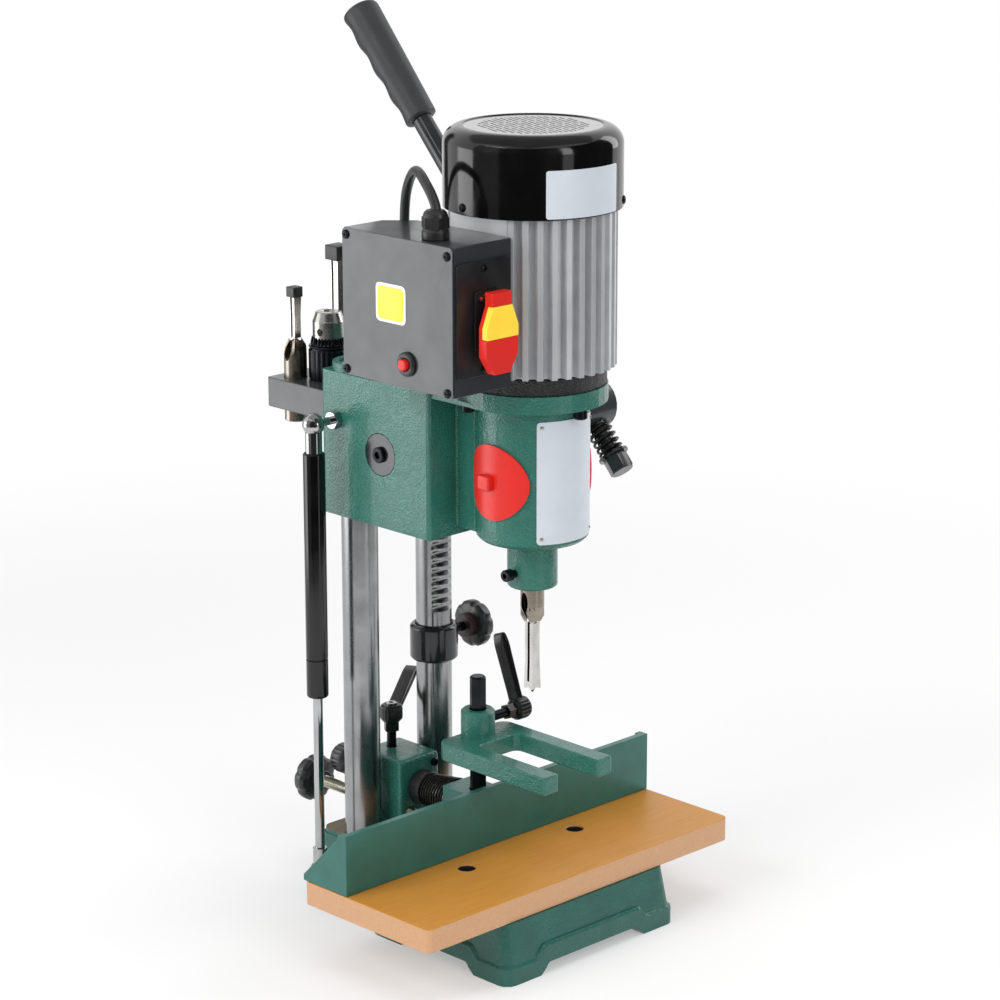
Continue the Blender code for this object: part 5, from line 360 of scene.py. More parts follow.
def coil(
    spot: Array, axes: Array, length: float, radii: tuple[float, float], wire: float, turns: float, per_turn: int = 36
) -> Shell:
    """A compression spring whose first and last turns lie nearly flat.

    The angle grows evenly. The height follows it, less a sine wave near the ends that closes the end turns.

    Args:
        spot: The middle of the first turn.
        axes: Three directions, the last of which is the spring's.
        length: Over all, along the axis.
        radii: The coil's radius to the middle of the wire, at both ends.
        wire: The wire's diameter.
        turns: How many turns.
        per_turn: Points on each.

    Returns:
        The shell.
    """
    share = np.linspace(0, 1, round(turns * per_turn) + 1)
    angle = TURN * turns * share
    flat = 0.8 / turns
    climb = np.clip((share - flat) / (1 - 2 * flat), 0, 1)
    end_rise = wire * np.clip(share / flat, 0, 1) * 1.03
    end_rise += wire * np.clip((share - 1 + flat) / flat, 0, 1) * 1.03
    height = wire / 2 + end_rise + climb * (length - wire * 3.06)
    radius = radii[0] + (radii[1] - radii[0]) * share
    path = placed(np.asarray(spot, float), axes, radius * np.cos(angle), radius * np.sin(angle), height)
    return sweep(path, wire / 2, axes[2])


def wrapped(radius: float, thickness: float, middle: float, half: Array, height: Array, columns: int = 40) -> Shell:
    """A sheet bent round an upright cylinder on the spindle axis.

    Each row is a closed ring: the outer face from one side to the other, and the inner face back.

    Args:
        radius: The cylinder's radius.
        thickness: The sheet's thickness.
        middle: The direction of the sheet's middle, in radians.
        half: Half of the angle that each row takes.
        height: The height of each row.
        columns: Points across each face.

    Returns:
        The shell.
    """
    across = np.linspace(-1, 1, columns)
    outward = middle + half[:, None] * np.concatenate((across, across[::-1]))
    reach = np.concatenate((np.full(columns, radius + thickness), np.full(columns, radius)))
    rise = height[:, None] + 0 * outward
    return stack(np.stack((reach * np.cos(outward), reach * np.sin(outward), rise), -1))


def socket_screw(radius: float, height: float, socket: float, axes: Array, spot: Array) -> Shell:
    """A screw head with a hexagonal socket, its top edge chamfered."""
    edge = radius * 0.14
    levels = [
        (0.0, radius, Section.ROUND),
        (height - edge, radius, Section.ROUND),
        (height, radius - edge, Section.ROUND),
        (height, socket, Section.HEXAGON),
        (height * 0.35, socket, Section.HEXAGON),
        (height * 0.3, socket * 0.3, Section.HEXAGON),
    ]
    return loft(levels, axes, spot, 36)


def cross_screw(radius: float, height: float, axes: Array, spot: Array) -> Shell:
    """A domed screw head with a cross recess."""
    levels = [
        (0.0, radius, Section.ROUND),
        (height * 0.3, radius, Section.ROUND),
        (height * 0.65, radius * 0.92, Section.ROUND),
        (height * 0.9, radius * 0.7, Section.ROUND),
        (height, radius * 0.56, Section.ROUND),
        (height * 0.98, radius * 0.5, Section.CROSS),
        (height * 0.3, radius * 0.3, Section.CROSS),
    ]
    return loft(levels, axes, spot, 48)


def hexagon_nut(radius: float, low: float, high: float, axes: Array, spot: Array) -> Shell:
    """A nut whose corners are turned off at both faces."""
    edge = radius * 0.12
    levels = [
        (low, radius * 0.88, Section.ROUND),
        (low + edge, radius, Section.HEXAGON),
        (high - edge, radius, Section.HEXAGON),
        (high, radius * 0.88, Section.ROUND),
    ]
    return loft(levels, axes, spot, 36)


# Materials


def linear(code: str) -> tuple[float, float, float, float]:
    """An sRGB hex colour as linear light."""
    value = np.array([int(code[i : i + 2], 16) / 255 for i in (1, 3, 5)])
    light = np.where(value <= 0.04045, value / 12.92, ((value + 0.055) / 1.055) ** 2.4)
    return (*light.tolist(), 1.0)


def add_node(tree: bpy.types.NodeTree, kind: str, links: dict[Any, Any] | None = None, **settings: Any) -> Any:
    """Add a node to a tree.

    Args:
        tree: The tree.
        kind: The node's type name.
        links: For each input by name or number, the socket it comes from or its value.
        settings: The node's own settings.

    Returns:
        The node.
    """
    node = tree.nodes.new(kind)
    for key, value in settings.items():
        setattr(node, key, value)
    for key, value in (links or {}).items():
        if isinstance(value, bpy.types.NodeSocket):
            tree.links.new(value, node.inputs[key])
        else:
            node.inputs[key].default_value = value
    return node


@dataclass(frozen=True)
class Finish:
    """A surface as it is made: its colours, its gloss, and the grain that bends its reflections."""

    name: str
    slot: str
    colour: str
    tint: str
    roughness: float
    metallic: float = 0.0
    ior: float = 1.5
    coat: float = 0.0
    patch: tuple[float, float, float] = (0.02, 0.02, 0.02)
    grain: tuple[float, float, float] = (0.002, 0.002, 0.002)
    relief: float = 0.00002
    uneven: float = 0.05

    def spread(self, tree: bpy.types.NodeTree, place: Any, size: tuple[float, float, float], detail: float = 2.0) -> Any:
        """A noise whose patches have the given size along each axis."""
        scale = tuple(1 / length for length in size)
        mapped = add_node(tree, "ShaderNodeMapping", {"Vector": place, "Scale": scale})
        noise = add_node(tree, "ShaderNodeTexNoise", {"Vector": mapped.outputs[0], "Scale": 1.0, "Detail": detail})
        return noise.outputs["Fac"]

    def base(self, tree: bpy.types.NodeTree, place: Any) -> Any:
        """The colour, patches of the tint on the main colour."""
        noise = self.spread(tree, place, self.patch)
        sharper = add_node(tree, "ShaderNodeMapRange", {"Value": noise, "From Min": 0.3, "From Max": 0.7})
        mix = add_node(
            tree,
            "ShaderNodeMix",
            {"Factor": sharper.outputs[0], 6: linear(self.colour), 7: linear(self.tint)},
            data_type="RGBA",
        )
        return mix.outputs[2]

    def bump(self, tree: bpy.types.NodeTree, place: Any) -> Any:
        """The normal, from a noise as tall as the relief."""
        noise = self.spread(tree, place, self.grain)
        links = {"Height": noise, "Distance": self.relief, "Strength": 1.0}
        return add_node(tree, "ShaderNodeBump", links).outputs[0]

    def gloss(self, tree: bpy.types.NodeTree, place: Any) -> Any:
        """The roughness, a little uneven."""
        noise = self.spread(tree, place, self.patch, 3.0)
        low, high = max(0.02, self.roughness - self.uneven), self.roughness + self.uneven
        links = {"Value": noise, "From Min": 0.3, "From Max": 0.7, "To Min": low, "To Max": high}
        return add_node(tree, "ShaderNodeMapRange", links).outputs[0]

    def material(self) -> bpy.types.Material:
        """The material, made once."""
        found = bpy.data.materials.get(self.name)
        if found:
            return found
        made = bpy.data.materials.new(self.name)
        made.use_nodes = True
        tree = made.node_tree
        shader = tree.nodes["Principled BSDF"]
        place = add_node(tree, "ShaderNodeTexCoord").outputs["Object"]
        tree.links.new(self.base(tree, place), shader.inputs["Base Color"])
        tree.links.new(self.gloss(tree, place), shader.inputs["Roughness"])
        tree.links.new(self.bump(tree, place), shader.inputs["Normal"])
        shader.inputs["Metallic"].default_value = self.metallic
        shader.inputs["IOR"].default_value = self.ior
        shader.inputs["Coat Weight"].default_value = self.coat
        shader.inputs["Coat Roughness"].default_value = 0.08
        return made


@dataclass(frozen=True)
class HammeredEnamel(Finish):
    """Gloss enamel sprayed on a rough casting: it pulls into small cells over the sand's slow waves."""

    cell: float = 0.0015
    wave: float = 0.011

    def bump(self, tree: bpy.types.NodeTree, place: Any) -> Any:
        """Cells on waves: the waves' normal goes into the cells' bump."""
        wave = self.spread(tree, place, (self.wave,) * 3, 1.0)
        waved = add_node(tree, "ShaderNodeBump", {"Height": wave, "Distance": self.relief * 2, "Strength": 1.0})
        cells = add_node(
            tree,
            "ShaderNodeTexVoronoi",
            {"Vector": place, "Scale": 1 / self.cell, "Smoothness": 0.8},
            feature="SMOOTH_F1",
        )
        links = {"Height": cells.outputs["Distance"], "Distance": self.relief, "Normal": waved.outputs[0]}
        return add_node(tree, "ShaderNodeBump", links | {"Strength": 1.0}).outputs[0]


@dataclass(frozen=True)
class ToppedFinish(Finish):
    """A finish whose level top, above one height, has another colour, such as a machined or laminated face."""

    top: float = 0.0
    top_colour: str = "#000000"
    top_tint: str = "#000000"
    top_patch: tuple[float, float, float] = (0.01, 0.01, 0.01)

    def base(self, tree: bpy.types.NodeTree, place: Any) -> Any:
        """The top's streaks of two colours above its height, and the finish's own colours below."""
        below = super().base(tree, place)
        fine = self.spread(tree, place, self.top_patch, 4.0)
        sharper = add_node(tree, "ShaderNodeMapRange", {"Value": fine, "From Min": 0.32, "From Max": 0.68})
        streaks = add_node(
            tree,
            "ShaderNodeMix",
            {"Factor": sharper.outputs[0], 6: linear(self.top_colour), 7: linear(self.top_tint)},
            data_type="RGBA",
        )
        height = add_node(tree, "ShaderNodeSeparateXYZ", {0: place}).outputs["Z"]
        above = add_node(tree, "ShaderNodeMath", {0: height, 1: self.top}, operation="GREATER_THAN")
        mix = add_node(
            tree, "ShaderNodeMix", {"Factor": above.outputs[0], 6: below, 7: streaks.outputs[2]}, data_type="RGBA"
        )
        return mix.outputs[2]


@dataclass(frozen=True)
class ToppedEnamel(ToppedFinish, HammeredEnamel):
    """Hammered enamel below a face that was milled after it was painted."""


# Alkyd hammer enamel on grey iron: wet gloss, small cells, a deep blue green
ENAMEL = HammeredEnamel("hammered_enamel", "green_enamel", "#2A6C5F", "#276558", 0.3, coat=0.25, relief=0.00050)
# Smooth enamel on the milled fence: the same colour with far less relief
FENCE_ENAMEL = HammeredEnamel("fence_enamel", "green_enamel", "#286A61", "#246056", 0.32, coat=0.1, relief=0.00003)
# The same enamel on the base, painted darker there as painted shade, whose block is milled bare on top round the
# columns and browned by oil
BASE_ENAMEL = ToppedEnamel(
    "base_enamel",
    "green_enamel",
    "#225F55",
    "#1E574E",
    0.3,
    relief=0.0002,
    top=0.0518,
    top_colour="#6E5E45",
    top_tint="#57503E",
    top_patch=(0.004, 0.0006, 0.01),
)
# Beech print on melamine over raw fibreboard edges
LAMINATE = ToppedFinish(
    "beech_laminate",
    "table_laminate",
    "#D0A27A",
    "#C4946C",
    0.42,
    patch=(0.0009, 0.0009, 0.0009),
    relief=0.00003,
    top=0.06735,
    top_colour="#CB8E3A",
    top_tint="#BD7E2C",
    top_patch=(0.035, 0.0007, 0.01),
)
# Ground and polished steel bar: mirror-like with the faintest marks along it
COLUMN_STEEL = Finish(
    "polished_bar", "polished_steel", "#A2A3A4", "#949596", 0.25, 1.0, grain=(0.0006, 0.0006, 0.03), relief=0.000004
)
# Hardened tool steel, turned and heat-tinted a warm grey
TOOL_STEEL = Finish(
    "turned_tool_steel", "turned_steel", "#A9A196", "#8D8478", 0.27, 1.0, grain=(0.01, 0.01, 0.0004), relief=0.000008
)
# The chisel: bright ground flats below, a turned and heat-tinted shank above
CHISEL_STEEL = ToppedFinish(
    "ground_and_turned_steel",
    "turned_steel",
    "#D6D5D2",
    "#C3C1BD",
    0.2,
    1.0,
    grain=(0.01, 0.01, 0.0003),
    relief=0.000006,
    top=0.264,
    top_colour="#A39B8F",
    top_tint="#8D8478",
    top_patch=(0.01, 0.01, 0.0005),
)
# The spare chisels stand on their shanks, so the bright blades are on top
SPARE_STEEL = ToppedFinish(
    "turned_and_ground_steel",
    "turned_steel",
    "#A39B8F",
    "#8D8478",
    0.26,
    1.0,
    grain=(0.01, 0.01, 0.0003),
    relief=0.000006,
    top=0.4635,
    top_colour="#D2D1CE",
    top_tint="#BEBCB8",
    top_patch=(0.01, 0.01, 0.0005),
)
# The bit's steel, painted dark: painted shade inside the chisel and its slot
SHADED_BIT_STEEL = Finish(
    "bit_steel_painted_shade", "turned_steel", "#3A3733", "#2E2B28", 0.4, 1.0, grain=(0.01, 0.01, 0.0003), relief=0.000006
)
# Zinc plate, passivated a pale straw
ZINC = Finish("zinc_plating", "zinc_plate", "#CFCBBB", "#BDB8A6", 0.30, 1.0, relief=0.000008)
# Dull nickel on the spare chuck
NICKEL = Finish("satin_nickel", "chrome", "#C9C7C3", "#B9B7B2", 0.24, 1.0, grain=(0.01, 0.01, 0.0004), relief=0.000008)
# Decorative chromium on polished steel
CHROME = Finish("chromium_plating", "chrome", "#B9BABB", "#ADAEAF", 0.10, 1.0, relief=0.000003, uneven=0.02)
# Black oxide on bar stock: dark, oily, still a metal
BLACK_OXIDE = Finish("black_oxide", "dark_steel", "#333539", "#292B2E", 0.32, 1.0, relief=0.000012)
# Spring steel, oil tempered
SPRING_STEEL = Finish("oiled_spring_steel", "dark_steel", "#2C2B2A", "#222120", 0.26, 0.7, relief=0.000008)
# Die-cast and extruded aluminium, drawn along the fins
ALUMINIUM = Finish(
    "extruded_aluminium", "cast_aluminium", "#C8CACC", "#BBBDC0", 0.34, 0.45, grain=(0.0007, 0.0007, 0.06), relief=0.00001
)
# Sand-cast end shield under matte paint
SAND_CAST = Finish(
    "sand_cast_paint", "black_texture", "#0E0F10", "#303133", 0.42, patch=(0.0013,) * 3, grain=(0.0018,) * 3, relief=0.0026
)
# Stoved gloss enamel on pressed sheet
GLOSS_BLACK = Finish("gloss_black_enamel", "black_gloss", "#060607", "#0A0A0B", 0.13, coat=0.1, grain=(0.01,) * 3)
# The same enamel where it pooled on the level grille: thicker, so it mirrors more at a low angle
GRILLE_BLACK = Finish("pooled_enamel", "black_gloss", "#060607", "#0A0A0B", 0.16, coat=1.0, grain=(0.01,) * 3)
# Satin powder coat, finely orange peeled
SATIN_BLACK = Finish(
    "satin_powder_coat", "black_satin", "#2C3034", "#272A2D", 0.36, coat=0.5, grain=(0.0007,) * 3, relief=0.000018
)
# Blacked collar, oiled and bright
COLLAR_BLACK = Finish("oiled_black_collar", "black_satin", "#1B1C1F", "#232529", 0.2, 0.35, coat=0.5, relief=0.000006)
# Glass-filled nylon straight from a sparked mould
NYLON = Finish("moulded_nylon", "black_plastic", "#1A1A1C", "#202022", 0.36, ior=1.53, grain=(0.0006,) * 3, relief=0.00003)
# The clamping levers' denser nylon, polished by hands
LEVER_NYLON = Finish("lever_nylon", "black_plastic", "#121213", "#181819", 0.26, ior=1.53, grain=(0.0008,) * 3)
# The stop knob's brown phenolic hub
BROWN_PHENOLIC = Finish("brown_phenolic", "black_plastic", "#3A2622", "#2E1F1C", 0.4, ior=1.6, grain=(0.003,) * 3)
# Phenolic knobs, shinier than the levers
PHENOLIC = Finish("moulded_phenolic", "black_plastic", "#202124", "#1A1B1D", 0.34, ior=1.6, grain=(0.003,) * 3)
# Vinyl grip dipped over the rod, matte and slightly grey with handling
GRIP = Finish("vinyl_grip", "grip_rubber", "#2E3134", "#282B2D", 0.42, grain=(0.0009,) * 3, relief=0.00003)
# Polypropylene covers and polycarbonate paddle
RED = Finish("red_moulding", "red_plastic", "#DA221A", "#D21D15", 0.34, ior=1.49, grain=(0.004,) * 3)
YELLOW = Finish("yellow_moulding", "yellow_plastic", "#FFDB42", "#FDD539", 0.3, ior=1.49, grain=(0.004,) * 3)
# Soft PVC jacket
CABLE = Finish("cable_sheath", "cable_jacket", "#242425", "#2C2C2D", 0.38, grain=(0.001,) * 3, relief=0.00002)
# Moulded polyamide fan
FAN_NYLON = Finish("fan_nylon", "fan_plastic", "#3B3B3D", "#333335", 0.5)
# Grey iron, painted thin
IRON = Finish("painted_iron", "motor_iron", "#55565A", "#48494C", 0.5, 0.3, relief=0.0001)
# Varnished laminations
VARNISH = Finish("varnished_winding", "copper_winding", "#A85A32", "#8E4A28", 0.35, 0.5, grain=(0.01, 0.01, 0.0006))
# Printed polyester with nothing on it: cool white and smooth
PALE_LABEL = Finish("blank_pale_plate", "", "#C8CFD7", "#C3CAD2", 0.35, grain=(0.01,) * 3, relief=0.000004)
WHITE_LABEL = Finish("white_border", "", "#F1F1EE", "#ECECE8", 0.35, grain=(0.01,) * 3, relief=0.000004)
YELLOW_LABEL = Finish("yellow_plate", "", "#F0DA3C", "#EBD432", 0.35, grain=(0.01,) * 3, relief=0.000004)


# Pieces


def make_object(name: str, points: Array, faces: list[list[int]]) -> bpy.types.Object:
    """A mesh object with its doubles merged and its faces turned outwards, smooth but for its creases."""
    mesh = bpy.data.meshes.new(name)
    mesh.from_pydata(points.tolist(), [], faces)
    work = bmesh.new()
    work.from_mesh(mesh)
    bmesh.ops.remove_doubles(work, verts=work.verts, dist=MERGE)
    bmesh.ops.recalc_face_normals(work, faces=work.faces)
    work.to_mesh(mesh)
    work.free()
    mesh.polygons.foreach_set("use_smooth", np.ones(len(mesh.polygons), bool))
    mesh.set_sharp_from_angle(angle=CREASE)
    made = bpy.data.objects.new(name, mesh)
    bpy.context.scene.collection.objects.link(made)
    return made


def dress(
    made: bpy.types.Object, finish: Finish, body: str | None, stands_for: Sequence[str] = (), bevel: float = 0.0
) -> bpy.types.Object:
    """Give a piece its finish, its rounded edges, the body it rides on and the nodes it stands for.

    Args:
        made: The piece.
        finish: Its finish.
        body: The body that carries it, or None for a spring that spans two, which then rides on neither.
        stands_for: The CAD nodes that it replaces.
        bevel: The width of its edges' rounding, or 0.

    Returns:
        The piece.
    """
    made.data.materials.clear()
    made.data.materials.append(finish.material())
    if bevel:
        rounding = made.modifiers.new("edges", "BEVEL")
        rounding.width = bevel
        rounding.segments = 2
        rounding.limit_method = "ANGLE"
        rounding.angle_limit = CREASE
        rounding.use_clamp_overlap = True
        rounding.miter_outer = "MITER_ARC"
        shading = made.modifiers.new("shading", "WEIGHTED_NORMAL")
        shading.keep_sharp = True
    if body:
        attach(made, body)
    if stands_for:
        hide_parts(*stands_for)
    LOG.info("%s on %s: %d faces", made.name, body, len(made.data.polygons))
    return made


def piece(
    name: str, shell: Shell, finish: Finish, body: str | None, stands_for: Sequence[str] = (), bevel: float = 0.0
) -> bpy.types.Object:
    """A piece from a shell drawn in the machine's frame."""
    return dress(make_object(name, shell.points + ROW_SHIFT, shell.faces), finish, body, stands_for, bevel)


def carved(shell: Shell, *tools: Shell) -> Shell:
    """A closed shell less others, one after another, in triangles."""
    for tool in tools:
        block, cutter = (make_object("carving", each.points, each.faces) for each in (shell, tool))
        step = block.modifiers.new("cut", "BOOLEAN")
        step.object = cutter
        step.operation = "DIFFERENCE"
        step.solver = "EXACT"
        graph = bpy.context.evaluated_depsgraph_get()
        mesh = bpy.data.meshes.new_from_object(block.evaluated_get(graph))
        work = bmesh.new()
        work.from_mesh(mesh)
        bmesh.ops.triangulate(work, faces=work.faces, quad_method="BEAUTY", ngon_method="BEAUTY")
        work.to_mesh(mesh)
        work.free()
        points = np.empty(3 * len(mesh.vertices))
        mesh.vertices.foreach_get("co", points)
        shell = Shell(points.reshape(-1, 3), [list(face.vertices) for face in mesh.polygons])
        bpy.data.objects.remove(block)
        bpy.data.objects.remove(cutter)
        bpy.data.meshes.remove(mesh)
    return shell


@dataclass
class Assembly:
    """Pieces that belong together. Each class of this kind holds its sizes, and builds and dresses its pieces."""

    nodes: dict[str, Any]

    def build(self) -> None:
        """Build every piece of the assembly."""
        raise NotImplementedError

    def casting(self, node: str, finish: Finish, body: str, bevel: float, split: bool = True) -> bpy.types.Object:
        """A piece with a CAD node's own shape, its triangles merged and flattened and its edges rounded.

        Args:
            node: The CAD node.
            finish: The piece's finish.
            body: The body that carries it.
            bevel: The width of its edges' rounding.
            split: True to cut the flat faces into triangles again, which suits all but long thin ones.

        Returns:
            The piece.
        """
        mesh = self.nodes[node].data.copy()
        made = bpy.data.objects.new(node + "_shown", mesh)
        bpy.context.scene.collection.objects.link(made)
        work = bmesh.new()
        work.from_mesh(mesh)
        bmesh.ops.remove_doubles(work, verts=work.verts, dist=MERGE * 5)
        bmesh.ops.dissolve_limit(work, angle_limit=FLATNESS, verts=work.verts, edges=work.edges)
        if split:
            bmesh.ops.triangulate(work, faces=work.faces, quad_method="BEAUTY", ngon_method="BEAUTY")
        bmesh.ops.recalc_face_normals(work, faces=work.faces)
        work.to_mesh(mesh)
        work.free()
        mesh.polygons.foreach_set("use_smooth", np.ones(len(mesh.polygons), bool))
        mesh.set_sharp_from_angle(angle=CREASE)
        return dress(made, finish, body, (node,), bevel)

    def paint(self, finishes: dict[str, Finish]) -> None:
        """Give CAD nodes that show as they are their finish."""
        for name, finish in finishes.items():
            mesh = self.nodes[name].data
            mesh.materials.clear()
            mesh.materials.append(finish.material())


def arc(middle: tuple[float, float], radius: float, start: float, end: float, steps: int = 12) -> list[Array]:
    """Points of an arc in a profile, its angles in degrees from outwards towards up."""
    angle = np.radians(np.linspace(start, end, steps + 1))
    return list(np.stack((middle[0] + radius * np.cos(angle), middle[1] + radius * np.sin(angle)), 1))


def ball(radius: float, spot: Sequence[float], axes: Array = PLAN) -> Shell:
    """A sphere."""
    return turn(arc((0.0, 0.0), radius, -90, 90, 20), axes, spot, 36)


def tube_between(radius: float, low: float, high: float, axes: Array, spot: Sequence[float], steps: int = 36) -> Shell:
    """A plain cylinder on one axis."""
    return loft([(low, radius, Section.ROUND), (high, radius, Section.ROUND)], axes, spot, steps)


def radial(degrees: float) -> Array:
    """Axes at a point of an upright cylinder: round it, up, and outwards."""
    angle = math.radians(degrees)
    sine, cosine = math.sin(angle), math.cos(angle)
    return np.array(((-sine, cosine, 0.0), (0.0, 0.0, 1.0), (cosine, sine, 0.0)))


def corner_rows(low: float, high: float, half: float, corner: float) -> tuple[Array, Array]:
    """Heights and half widths of the rows of a rectangle with round corners."""
    bend = np.linspace(0, math.pi / 2, 6)
    width = half - corner * (1 - np.sin(bend))
    rise = corner * (1 - np.cos(bend))
    return np.concatenate((low + rise, (high - rise)[::-1])), np.concatenate((width, width[::-1]))


# Base, table and columns


@dataclass
class BaseAndTable(Assembly):
    """The base casting and the board on it, held by two screws in deep holes."""

    hole_x: float = 0.0617
    hole_y: float = 0.012
    hole_floor: float = 0.056
    head_radius: float = 0.0064
    head_height: float = 0.0034
    # Sizes of the dark sleeves in the holes, which paint the shade on their walls.
    shade_liner_radius: float = 0.0074
    shade_liner_wall: float = 0.0008
    shade_liner_top: float = 0.0668

    def build(self) -> None:
        """Build the castings, the screws, and a dark sleeve on each hole's wall that is painted shade."""
        self.casting("base_casting", BASE_ENAMEL, "base", 0.0009)
        self.casting("table_board", LAMINATE, "base", 0.0004)
        for name, side in (("table_screw_left", -1), ("table_screw_right", 1)):
            spot = (side * self.hole_x, self.hole_y, self.hole_floor)
            piece(name, cross_screw(self.head_radius, self.head_height, PLAN, spot), BLACK_OXIDE, "base")
            # A dark sleeve on the hole's wall: painted shade inside the deep hole, not a real part.
            inner = self.shade_liner_radius - self.shade_liner_wall
            height = self.shade_liner_top - self.hole_floor
            section = [(inner, 0.0), (self.shade_liner_radius, 0.0), (self.shade_liner_radius, height), (inner, height)]
            shade_liner = turn(eased(section, self.shade_liner_wall / 4, closed=True), PLAN, spot, 64, looped=True)
            piece(name + "_shade_liner", shade_liner, NYLON, "base")


@dataclass
class Columns(Assembly):
    """Two ground bars. The right one has a rack milled in its front."""

    radius: float = 0.015
    apart_half: float = 0.0411
    back: float = 0.158
    foot: float = 0.006
    top: float = 0.455
    edge: float = 0.0015
    pitch: float = 0.007854
    tooth_depth: float = 0.005625
    root_half: float = 0.0009
    mouth_half: float = 0.00295
    space_height: float = 0.391
    first_space: int = -20
    last_space: int = 7

    def rack(self) -> Shell:
        """Circles one above another, each cut straight at the depth that its height has in the teeth.

        Returns:
            Points at y = max(r sin a, depth - r), where depth is the teeth's between a space's edges.
        """
        number = np.arange(self.first_space, self.last_space + 1)
        offset = np.array((-self.mouth_half, -self.root_half, self.root_half, self.mouth_half))
        teeth = (self.space_height + self.pitch * number[:, None] + offset).ravel()
        ends = ((self.foot, self.foot + self.edge), (self.top - self.edge, self.top))
        height = np.concatenate((ends[0], teeth, ends[1]))
        depth = np.pad(np.tile((0.0, self.tooth_depth, self.tooth_depth, 0.0), len(number)), 2)
        size = np.full(len(height), self.radius)
        size[[0, -1]] -= self.edge
        angle = np.linspace(0, TURN, 192, endpoint=False)
        across = size[:, None] * np.cos(angle)
        back = np.maximum(size[:, None] * np.sin(angle), (depth - self.radius)[:, None])
        spot = np.array((self.apart_half, self.back, 0.0))
        return stack(placed(spot, PLAN, across, back, height[:, None] + 0 * across))

    def build(self) -> None:
        """Build both bars."""
        levels = [
            (self.foot, self.radius - self.edge, Section.ROUND),
            (self.foot + self.edge, self.radius, Section.ROUND),
            (self.top - self.edge, self.radius, Section.ROUND),
            (self.top, self.radius - self.edge, Section.ROUND),
        ]
        plain = loft(levels, PLAN, (-self.apart_half, self.back, 0.0), 96)
        piece("plain_column", plain, COLUMN_STEEL, "base", ("column_plain",))
        piece("rack_column", self.rack(), COLUMN_STEEL, "base", ("column_rack",))


# Knobs and levers


@dataclass
class LobedKnob:
    """A clamping knob: a short hub, and a disc with seven shallow lobes and a dished face."""

    name: str
    node: str
    body: str
    axes: Array
    spot: tuple[float, float, float]
    radius: float = 0.020
    length: float = 0.020
    hub_radius: float = 0.0085
    hub_length: float = 0.007

    def build(self, *with_shells: Shell) -> None:
        """Build the knob, with any shells that are one with it."""
        disc = self.length - self.hub_length
        start, end = self.hub_length, self.length
        rim = self.radius * 0.93
        levels = [
            (0.0, self.hub_radius * 0.93, Section.ROUND),
            (0.0006, self.hub_radius, Section.ROUND),
            (start, self.hub_radius * 1.02, Section.ROUND),
            (start + disc * 0.02, self.radius * 0.82, Section.LOBES),
            (start + disc * 0.10, rim, Section.LOBES),
            (start + disc * 0.26, self.radius, Section.LOBES),
            (start + disc * 0.66, self.radius, Section.LOBES),
            (start + disc * 0.86, rim, Section.LOBES),
            (end - disc * 0.04, self.radius * 0.80, Section.LOBES),
            (end, self.radius * 0.68, Section.ROUND),
            (end - disc * 0.06, self.radius * 0.62, Section.ROUND),
            (end - disc * 0.07, self.radius * 0.40, Section.ROUND),
            (end, self.radius * 0.36, Section.ROUND),
            (end, self.radius * 0.10, Section.ROUND),
        ]
        shell = loft(levels, self.axes, self.spot, 98)
        for extra in with_shells:
            shell = shell + extra
        piece(self.name, shell, PHENOLIC, self.body, (self.node,))


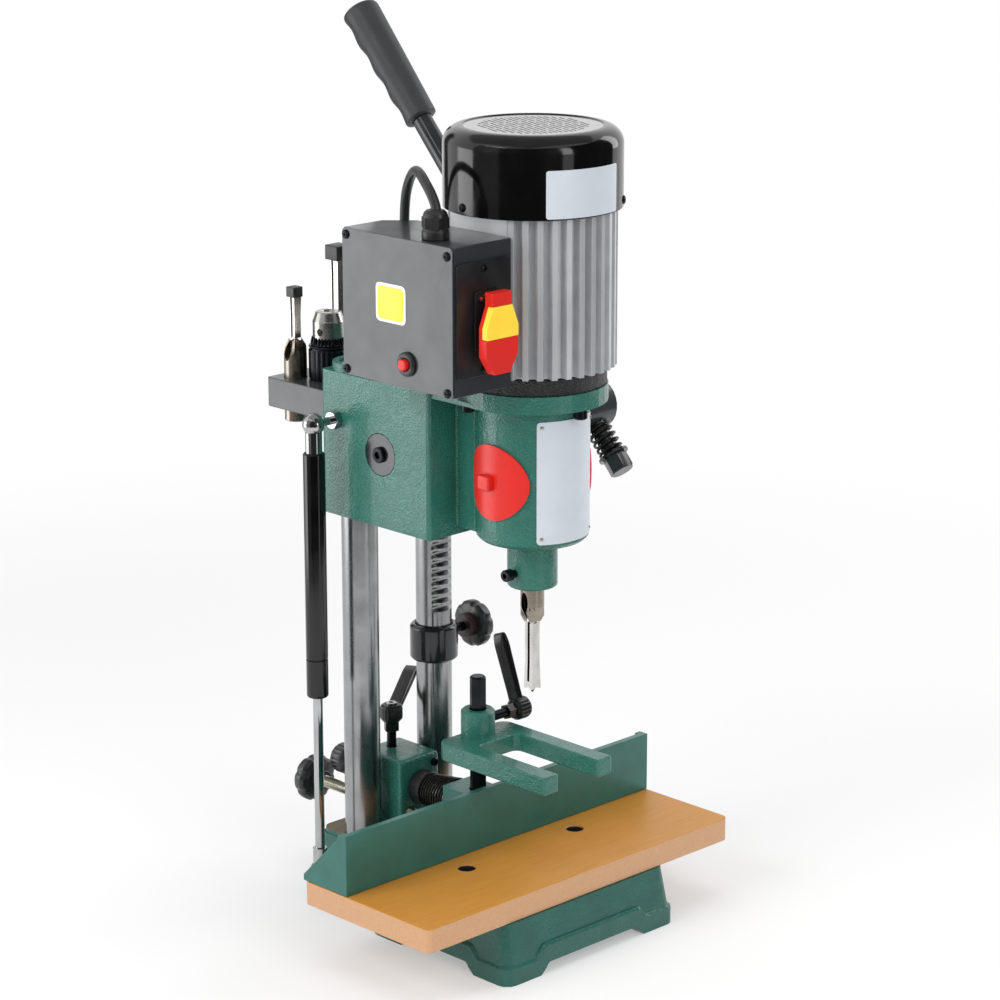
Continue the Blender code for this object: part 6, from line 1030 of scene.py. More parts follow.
@dataclass
class ClampLever:
    """A moulded indexing lever: its stud, hexagonal neck, ribbed hub and an arm with sunk sides."""

    node: str
    body: str
    spot: Array
    axis: Array
    arm: Array
    stud_length: float
    stud_radius: float = 0.004
    neck_radius: float = 0.0065
    neck_length: float = 0.008
    hub_radius: float = 0.0095
    hub_length: float = 0.022
    arm_half_width: float = 0.0052
    arm_half_height: float = 0.0045
    arm_edge: float = 0.0009
    arm_dish: float = 0.0011
    cap_radius: float = 0.0048

    def hub(self, axes: Array) -> Shell:
        """The hub, its ribs between two round shoulders, and a low dome over the screw."""
        end, size = self.hub_length, self.hub_radius
        levels = [
            (0.0, self.neck_radius, Section.HEXAGON),
            (self.neck_length, self.neck_radius, Section.HEXAGON),
            (self.neck_length, self.neck_radius * 1.08, Section.ROUND),
            (self.neck_length * 1.35, size * 0.97, Section.ROUND),
            (self.neck_length * 1.5, size, Section.KNURL),
            (end - size * 0.2, size, Section.KNURL),
            (end, size * 0.93, Section.ROUND),
            (end + size * 0.12, size * 0.76, Section.ROUND),
            (end + size * 0.12, size * 0.56, Section.ROUND),
            (end + size * 0.05, size * 0.54, Section.ROUND),
            (end + size * 0.05, size * 0.2, Section.ROUND),
        ]
        return loft(levels, axes, self.spot, 96)

    def grip(self, along: Array, side: Array, rise: Array) -> Shell:
        """The arm, a dished plate whose outline swells towards its tip."""
        length, half = float(np.linalg.norm(self.arm)), self.arm_half_height
        upper = [(length, 0.55 * half), (length * 0.86, half * 0.96), (length * 0.2, half * 0.8), (0.0, half * 0.92)]
        lower = [(a, -b) for a, b in reversed(upper)]
        outline = eased(lower + upper, half * 0.7, closed=True)
        root = self.spot + self.axis * (self.hub_length * 2 / 3)
        axes = np.stack((along, rise, side))
        return plate(outline, -self.arm_half_width, self.arm_half_width, self.arm_edge, axes, root, self.arm_dish)

    def build(self) -> None:
        """Build the moulding, the steel stud and the bright screw in the hub's end."""
        along = self.arm / np.linalg.norm(self.arm)
        side = np.cross(self.axis, along)
        side /= np.linalg.norm(side)
        rise = np.cross(along, side)
        axes = np.stack((side, np.cross(self.axis, side), self.axis))
        stud = tube_between(self.stud_radius, -self.stud_length, 0.0005, axes, self.spot)
        moulding = self.hub(axes) + self.grip(along, side, rise)
        piece(self.node + "_moulding", moulding, LEVER_NYLON, self.body, (self.node,), 0.0002)
        piece(self.node + "_stud", stud, BLACK_OXIDE, self.body)
        top = self.spot + self.axis * (self.hub_length + self.hub_radius * 0.05)
        cap = socket_screw(self.cap_radius, self.hub_radius * 0.24, self.cap_radius * 0.5, axes, top)
        piece(self.node + "_cap", cap, CHROME, self.body)


# Fence, hold-down and depth stop


@dataclass
class Fence(Assembly):
    """The fence, its guide bar and spring, the bracket between the columns, and the two controls on it."""

    bar_height: float = 0.090
    bar_radius: float = 0.009
    bar_front: float = 0.071
    bar_back: float = 0.216
    stud_radius: float = 0.004
    stud_length: float = 0.010
    bar_knob_radius: float = 0.013
    bar_knob_length: float = 0.018
    bush_radius: float = 0.0145
    bush_front: float = 0.1197
    bush_back: float = 0.1317
    spring_front: float = 0.0883
    spring_back: float = 0.1194
    spring_front_radius: float = 0.0166
    spring_back_radius: float = 0.0128
    spring_wire: float = 0.0020
    spring_turns: float = 9.0
    adjuster_x: float = -0.0115
    adjuster_height: float = 0.0685
    adjuster_radius: float = 0.005
    adjuster_front: float = 0.126
    adjuster_knob: float = 0.240
    thread_pitch: float = 0.0015
    thread_depth: float = 0.0008
    lock_back: float = 0.167
    lock_height: float = 0.130
    bolt_x: float = 0.0155
    bolt_height: float = 0.107
    bolt_radius: float = 0.0034

    def screw_thread(self) -> Shell:
        """The adjusting screw: its radius is a triangle wave of the height in pitches less the share of a turn."""
        end = self.adjuster_knob + 0.007
        per_pitch, columns = 6, 20
        rows = round((end - self.adjuster_front) / self.thread_pitch * per_pitch) + 1
        height = np.linspace(self.adjuster_front, end, rows)[:, None]
        angle = np.linspace(0, TURN, columns, endpoint=False)[None]
        phase = np.mod(height / self.thread_pitch - angle / TURN, 1.0)
        ends = np.minimum(height - self.adjuster_front, 1.0) * 1.2 + self.adjuster_radius * 0.7
        wave = self.adjuster_radius - self.thread_depth * np.abs(2 * phase - 1)
        reach = np.minimum(wave, ends)
        spot = np.array((self.adjuster_x, 0.0, self.adjuster_height))
        return stack(placed(spot, FRONT, reach * np.cos(angle), reach * np.sin(angle), height + 0 * angle))

    def bar(self) -> Shell:
        """The guide bar with its stud."""
        edge = 0.0006
        profile = [
            (0.0, self.bar_front),
            (self.bar_radius - edge, self.bar_front),
            (self.bar_radius, self.bar_front + edge),
            (self.bar_radius, self.bar_back - edge),
            (self.bar_radius - edge, self.bar_back),
            (self.stud_radius, self.bar_back),
            (self.stud_radius, self.bar_back + self.stud_length),
            (0.0, self.bar_back + self.stud_length),
        ]
        return turn(profile, FRONT, (0.0, 0.0, self.bar_height))

    def knob(self) -> Shell:
        """The fluted knob on the bar's end."""
        size, length, start = self.bar_knob_radius, self.bar_knob_length, self.bar_back + 0.0003
        levels = [
            (start, size * 0.72, Section.ROUND),
            (start + length * 0.14, size * 0.9, Section.ROUND),
            (start + length * 0.24, size, Section.KNURL),
            (start + length * 0.78, size, Section.KNURL),
            (start + length * 0.92, size * 0.86, Section.ROUND),
            (start + length * 0.985, size * 0.62, Section.ROUND),
            (start + length * 0.985, size * 0.1, Section.ROUND),
        ]
        return loft(levels, FRONT, (0.0, 0.0, self.bar_height), 96)

    def build(self) -> None:
        """Build the fence's group."""
        line = (0.0, 0.0, self.bar_height)
        self.casting("fence", FENCE_ENAMEL, "fence", 0.0005, split=False)
        piece("guide_bar", self.bar(), ZINC, "fence", ("fence_bar",))
        piece("guide_bar_knob", self.knob(), PHENOLIC, "bar_knob", ("bar_knob",))
        self.casting("fence_bracket", ENAMEL, "base", 0.0008)
        inner = self.bar_radius + 0.0003
        corners = (
            (inner, self.bush_front),
            (self.bush_radius, self.bush_front),
            (self.bush_radius, self.bush_back),
            (inner, self.bush_back),
        )
        bush = turn(eased(corners, 0.0012, closed=True), FRONT, line, 72, looped=True)
        piece("guide_bush", bush, NYLON, "base", ("bar_bush",))
        spring = coil(
            np.array((0.0, self.spring_front, self.bar_height)),
            FRONT,
            self.spring_back - self.spring_front,
            (self.spring_front_radius, self.spring_back_radius),
            self.spring_wire,
            self.spring_turns,
        )
        shown = piece("fence_coil", spring, SPRING_STEEL, None, ("fence_spring",))
        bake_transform(shown)
        piece("adjuster_thread", self.screw_thread(), ZINC, "adjuster", ("adjusting_screw",))
        place = (self.adjuster_x, self.adjuster_knob, self.adjuster_height)
        LobedKnob("adjuster_knob", "adjusting_knob", "adjuster", FRONT, place).build()
        spot = np.array((0.0, self.lock_back, self.lock_height))
        stud = self.lock_height - self.bar_height - self.bar_radius - 0.0003
        arm = np.array((0.0512, 0.0290, 0.0225))
        ClampLever("fence_lock_lever", "fence_lock", spot, PLAN[2], arm, stud).build()
        bolt = socket_screw(self.bolt_radius, 0.0026, 0.0018, FORWARD, (self.bolt_x, 0.132, self.bolt_height))
        piece("bracket_screw", bolt, BLACK_OXIDE, "base")


@dataclass
class HoldDown(Assembly):
    """The hexagonal rod on the fence, the fork that slides on it, and the lever that clamps the fork."""

    back: float = 0.0625
    foot: float = 0.076
    top: float = 0.203
    radius: float = 0.0069
    edge: float = 0.0012
    lever_x: float = 0.0315
    lever_height: float = 0.164

    def build(self) -> None:
        """Build the rod, the fork and its lever."""
        levels = [
            (self.foot, self.radius, Section.HEXAGON),
            (self.top - self.edge * 1.4, self.radius, Section.HEXAGON),
            (self.top - self.edge, self.radius * 0.95, Section.ROUND),
            (self.top, self.radius * 0.78, Section.ROUND),
        ]
        rod = loft(levels, PLAN, (0.0, self.back, 0.0), 72)
        piece("hexagon_rod", rod, BLACK_OXIDE, "fence", ("hold_down_rod",), 0.0002)
        self.casting("hold_down_fork", ENAMEL, "fork", 0.0020)
        spot = np.array((self.lever_x, self.back, self.lever_height))
        stud = self.lever_x - self.radius - 0.0003
        arm = np.array((0.0, 0.0225, 0.0600))
        ClampLever("hold_down_lever", "fork_lever", spot, PLAN[0], arm, stud).build()


@dataclass
class DepthStop(Assembly):
    """The stop collar on the rack column and the knob that clamps it."""

    column_x: float = 0.0411
    column_y: float = 0.158
    bore: float = 0.0153
    radius: float = 0.0203
    low: float = 0.187
    high: float = 0.218
    edge: float = 0.0022
    knob_x: float = 0.0745
    knob_height: float = 0.207
    screw_radius: float = 0.004
    hub_radius: float = 0.0105

    def build(self) -> None:
        """Build the collar and the knob with its screw."""
        corners = (
            (self.bore, self.low),
            (self.radius - self.edge, self.low),
            (self.radius, self.low + self.edge),
            (self.radius, self.high - self.edge),
            (self.radius - self.edge, self.high),
            (self.bore + 0.0012, self.high),
            (self.bore, self.high - 0.0018),
        )
        collar = turn(eased(corners, 0.0008, closed=True), PLAN, (self.column_x, self.column_y, 0.0), 96, looped=True)
        piece("stop_ring", collar, COLLAR_BLACK, "collar", ("stop_collar",))
        spot = (self.knob_x, self.column_y, self.knob_height)
        LobedKnob("stop_knob", "collar_knob", "collar_knob", SIDE, spot).build()
        hub = loft(
            [
                (-0.0002, self.hub_radius * 0.94, Section.ROUND),
                (0.0005, self.hub_radius, Section.ROUND),
                (0.0072, self.hub_radius, Section.ROUND),
                (0.0080, self.hub_radius * 0.96, Section.ROUND),
            ],
            SIDE,
            spot,
            64,
        )
        piece("stop_knob_hub", hub, BROWN_PHENOLIC, "collar_knob")
        start = self.column_x + 0.0153 - self.knob_x
        screw = tube_between(self.screw_radius, start, 0.001, SIDE, spot)
        piece("stop_screw", screw, BLACK_OXIDE, "collar_knob")


# Head


@dataclass
class Head(Assembly):
    """The head casting and what is fixed on it."""

    housing_radius: float = 0.0445
    weld_x: float = 0.031
    weld_y: float = 0.0322
    weld_low: float = 0.338
    weld_high: float = 0.445
    weld_radius: float = 0.0021
    weld_ripple: float = 0.0026
    front: float = 0.053
    plate_middle: float = -90.0
    plate_half: float = 41.0
    plate_low: float = 0.339
    plate_high: float = 0.437
    plate_corner: float = 0.003
    rivet_radius: float = 0.0018
    shaft_y: float = 0.10925
    shaft_height: float = 0.391
    face_x: float = 0.062
    plug_radius: float = 0.0175
    plug_depth: float = 0.0057
    plug_screw_radius: float = 0.0065
    plug_screw_height: float = 0.0033
    set_screw_height: float = 0.307
    bolt_circle: float = 0.052
    bolt_seat: float = 0.4457
    bolt_head: float = 0.0075
    bolt_radius: float = 0.003
    bolt_head_radius: float = 0.0055
    tab_width: float = 0.0125
    tab_height: float = 0.012
    tab_depth: float = 0.0057
    tab_offset: float = 0.003
    tab_rounding: float = 0.0015

    def weld(self, x: float, y: float) -> Shell:
        """A bead up a corner, its radius a cosine wave along it."""
        height = np.arange(self.weld_low, self.weld_high, self.weld_ripple / 6)
        path = np.stack((x + 0 * height, y + 0 * height, height), 1)
        share = (height - self.weld_low) / (self.weld_high - self.weld_low)
        fade = np.minimum(1.0, 12 * np.minimum(share, 1 - share) + 0.4)
        radius = self.weld_radius * fade * (1 + 0.05 * np.cos(TURN * height / self.weld_ripple))
        return sweep(path, radius, (1.0, 0.0, 0.0), 16)

    def label(self) -> None:
        """The blank plate round the front of the chuck housing, with a rivet at each corner."""
        half_width = math.radians(self.plate_half) * self.housing_radius
        height, width = corner_rows(self.plate_low, self.plate_high, half_width, self.plate_corner)
        middle = math.radians(self.plate_middle)
        sheet = wrapped(self.housing_radius + 0.0001, 0.0005, middle, width / self.housing_radius, height)
        piece("housing_plate", sheet, PALE_LABEL, "head")
        for name, side, level in (("ll", -1, 0), ("rl", 1, 0), ("lh", -1, 1), ("rh", 1, 1)):
            degrees = self.plate_middle + side * (self.plate_half - 5)
            axes = radial(degrees)
            rise = self.plate_high - 0.0045 if level else self.plate_low + 0.0045
            spot = axes[2] * (self.housing_radius + 0.0004) + np.array((0.0, 0.0, rise))
            dome = arc((0.0, -0.0006), self.rivet_radius, 20, 90, 6)
            piece(f"housing_rivet_{name}", turn([(self.rivet_radius, 0.0), *dome], axes, spot, 24), ZINC, "head")

    def cover_piece(self, side: str, sign: float) -> None:
        """A round cover bent to the housing, its plug behind it and a rounded block to pull it by."""
        radius, skin, disc, level = self.housing_radius + 0.0003, 0.0016, 0.030, 0.386
        middle = 0.0 if sign > 0 else math.pi
        shells = []
        for reach, base, thick in ((disc, radius, skin), (0.0267, self.housing_radius - 0.005, 0.0058)):
            height = reach * np.sin(np.linspace(-math.pi / 2, math.pi / 2, 49))
            half = np.sqrt(np.maximum(reach**2 - height**2, 0))
            shells.append(wrapped(base, thick, middle, np.arcsin(half / base), level + height, 48))
        across, up = -sign * self.tab_offset, self.tab_width / 2
        outline = rectangle(across - up, across + up, level - self.tab_height / 2, level + self.tab_height / 2)
        near, far = sorted((sign * (radius + skin / 2), sign * (radius + skin + self.tab_depth)))
        handle = plate(eased(outline, self.tab_rounding * 1.4, closed=True), near, far, self.tab_rounding, SIDE)
        piece(f"cover_{side}", shells[0] + handle, RED, f"cover_{side}", (f"access_cover_{side}",), 0.0003)
        piece(f"cover_{side}_plug", shells[1], RED, f"cover_{side}")

    def build(self) -> None:
        """Build the head's group."""
        self.casting("head_casting", ENAMEL, "head", 0.0011)
        for name, sign in (("left", -1.0), ("right", 1.0)):
            piece(f"weld_housing_{name}", self.weld(sign * self.weld_x, self.weld_y), ENAMEL, "head")
            piece(f"weld_box_{name}", self.weld(sign * self.weld_x, self.front), ENAMEL, "head")
            self.cover_piece(name, sign)
        self.label()
        line = (0.0, self.shaft_y, self.shaft_height)
        face = self.face_x
        disc = [
            (0.0, face - self.plug_depth),
            (self.plug_radius, face - self.plug_depth),
            (self.plug_radius, face - 0.0006),
            (self.plug_radius - 0.0006, face),
            (0.0, face),
        ]
        screw = socket_screw(self.plug_screw_radius, self.plug_screw_height, 0.0033, LEFTWARD, (-face, *line[1:]))
        piece("bore_plug", turn(disc, LEFTWARD, line), COLLAR_BLACK, "head", ("shaft_plug",))
        piece("bore_plug_screw", screw, BLACK_OXIDE, "head")
        levels = [
            (0.0098, 0.003, Section.ROUND),
            (0.0240, 0.003, Section.ROUND),
            (0.0240, 0.0046, Section.ROUND),
            (0.0246, 0.0048, Section.KNURL),
            (0.0303, 0.0048, Section.KNURL),
            (0.0310, 0.0043, Section.ROUND),
            (0.0310, 0.0024, Section.HEXAGON),
            (0.0280, 0.0024, Section.HEXAGON),
            (0.0277, 0.0008, Section.HEXAGON),
        ]
        grub = loft(levels, LEFTWARD, (0.0, 0.0, self.set_screw_height), 72)
        piece("nose_screw", grub, BLACK_OXIDE, "chisel_screw", ("chisel_screw",))
        for number, degrees in enumerate((-90, 30, 150), 1):
            angle = math.radians(degrees)
            spot = (self.bolt_circle * math.cos(angle), self.bolt_circle * math.sin(angle), self.bolt_seat)
            head = socket_screw(self.bolt_head_radius, self.bolt_head, 0.0029, DOWNWARD, spot)
            bolt = head + tube_between(self.bolt_radius, -0.0001, 0.0245, PLAN, spot)
            piece(f"motor_bolt_{number}", bolt, BLACK_OXIDE, "head", (f"flange_bolt_{number}",))


@dataclass
class FeedLever(Assembly):
    """The pinion shaft, its hub, and the arm that slides through the hub against a spring."""

    hub_x: float = 0.172
    shaft_y: float = 0.10925
    shaft_height: float = 0.391
    slope: float = 48.0
    shaft_radius: float = 0.0125
    shaft_start: float = -0.056
    shaft_end: float = 0.1615
    gear_x: float = 0.0411
    gear_half: float = 0.009
    teeth: int = 29
    module: float = 0.0025
    hub_radius: float = 0.021
    rod_radius: float = 0.009
    tail_radius: float = 0.0075
    tail: float = 0.0485
    washer: float = 0.0025
    washer_radius: float = 0.0135
    hexagon: float = 0.015
    hexagon_radius: float = 0.0110
    spring_radius: float = 0.0102
    spring_wire: float = 0.0024
    spring_turns: float = 5.0
    grip_start: float = 0.298
    grip_end: float = 0.417
    grip_low_radius: float = 0.0145
    grip_high_radius: float = 0.0170
    groove: float = 0.0024
    grooves: int = 4

    def axes(self) -> Array:
        """The arm's axes: rightwards, towards the fingers' side, and along the arm."""
        angle = math.radians(self.slope)
        sine, cosine = math.sin(angle), math.cos(angle)
        return np.array(((1.0, 0.0, 0.0), (0.0, sine, -cosine), (0.0, cosine, sine)))

    def gear(self) -> Shell:
        """The pinion: each tooth's flanks go through the widths of an involute at root, pitch and tip."""
        pressure = math.radians(20)
        pitch = self.teeth * self.module / 2
        radius = np.array((pitch - 1.25 * self.module, pitch, pitch + self.module))
        opened = np.arccos(np.minimum(pitch * math.cos(pressure) / radius, 1.0))
        half = math.pi / (2 * self.teeth) + math.tan(pressure) - pressure - np.tan(opened) + opened
        middle = TURN * np.arange(self.teeth)[:, None] / self.teeth
        angle = np.concatenate((middle - half, middle + half[::-1]), 1).ravel()
        reach = np.tile(np.concatenate((radius, radius[::-1])), self.teeth)
        outline = np.stack((reach * np.cos(angle), reach * np.sin(angle)), 1)
        spot = np.array((self.gear_x, self.shaft_y, self.shaft_height))
        return plate(outline, -self.gear_half, self.gear_half, 0.0002, SIDE, spot)

    def grip(self) -> Shell:
        """The grip, its radius less a cosine wave on the fingers' side.

        Returns:
            r = body - groove (1 - cos(2 pi n s)) / 2 max(0, sin a), with s the share of the length.
        """
        share = np.linspace(0, 1, 81)
        round_share = np.minimum(1.0, np.minimum(share / 0.02, (1 - share) / 0.045))
        body = self.grip_low_radius + (self.grip_high_radius - self.grip_low_radius) * share
        body -= 0.0035 * (1 - np.sqrt(np.maximum(0.0, 1 - (1 - round_share) ** 2)))
        angle = np.linspace(0, TURN, 64, endpoint=False)
        wave = (1 - np.cos(TURN * self.grooves * share)) / 2
        reach = body[:, None] - self.groove * wave[:, None] * np.maximum(0.0, np.sin(angle))
        height = (self.grip_start + (self.grip_end - self.grip_start) * share)[:, None] + 0 * reach
        mouth = np.full((1, 64), self.rod_radius + 0.0003)
        reach = np.concatenate((mouth, mouth, reach))
        height = np.concatenate((height[:1] + 0.006, height[:1], height))
        spot = np.array((self.hub_x, self.shaft_y, self.shaft_height))
        return stack(placed(spot, self.axes(), reach * np.cos(angle), reach * np.sin(angle), height))

    def arm(self) -> Shell:
        """The arm's rod, shoulder, thinner tail and washer."""
        shoulder, washer = -self.hub_radius + 0.002, -self.tail - self.washer
        top = self.grip_end - 0.0063
        profile = [
            (0.0, washer),
            (self.washer_radius - 0.0004, washer),
            (self.washer_radius, washer + 0.0004),
            (self.washer_radius, -self.tail - 0.0004),
            (self.washer_radius - 0.0004, -self.tail),
            (self.tail_radius, -self.tail),
            (self.tail_radius, shoulder),
            (self.rod_radius, shoulder),
            (self.rod_radius, top),
            (0.0, top),
        ]
        return turn(profile, self.axes(), (self.hub_x, self.shaft_y, self.shaft_height))

    def build(self) -> None:
        """Build the lever's group."""
        spot = np.array((self.hub_x, self.shaft_y, self.shaft_height))
        line = (0.0, self.shaft_y, self.shaft_height)
        shaft = tube_between(self.shaft_radius, self.shaft_start, self.shaft_end, SIDE, line, 64)
        piece("feed_shaft", shaft + self.gear(), TOOL_STEEL, "lever", ("pinion_shaft",))
        self.casting("lever_hub", SATIN_BLACK, "lever", 0.0005)
        piece("feed_arm", self.arm(), COLLAR_BLACK, "lever_arm", ("lever_arm",))
        low = -self.tail - self.washer - self.hexagon
        nut = hexagon_nut(self.hexagon_radius, low, low + self.hexagon + 0.0001, self.axes(), spot)
        piece("feed_arm_nut", nut, SATIN_BLACK, "lever_arm")
        tail, seat = -self.tail + 0.0003, -self.hub_radius - 0.0003
        along = self.axes()[2]
        radii = (self.spring_radius, self.spring_radius)
        spring = coil(spot + along * tail, self.axes(), seat - tail, radii, self.spring_wire, self.spring_turns)
        shown = piece("arm_coil", spring, SPRING_STEEL, None, ("lever_spring",))
        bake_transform(shown)
        piece("feed_grip", self.grip(), GRIP, "lever_arm", ("lever_grip",))


# Chisel, bit and chuck


@dataclass
class HollowChisel:
    """A square hollow chisel: a round shank, a cone, and a blade with a chip window and a slot on its left."""

    name: str
    node: str
    body: str
    spot: tuple[float, float, float]
    upwards: bool
    blade_half: float
    blade_length: float
    window: float
    flare: float = 0.0007
    flare_length: float = 0.022
    cone_length: float = 0.015
    shank_length: float = 0.055
    shank_radius: float = 0.0095
    window_half_width: float = 0.0036
    window_half_height: float = 0.0085
    slot_half: float = 0.0012
    slot_margin: float = 0.006
    finish: Finish = CHISEL_STEEL

    def build(self) -> None:
        """Turn the blank, then bore it, cut its slot and window, and countersink its edge."""
        axes = DOWNWARD if self.upwards else PLAN
        half, blade = self.blade_half, self.blade_length
        cone = blade + self.cone_length
        end = cone + self.shank_length
        levels = [
            (0.0, half + self.flare, Section.SQUARE),
            (self.flare_length, half, Section.SQUARE),
            (blade, half, Section.SQUARE),
            (blade + self.cone_length * 0.45, (half + self.shank_radius) / 2 * 0.98, Section.SQUARE),
            (cone - 0.002, self.shank_radius * 0.985, Section.ROUND),
            (cone, self.shank_radius, Section.ROUND),
            (end - 0.0008, self.shank_radius, Section.ROUND),
            (end, self.shank_radius - 0.0008, Section.ROUND),
        ]
        blank = loft(levels, axes, self.spot, 64)
        bore = half * 0.83
        round_bore = tube_between(bore, -0.001, blade + 0.002, axes, self.spot)
        shank_bore = tube_between(0.0050, blade + 0.0005, end + 0.001, axes, self.spot)
        mouth = [(0.0, -0.002), (half + self.flare + 0.003, -0.002), (0.0, half + self.flare + 0.001)]
        sign = -1.0 if self.upwards else 1.0
        level = self.spot[2]
        angle = np.linspace(0, TURN, 32, endpoint=False)
        oval = np.stack(
            (
                self.window_half_width * np.cos(angle),
                level + sign * (self.window + self.window_half_height * np.sin(angle)),
            ),
            1,
        )
        if sign < 0:
            oval = oval[::-1]
        side = np.array((self.spot[0], self.spot[1], 0.0))
        window = plate(oval, 0.0, 0.02, 0.0, LEFTWARD, side)
        ends = sorted((level + sign * self.slot_margin, level + sign * (self.window - 0.004)))
        slot = plate(rectangle(-self.slot_half, self.slot_half, *ends), 0.0, 0.02, 0.0, LEFTWARD, side)
        shell = carved(blank, round_bore, shank_bore, turn(mouth, axes, self.spot, 48), window, slot)
        piece(self.name, shell, self.finish, self.body, (self.node,), 0.0001)


@dataclass
class Cutter(Assembly):
    """The chisel, the auger bit inside it and the chuck that holds the bit."""

    bit_radius: float = 0.0030
    bit_web: float = 0.0014
    bit_tip: float = 0.2045
    bit_point: float = 0.003
    bit_pitch: float = 0.016
    twist_top: float = 0.270
    bit_top: float = 0.362

    def bit(self) -> Shell:
        """The bit: a bow-tie section turned once in each pitch, with a small point below and a shank above."""
        height = np.arange(self.bit_tip + self.bit_point, self.twist_top, 0.0006)[:, None]
        angle = np.linspace(0, TURN, 20, endpoint=False)[None]
        twist = TURN * (height - self.bit_tip) / self.bit_pitch
        reach = self.bit_web + (self.bit_radius - self.bit_web) * np.abs(np.cos(angle)) ** 1.4 + 0 * height
        point = reach[:1] * 0.25
        shank = np.full((2, 20), self.bit_radius)
        reach = np.concatenate((point, reach, shank))
        twist = np.concatenate((twist[:1], twist, twist[-1:], twist[-1:]))
        top = np.array(((self.twist_top + 0.003,), (self.bit_top,)))
        height = np.concatenate((np.array(((self.bit_tip,),)), height, top)) + 0 * reach
        return stack(placed(ORIGIN, PLAN, reach * np.cos(angle + twist), reach * np.sin(angle + twist), height))

    def build(self) -> None:
        """Build the cutter's group."""
        HollowChisel("main_chisel", "chisel", "head", (0.0, 0.0, 0.208), False, 0.0041, 0.054, 0.0725).build()
        # The bit's dark colour is painted shade inside the chisel.
        piece("twist_bit", self.bit(), SHADED_BIT_STEEL, "spindle", ("auger_bit",))
        self.casting("drill_chuck", CHROME, "spindle", 0.0004)


# Motor


@dataclass
class Motor(Assembly):
    """The motor: end bells, finned sleeve and the cap over the fan with its slotted disc and blank plate."""

    cap_radius: float = 0.0697
    cap_wall: float = 0.0016
    cap_low: float = 0.5983
    cap_top: float = 0.661
    shoulder: float = 0.0141
    grille_radius: float = 0.0536
    grille_low: float = 0.6586
    grille_high: float = 0.6602
    slot_half_length: float = 0.0011
    slot_half_width: float = 0.0008
    slot_reach: float = 0.0430
    slot_pitch: tuple[float, float] = (0.0043, 0.0024)
    slot_skew: float = -19.5
    plate_middle: float = -99.0
    plate_half: float = 28.0
    plate_low: float = 0.5995
    plate_high: float = 0.6362
    screw_radius: float = 0.0034
    screw_height: float = 0.0018
    screw_level: float = 0.604

    def cap(self) -> Shell:
        """The cap, a ring whose section turns in over a wide shoulder to the edge of the disc."""
        outer, inner, turned_in = self.cap_radius, self.cap_radius - self.cap_wall, self.cap_radius - self.shoulder
        middle = (turned_in, self.cap_top - self.shoulder)
        profile = [(inner, self.cap_low), (outer - 0.0004, self.cap_low), (outer, self.cap_low + 0.0004)]
        profile += arc(middle, self.shoulder, 0, 90, 16)
        profile += [(turned_in - 0.0008, self.cap_top), (turned_in - 0.0014, self.cap_top - 0.0004)]
        profile += [(self.grille_radius - 0.0008, self.cap_top - 0.0014), (self.grille_radius - 0.0008, self.grille_low)]
        profile += [(turned_in, self.grille_low)]
        profile += arc(middle, self.shoulder - self.cap_wall, 80, 0, 10)
        return turn(profile, PLAN, ORIGIN, 128, looped=True)

    def grille(self) -> Shell:
        """The disc, cut by lines of short round-ended slots that lie askew, with a gap at every tenth slot."""
        along, across = self.slot_pitch
        rows = np.arange(-20, 21)
        row, column = np.meshgrid(rows, rows, indexing="ij")
        kept = (row + 2 * (column % 3)) % 10 != 0
        place = np.stack((column * along, row * across), -1)[kept]
        place = place[np.hypot(*place.T) < self.slot_reach]
        end = np.linspace(-math.pi / 2, math.pi / 2, 5)
        round_end = np.stack((np.cos(end), np.sin(end)), 1) * self.slot_half_width
        straight = self.slot_half_length - self.slot_half_width
        outline = np.vstack((round_end + (straight, 0), -round_end - (straight, 0)))
        skew = math.radians(self.slot_skew)
        turned = np.array(((math.cos(skew), math.sin(skew)), (-math.sin(skew), math.cos(skew))))
        angle = np.linspace(0, TURN, 128, endpoint=False)
        edge = self.grille_radius * np.stack((np.cos(angle), np.sin(angle)), 1)
        holes = [(outline + spot) @ turned for spot in place]
        return punched(edge, holes, self.grille_low, self.grille_high)

    def build(self) -> None:
        """Build the motor's group."""
        self.paint({"motor_rotor": IRON, "motor_rear_bell": IRON, "motor_fan": FAN_NYLON, "motor_stator": VARNISH})
        self.casting("motor_end_bell", SAND_CAST, "head", 0.0010)
        self.casting("motor_housing", ALUMINIUM, "head", 0.0003)
        piece("fan_cap", self.cap(), GLOSS_BLACK, "head", ("motor_cap",))
        piece("fan_grille", self.grille(), GRILLE_BLACK, "head", (), 0.00015)
        half_width = math.radians(self.plate_half) * self.cap_radius
        height, width = corner_rows(self.plate_low, self.plate_high, half_width, 0.002)
        middle = math.radians(self.plate_middle)
        sheet = wrapped(self.cap_radius + 0.0001, 0.0004, middle, width / self.cap_radius, height)
        piece("cap_plate", sheet, PALE_LABEL, "head")
        for number, degrees in enumerate((-52, 62, 175), 1):
            axes = radial(degrees)
            spot = axes[2] * (self.cap_radius - 0.0001) + np.array((0.0, 0.0, self.screw_level))
            screw = cross_screw(self.screw_radius, self.screw_height, axes, spot)
            piece(f"cap_screw_{number}", screw, BLACK_OXIDE, "head")


# Switch box


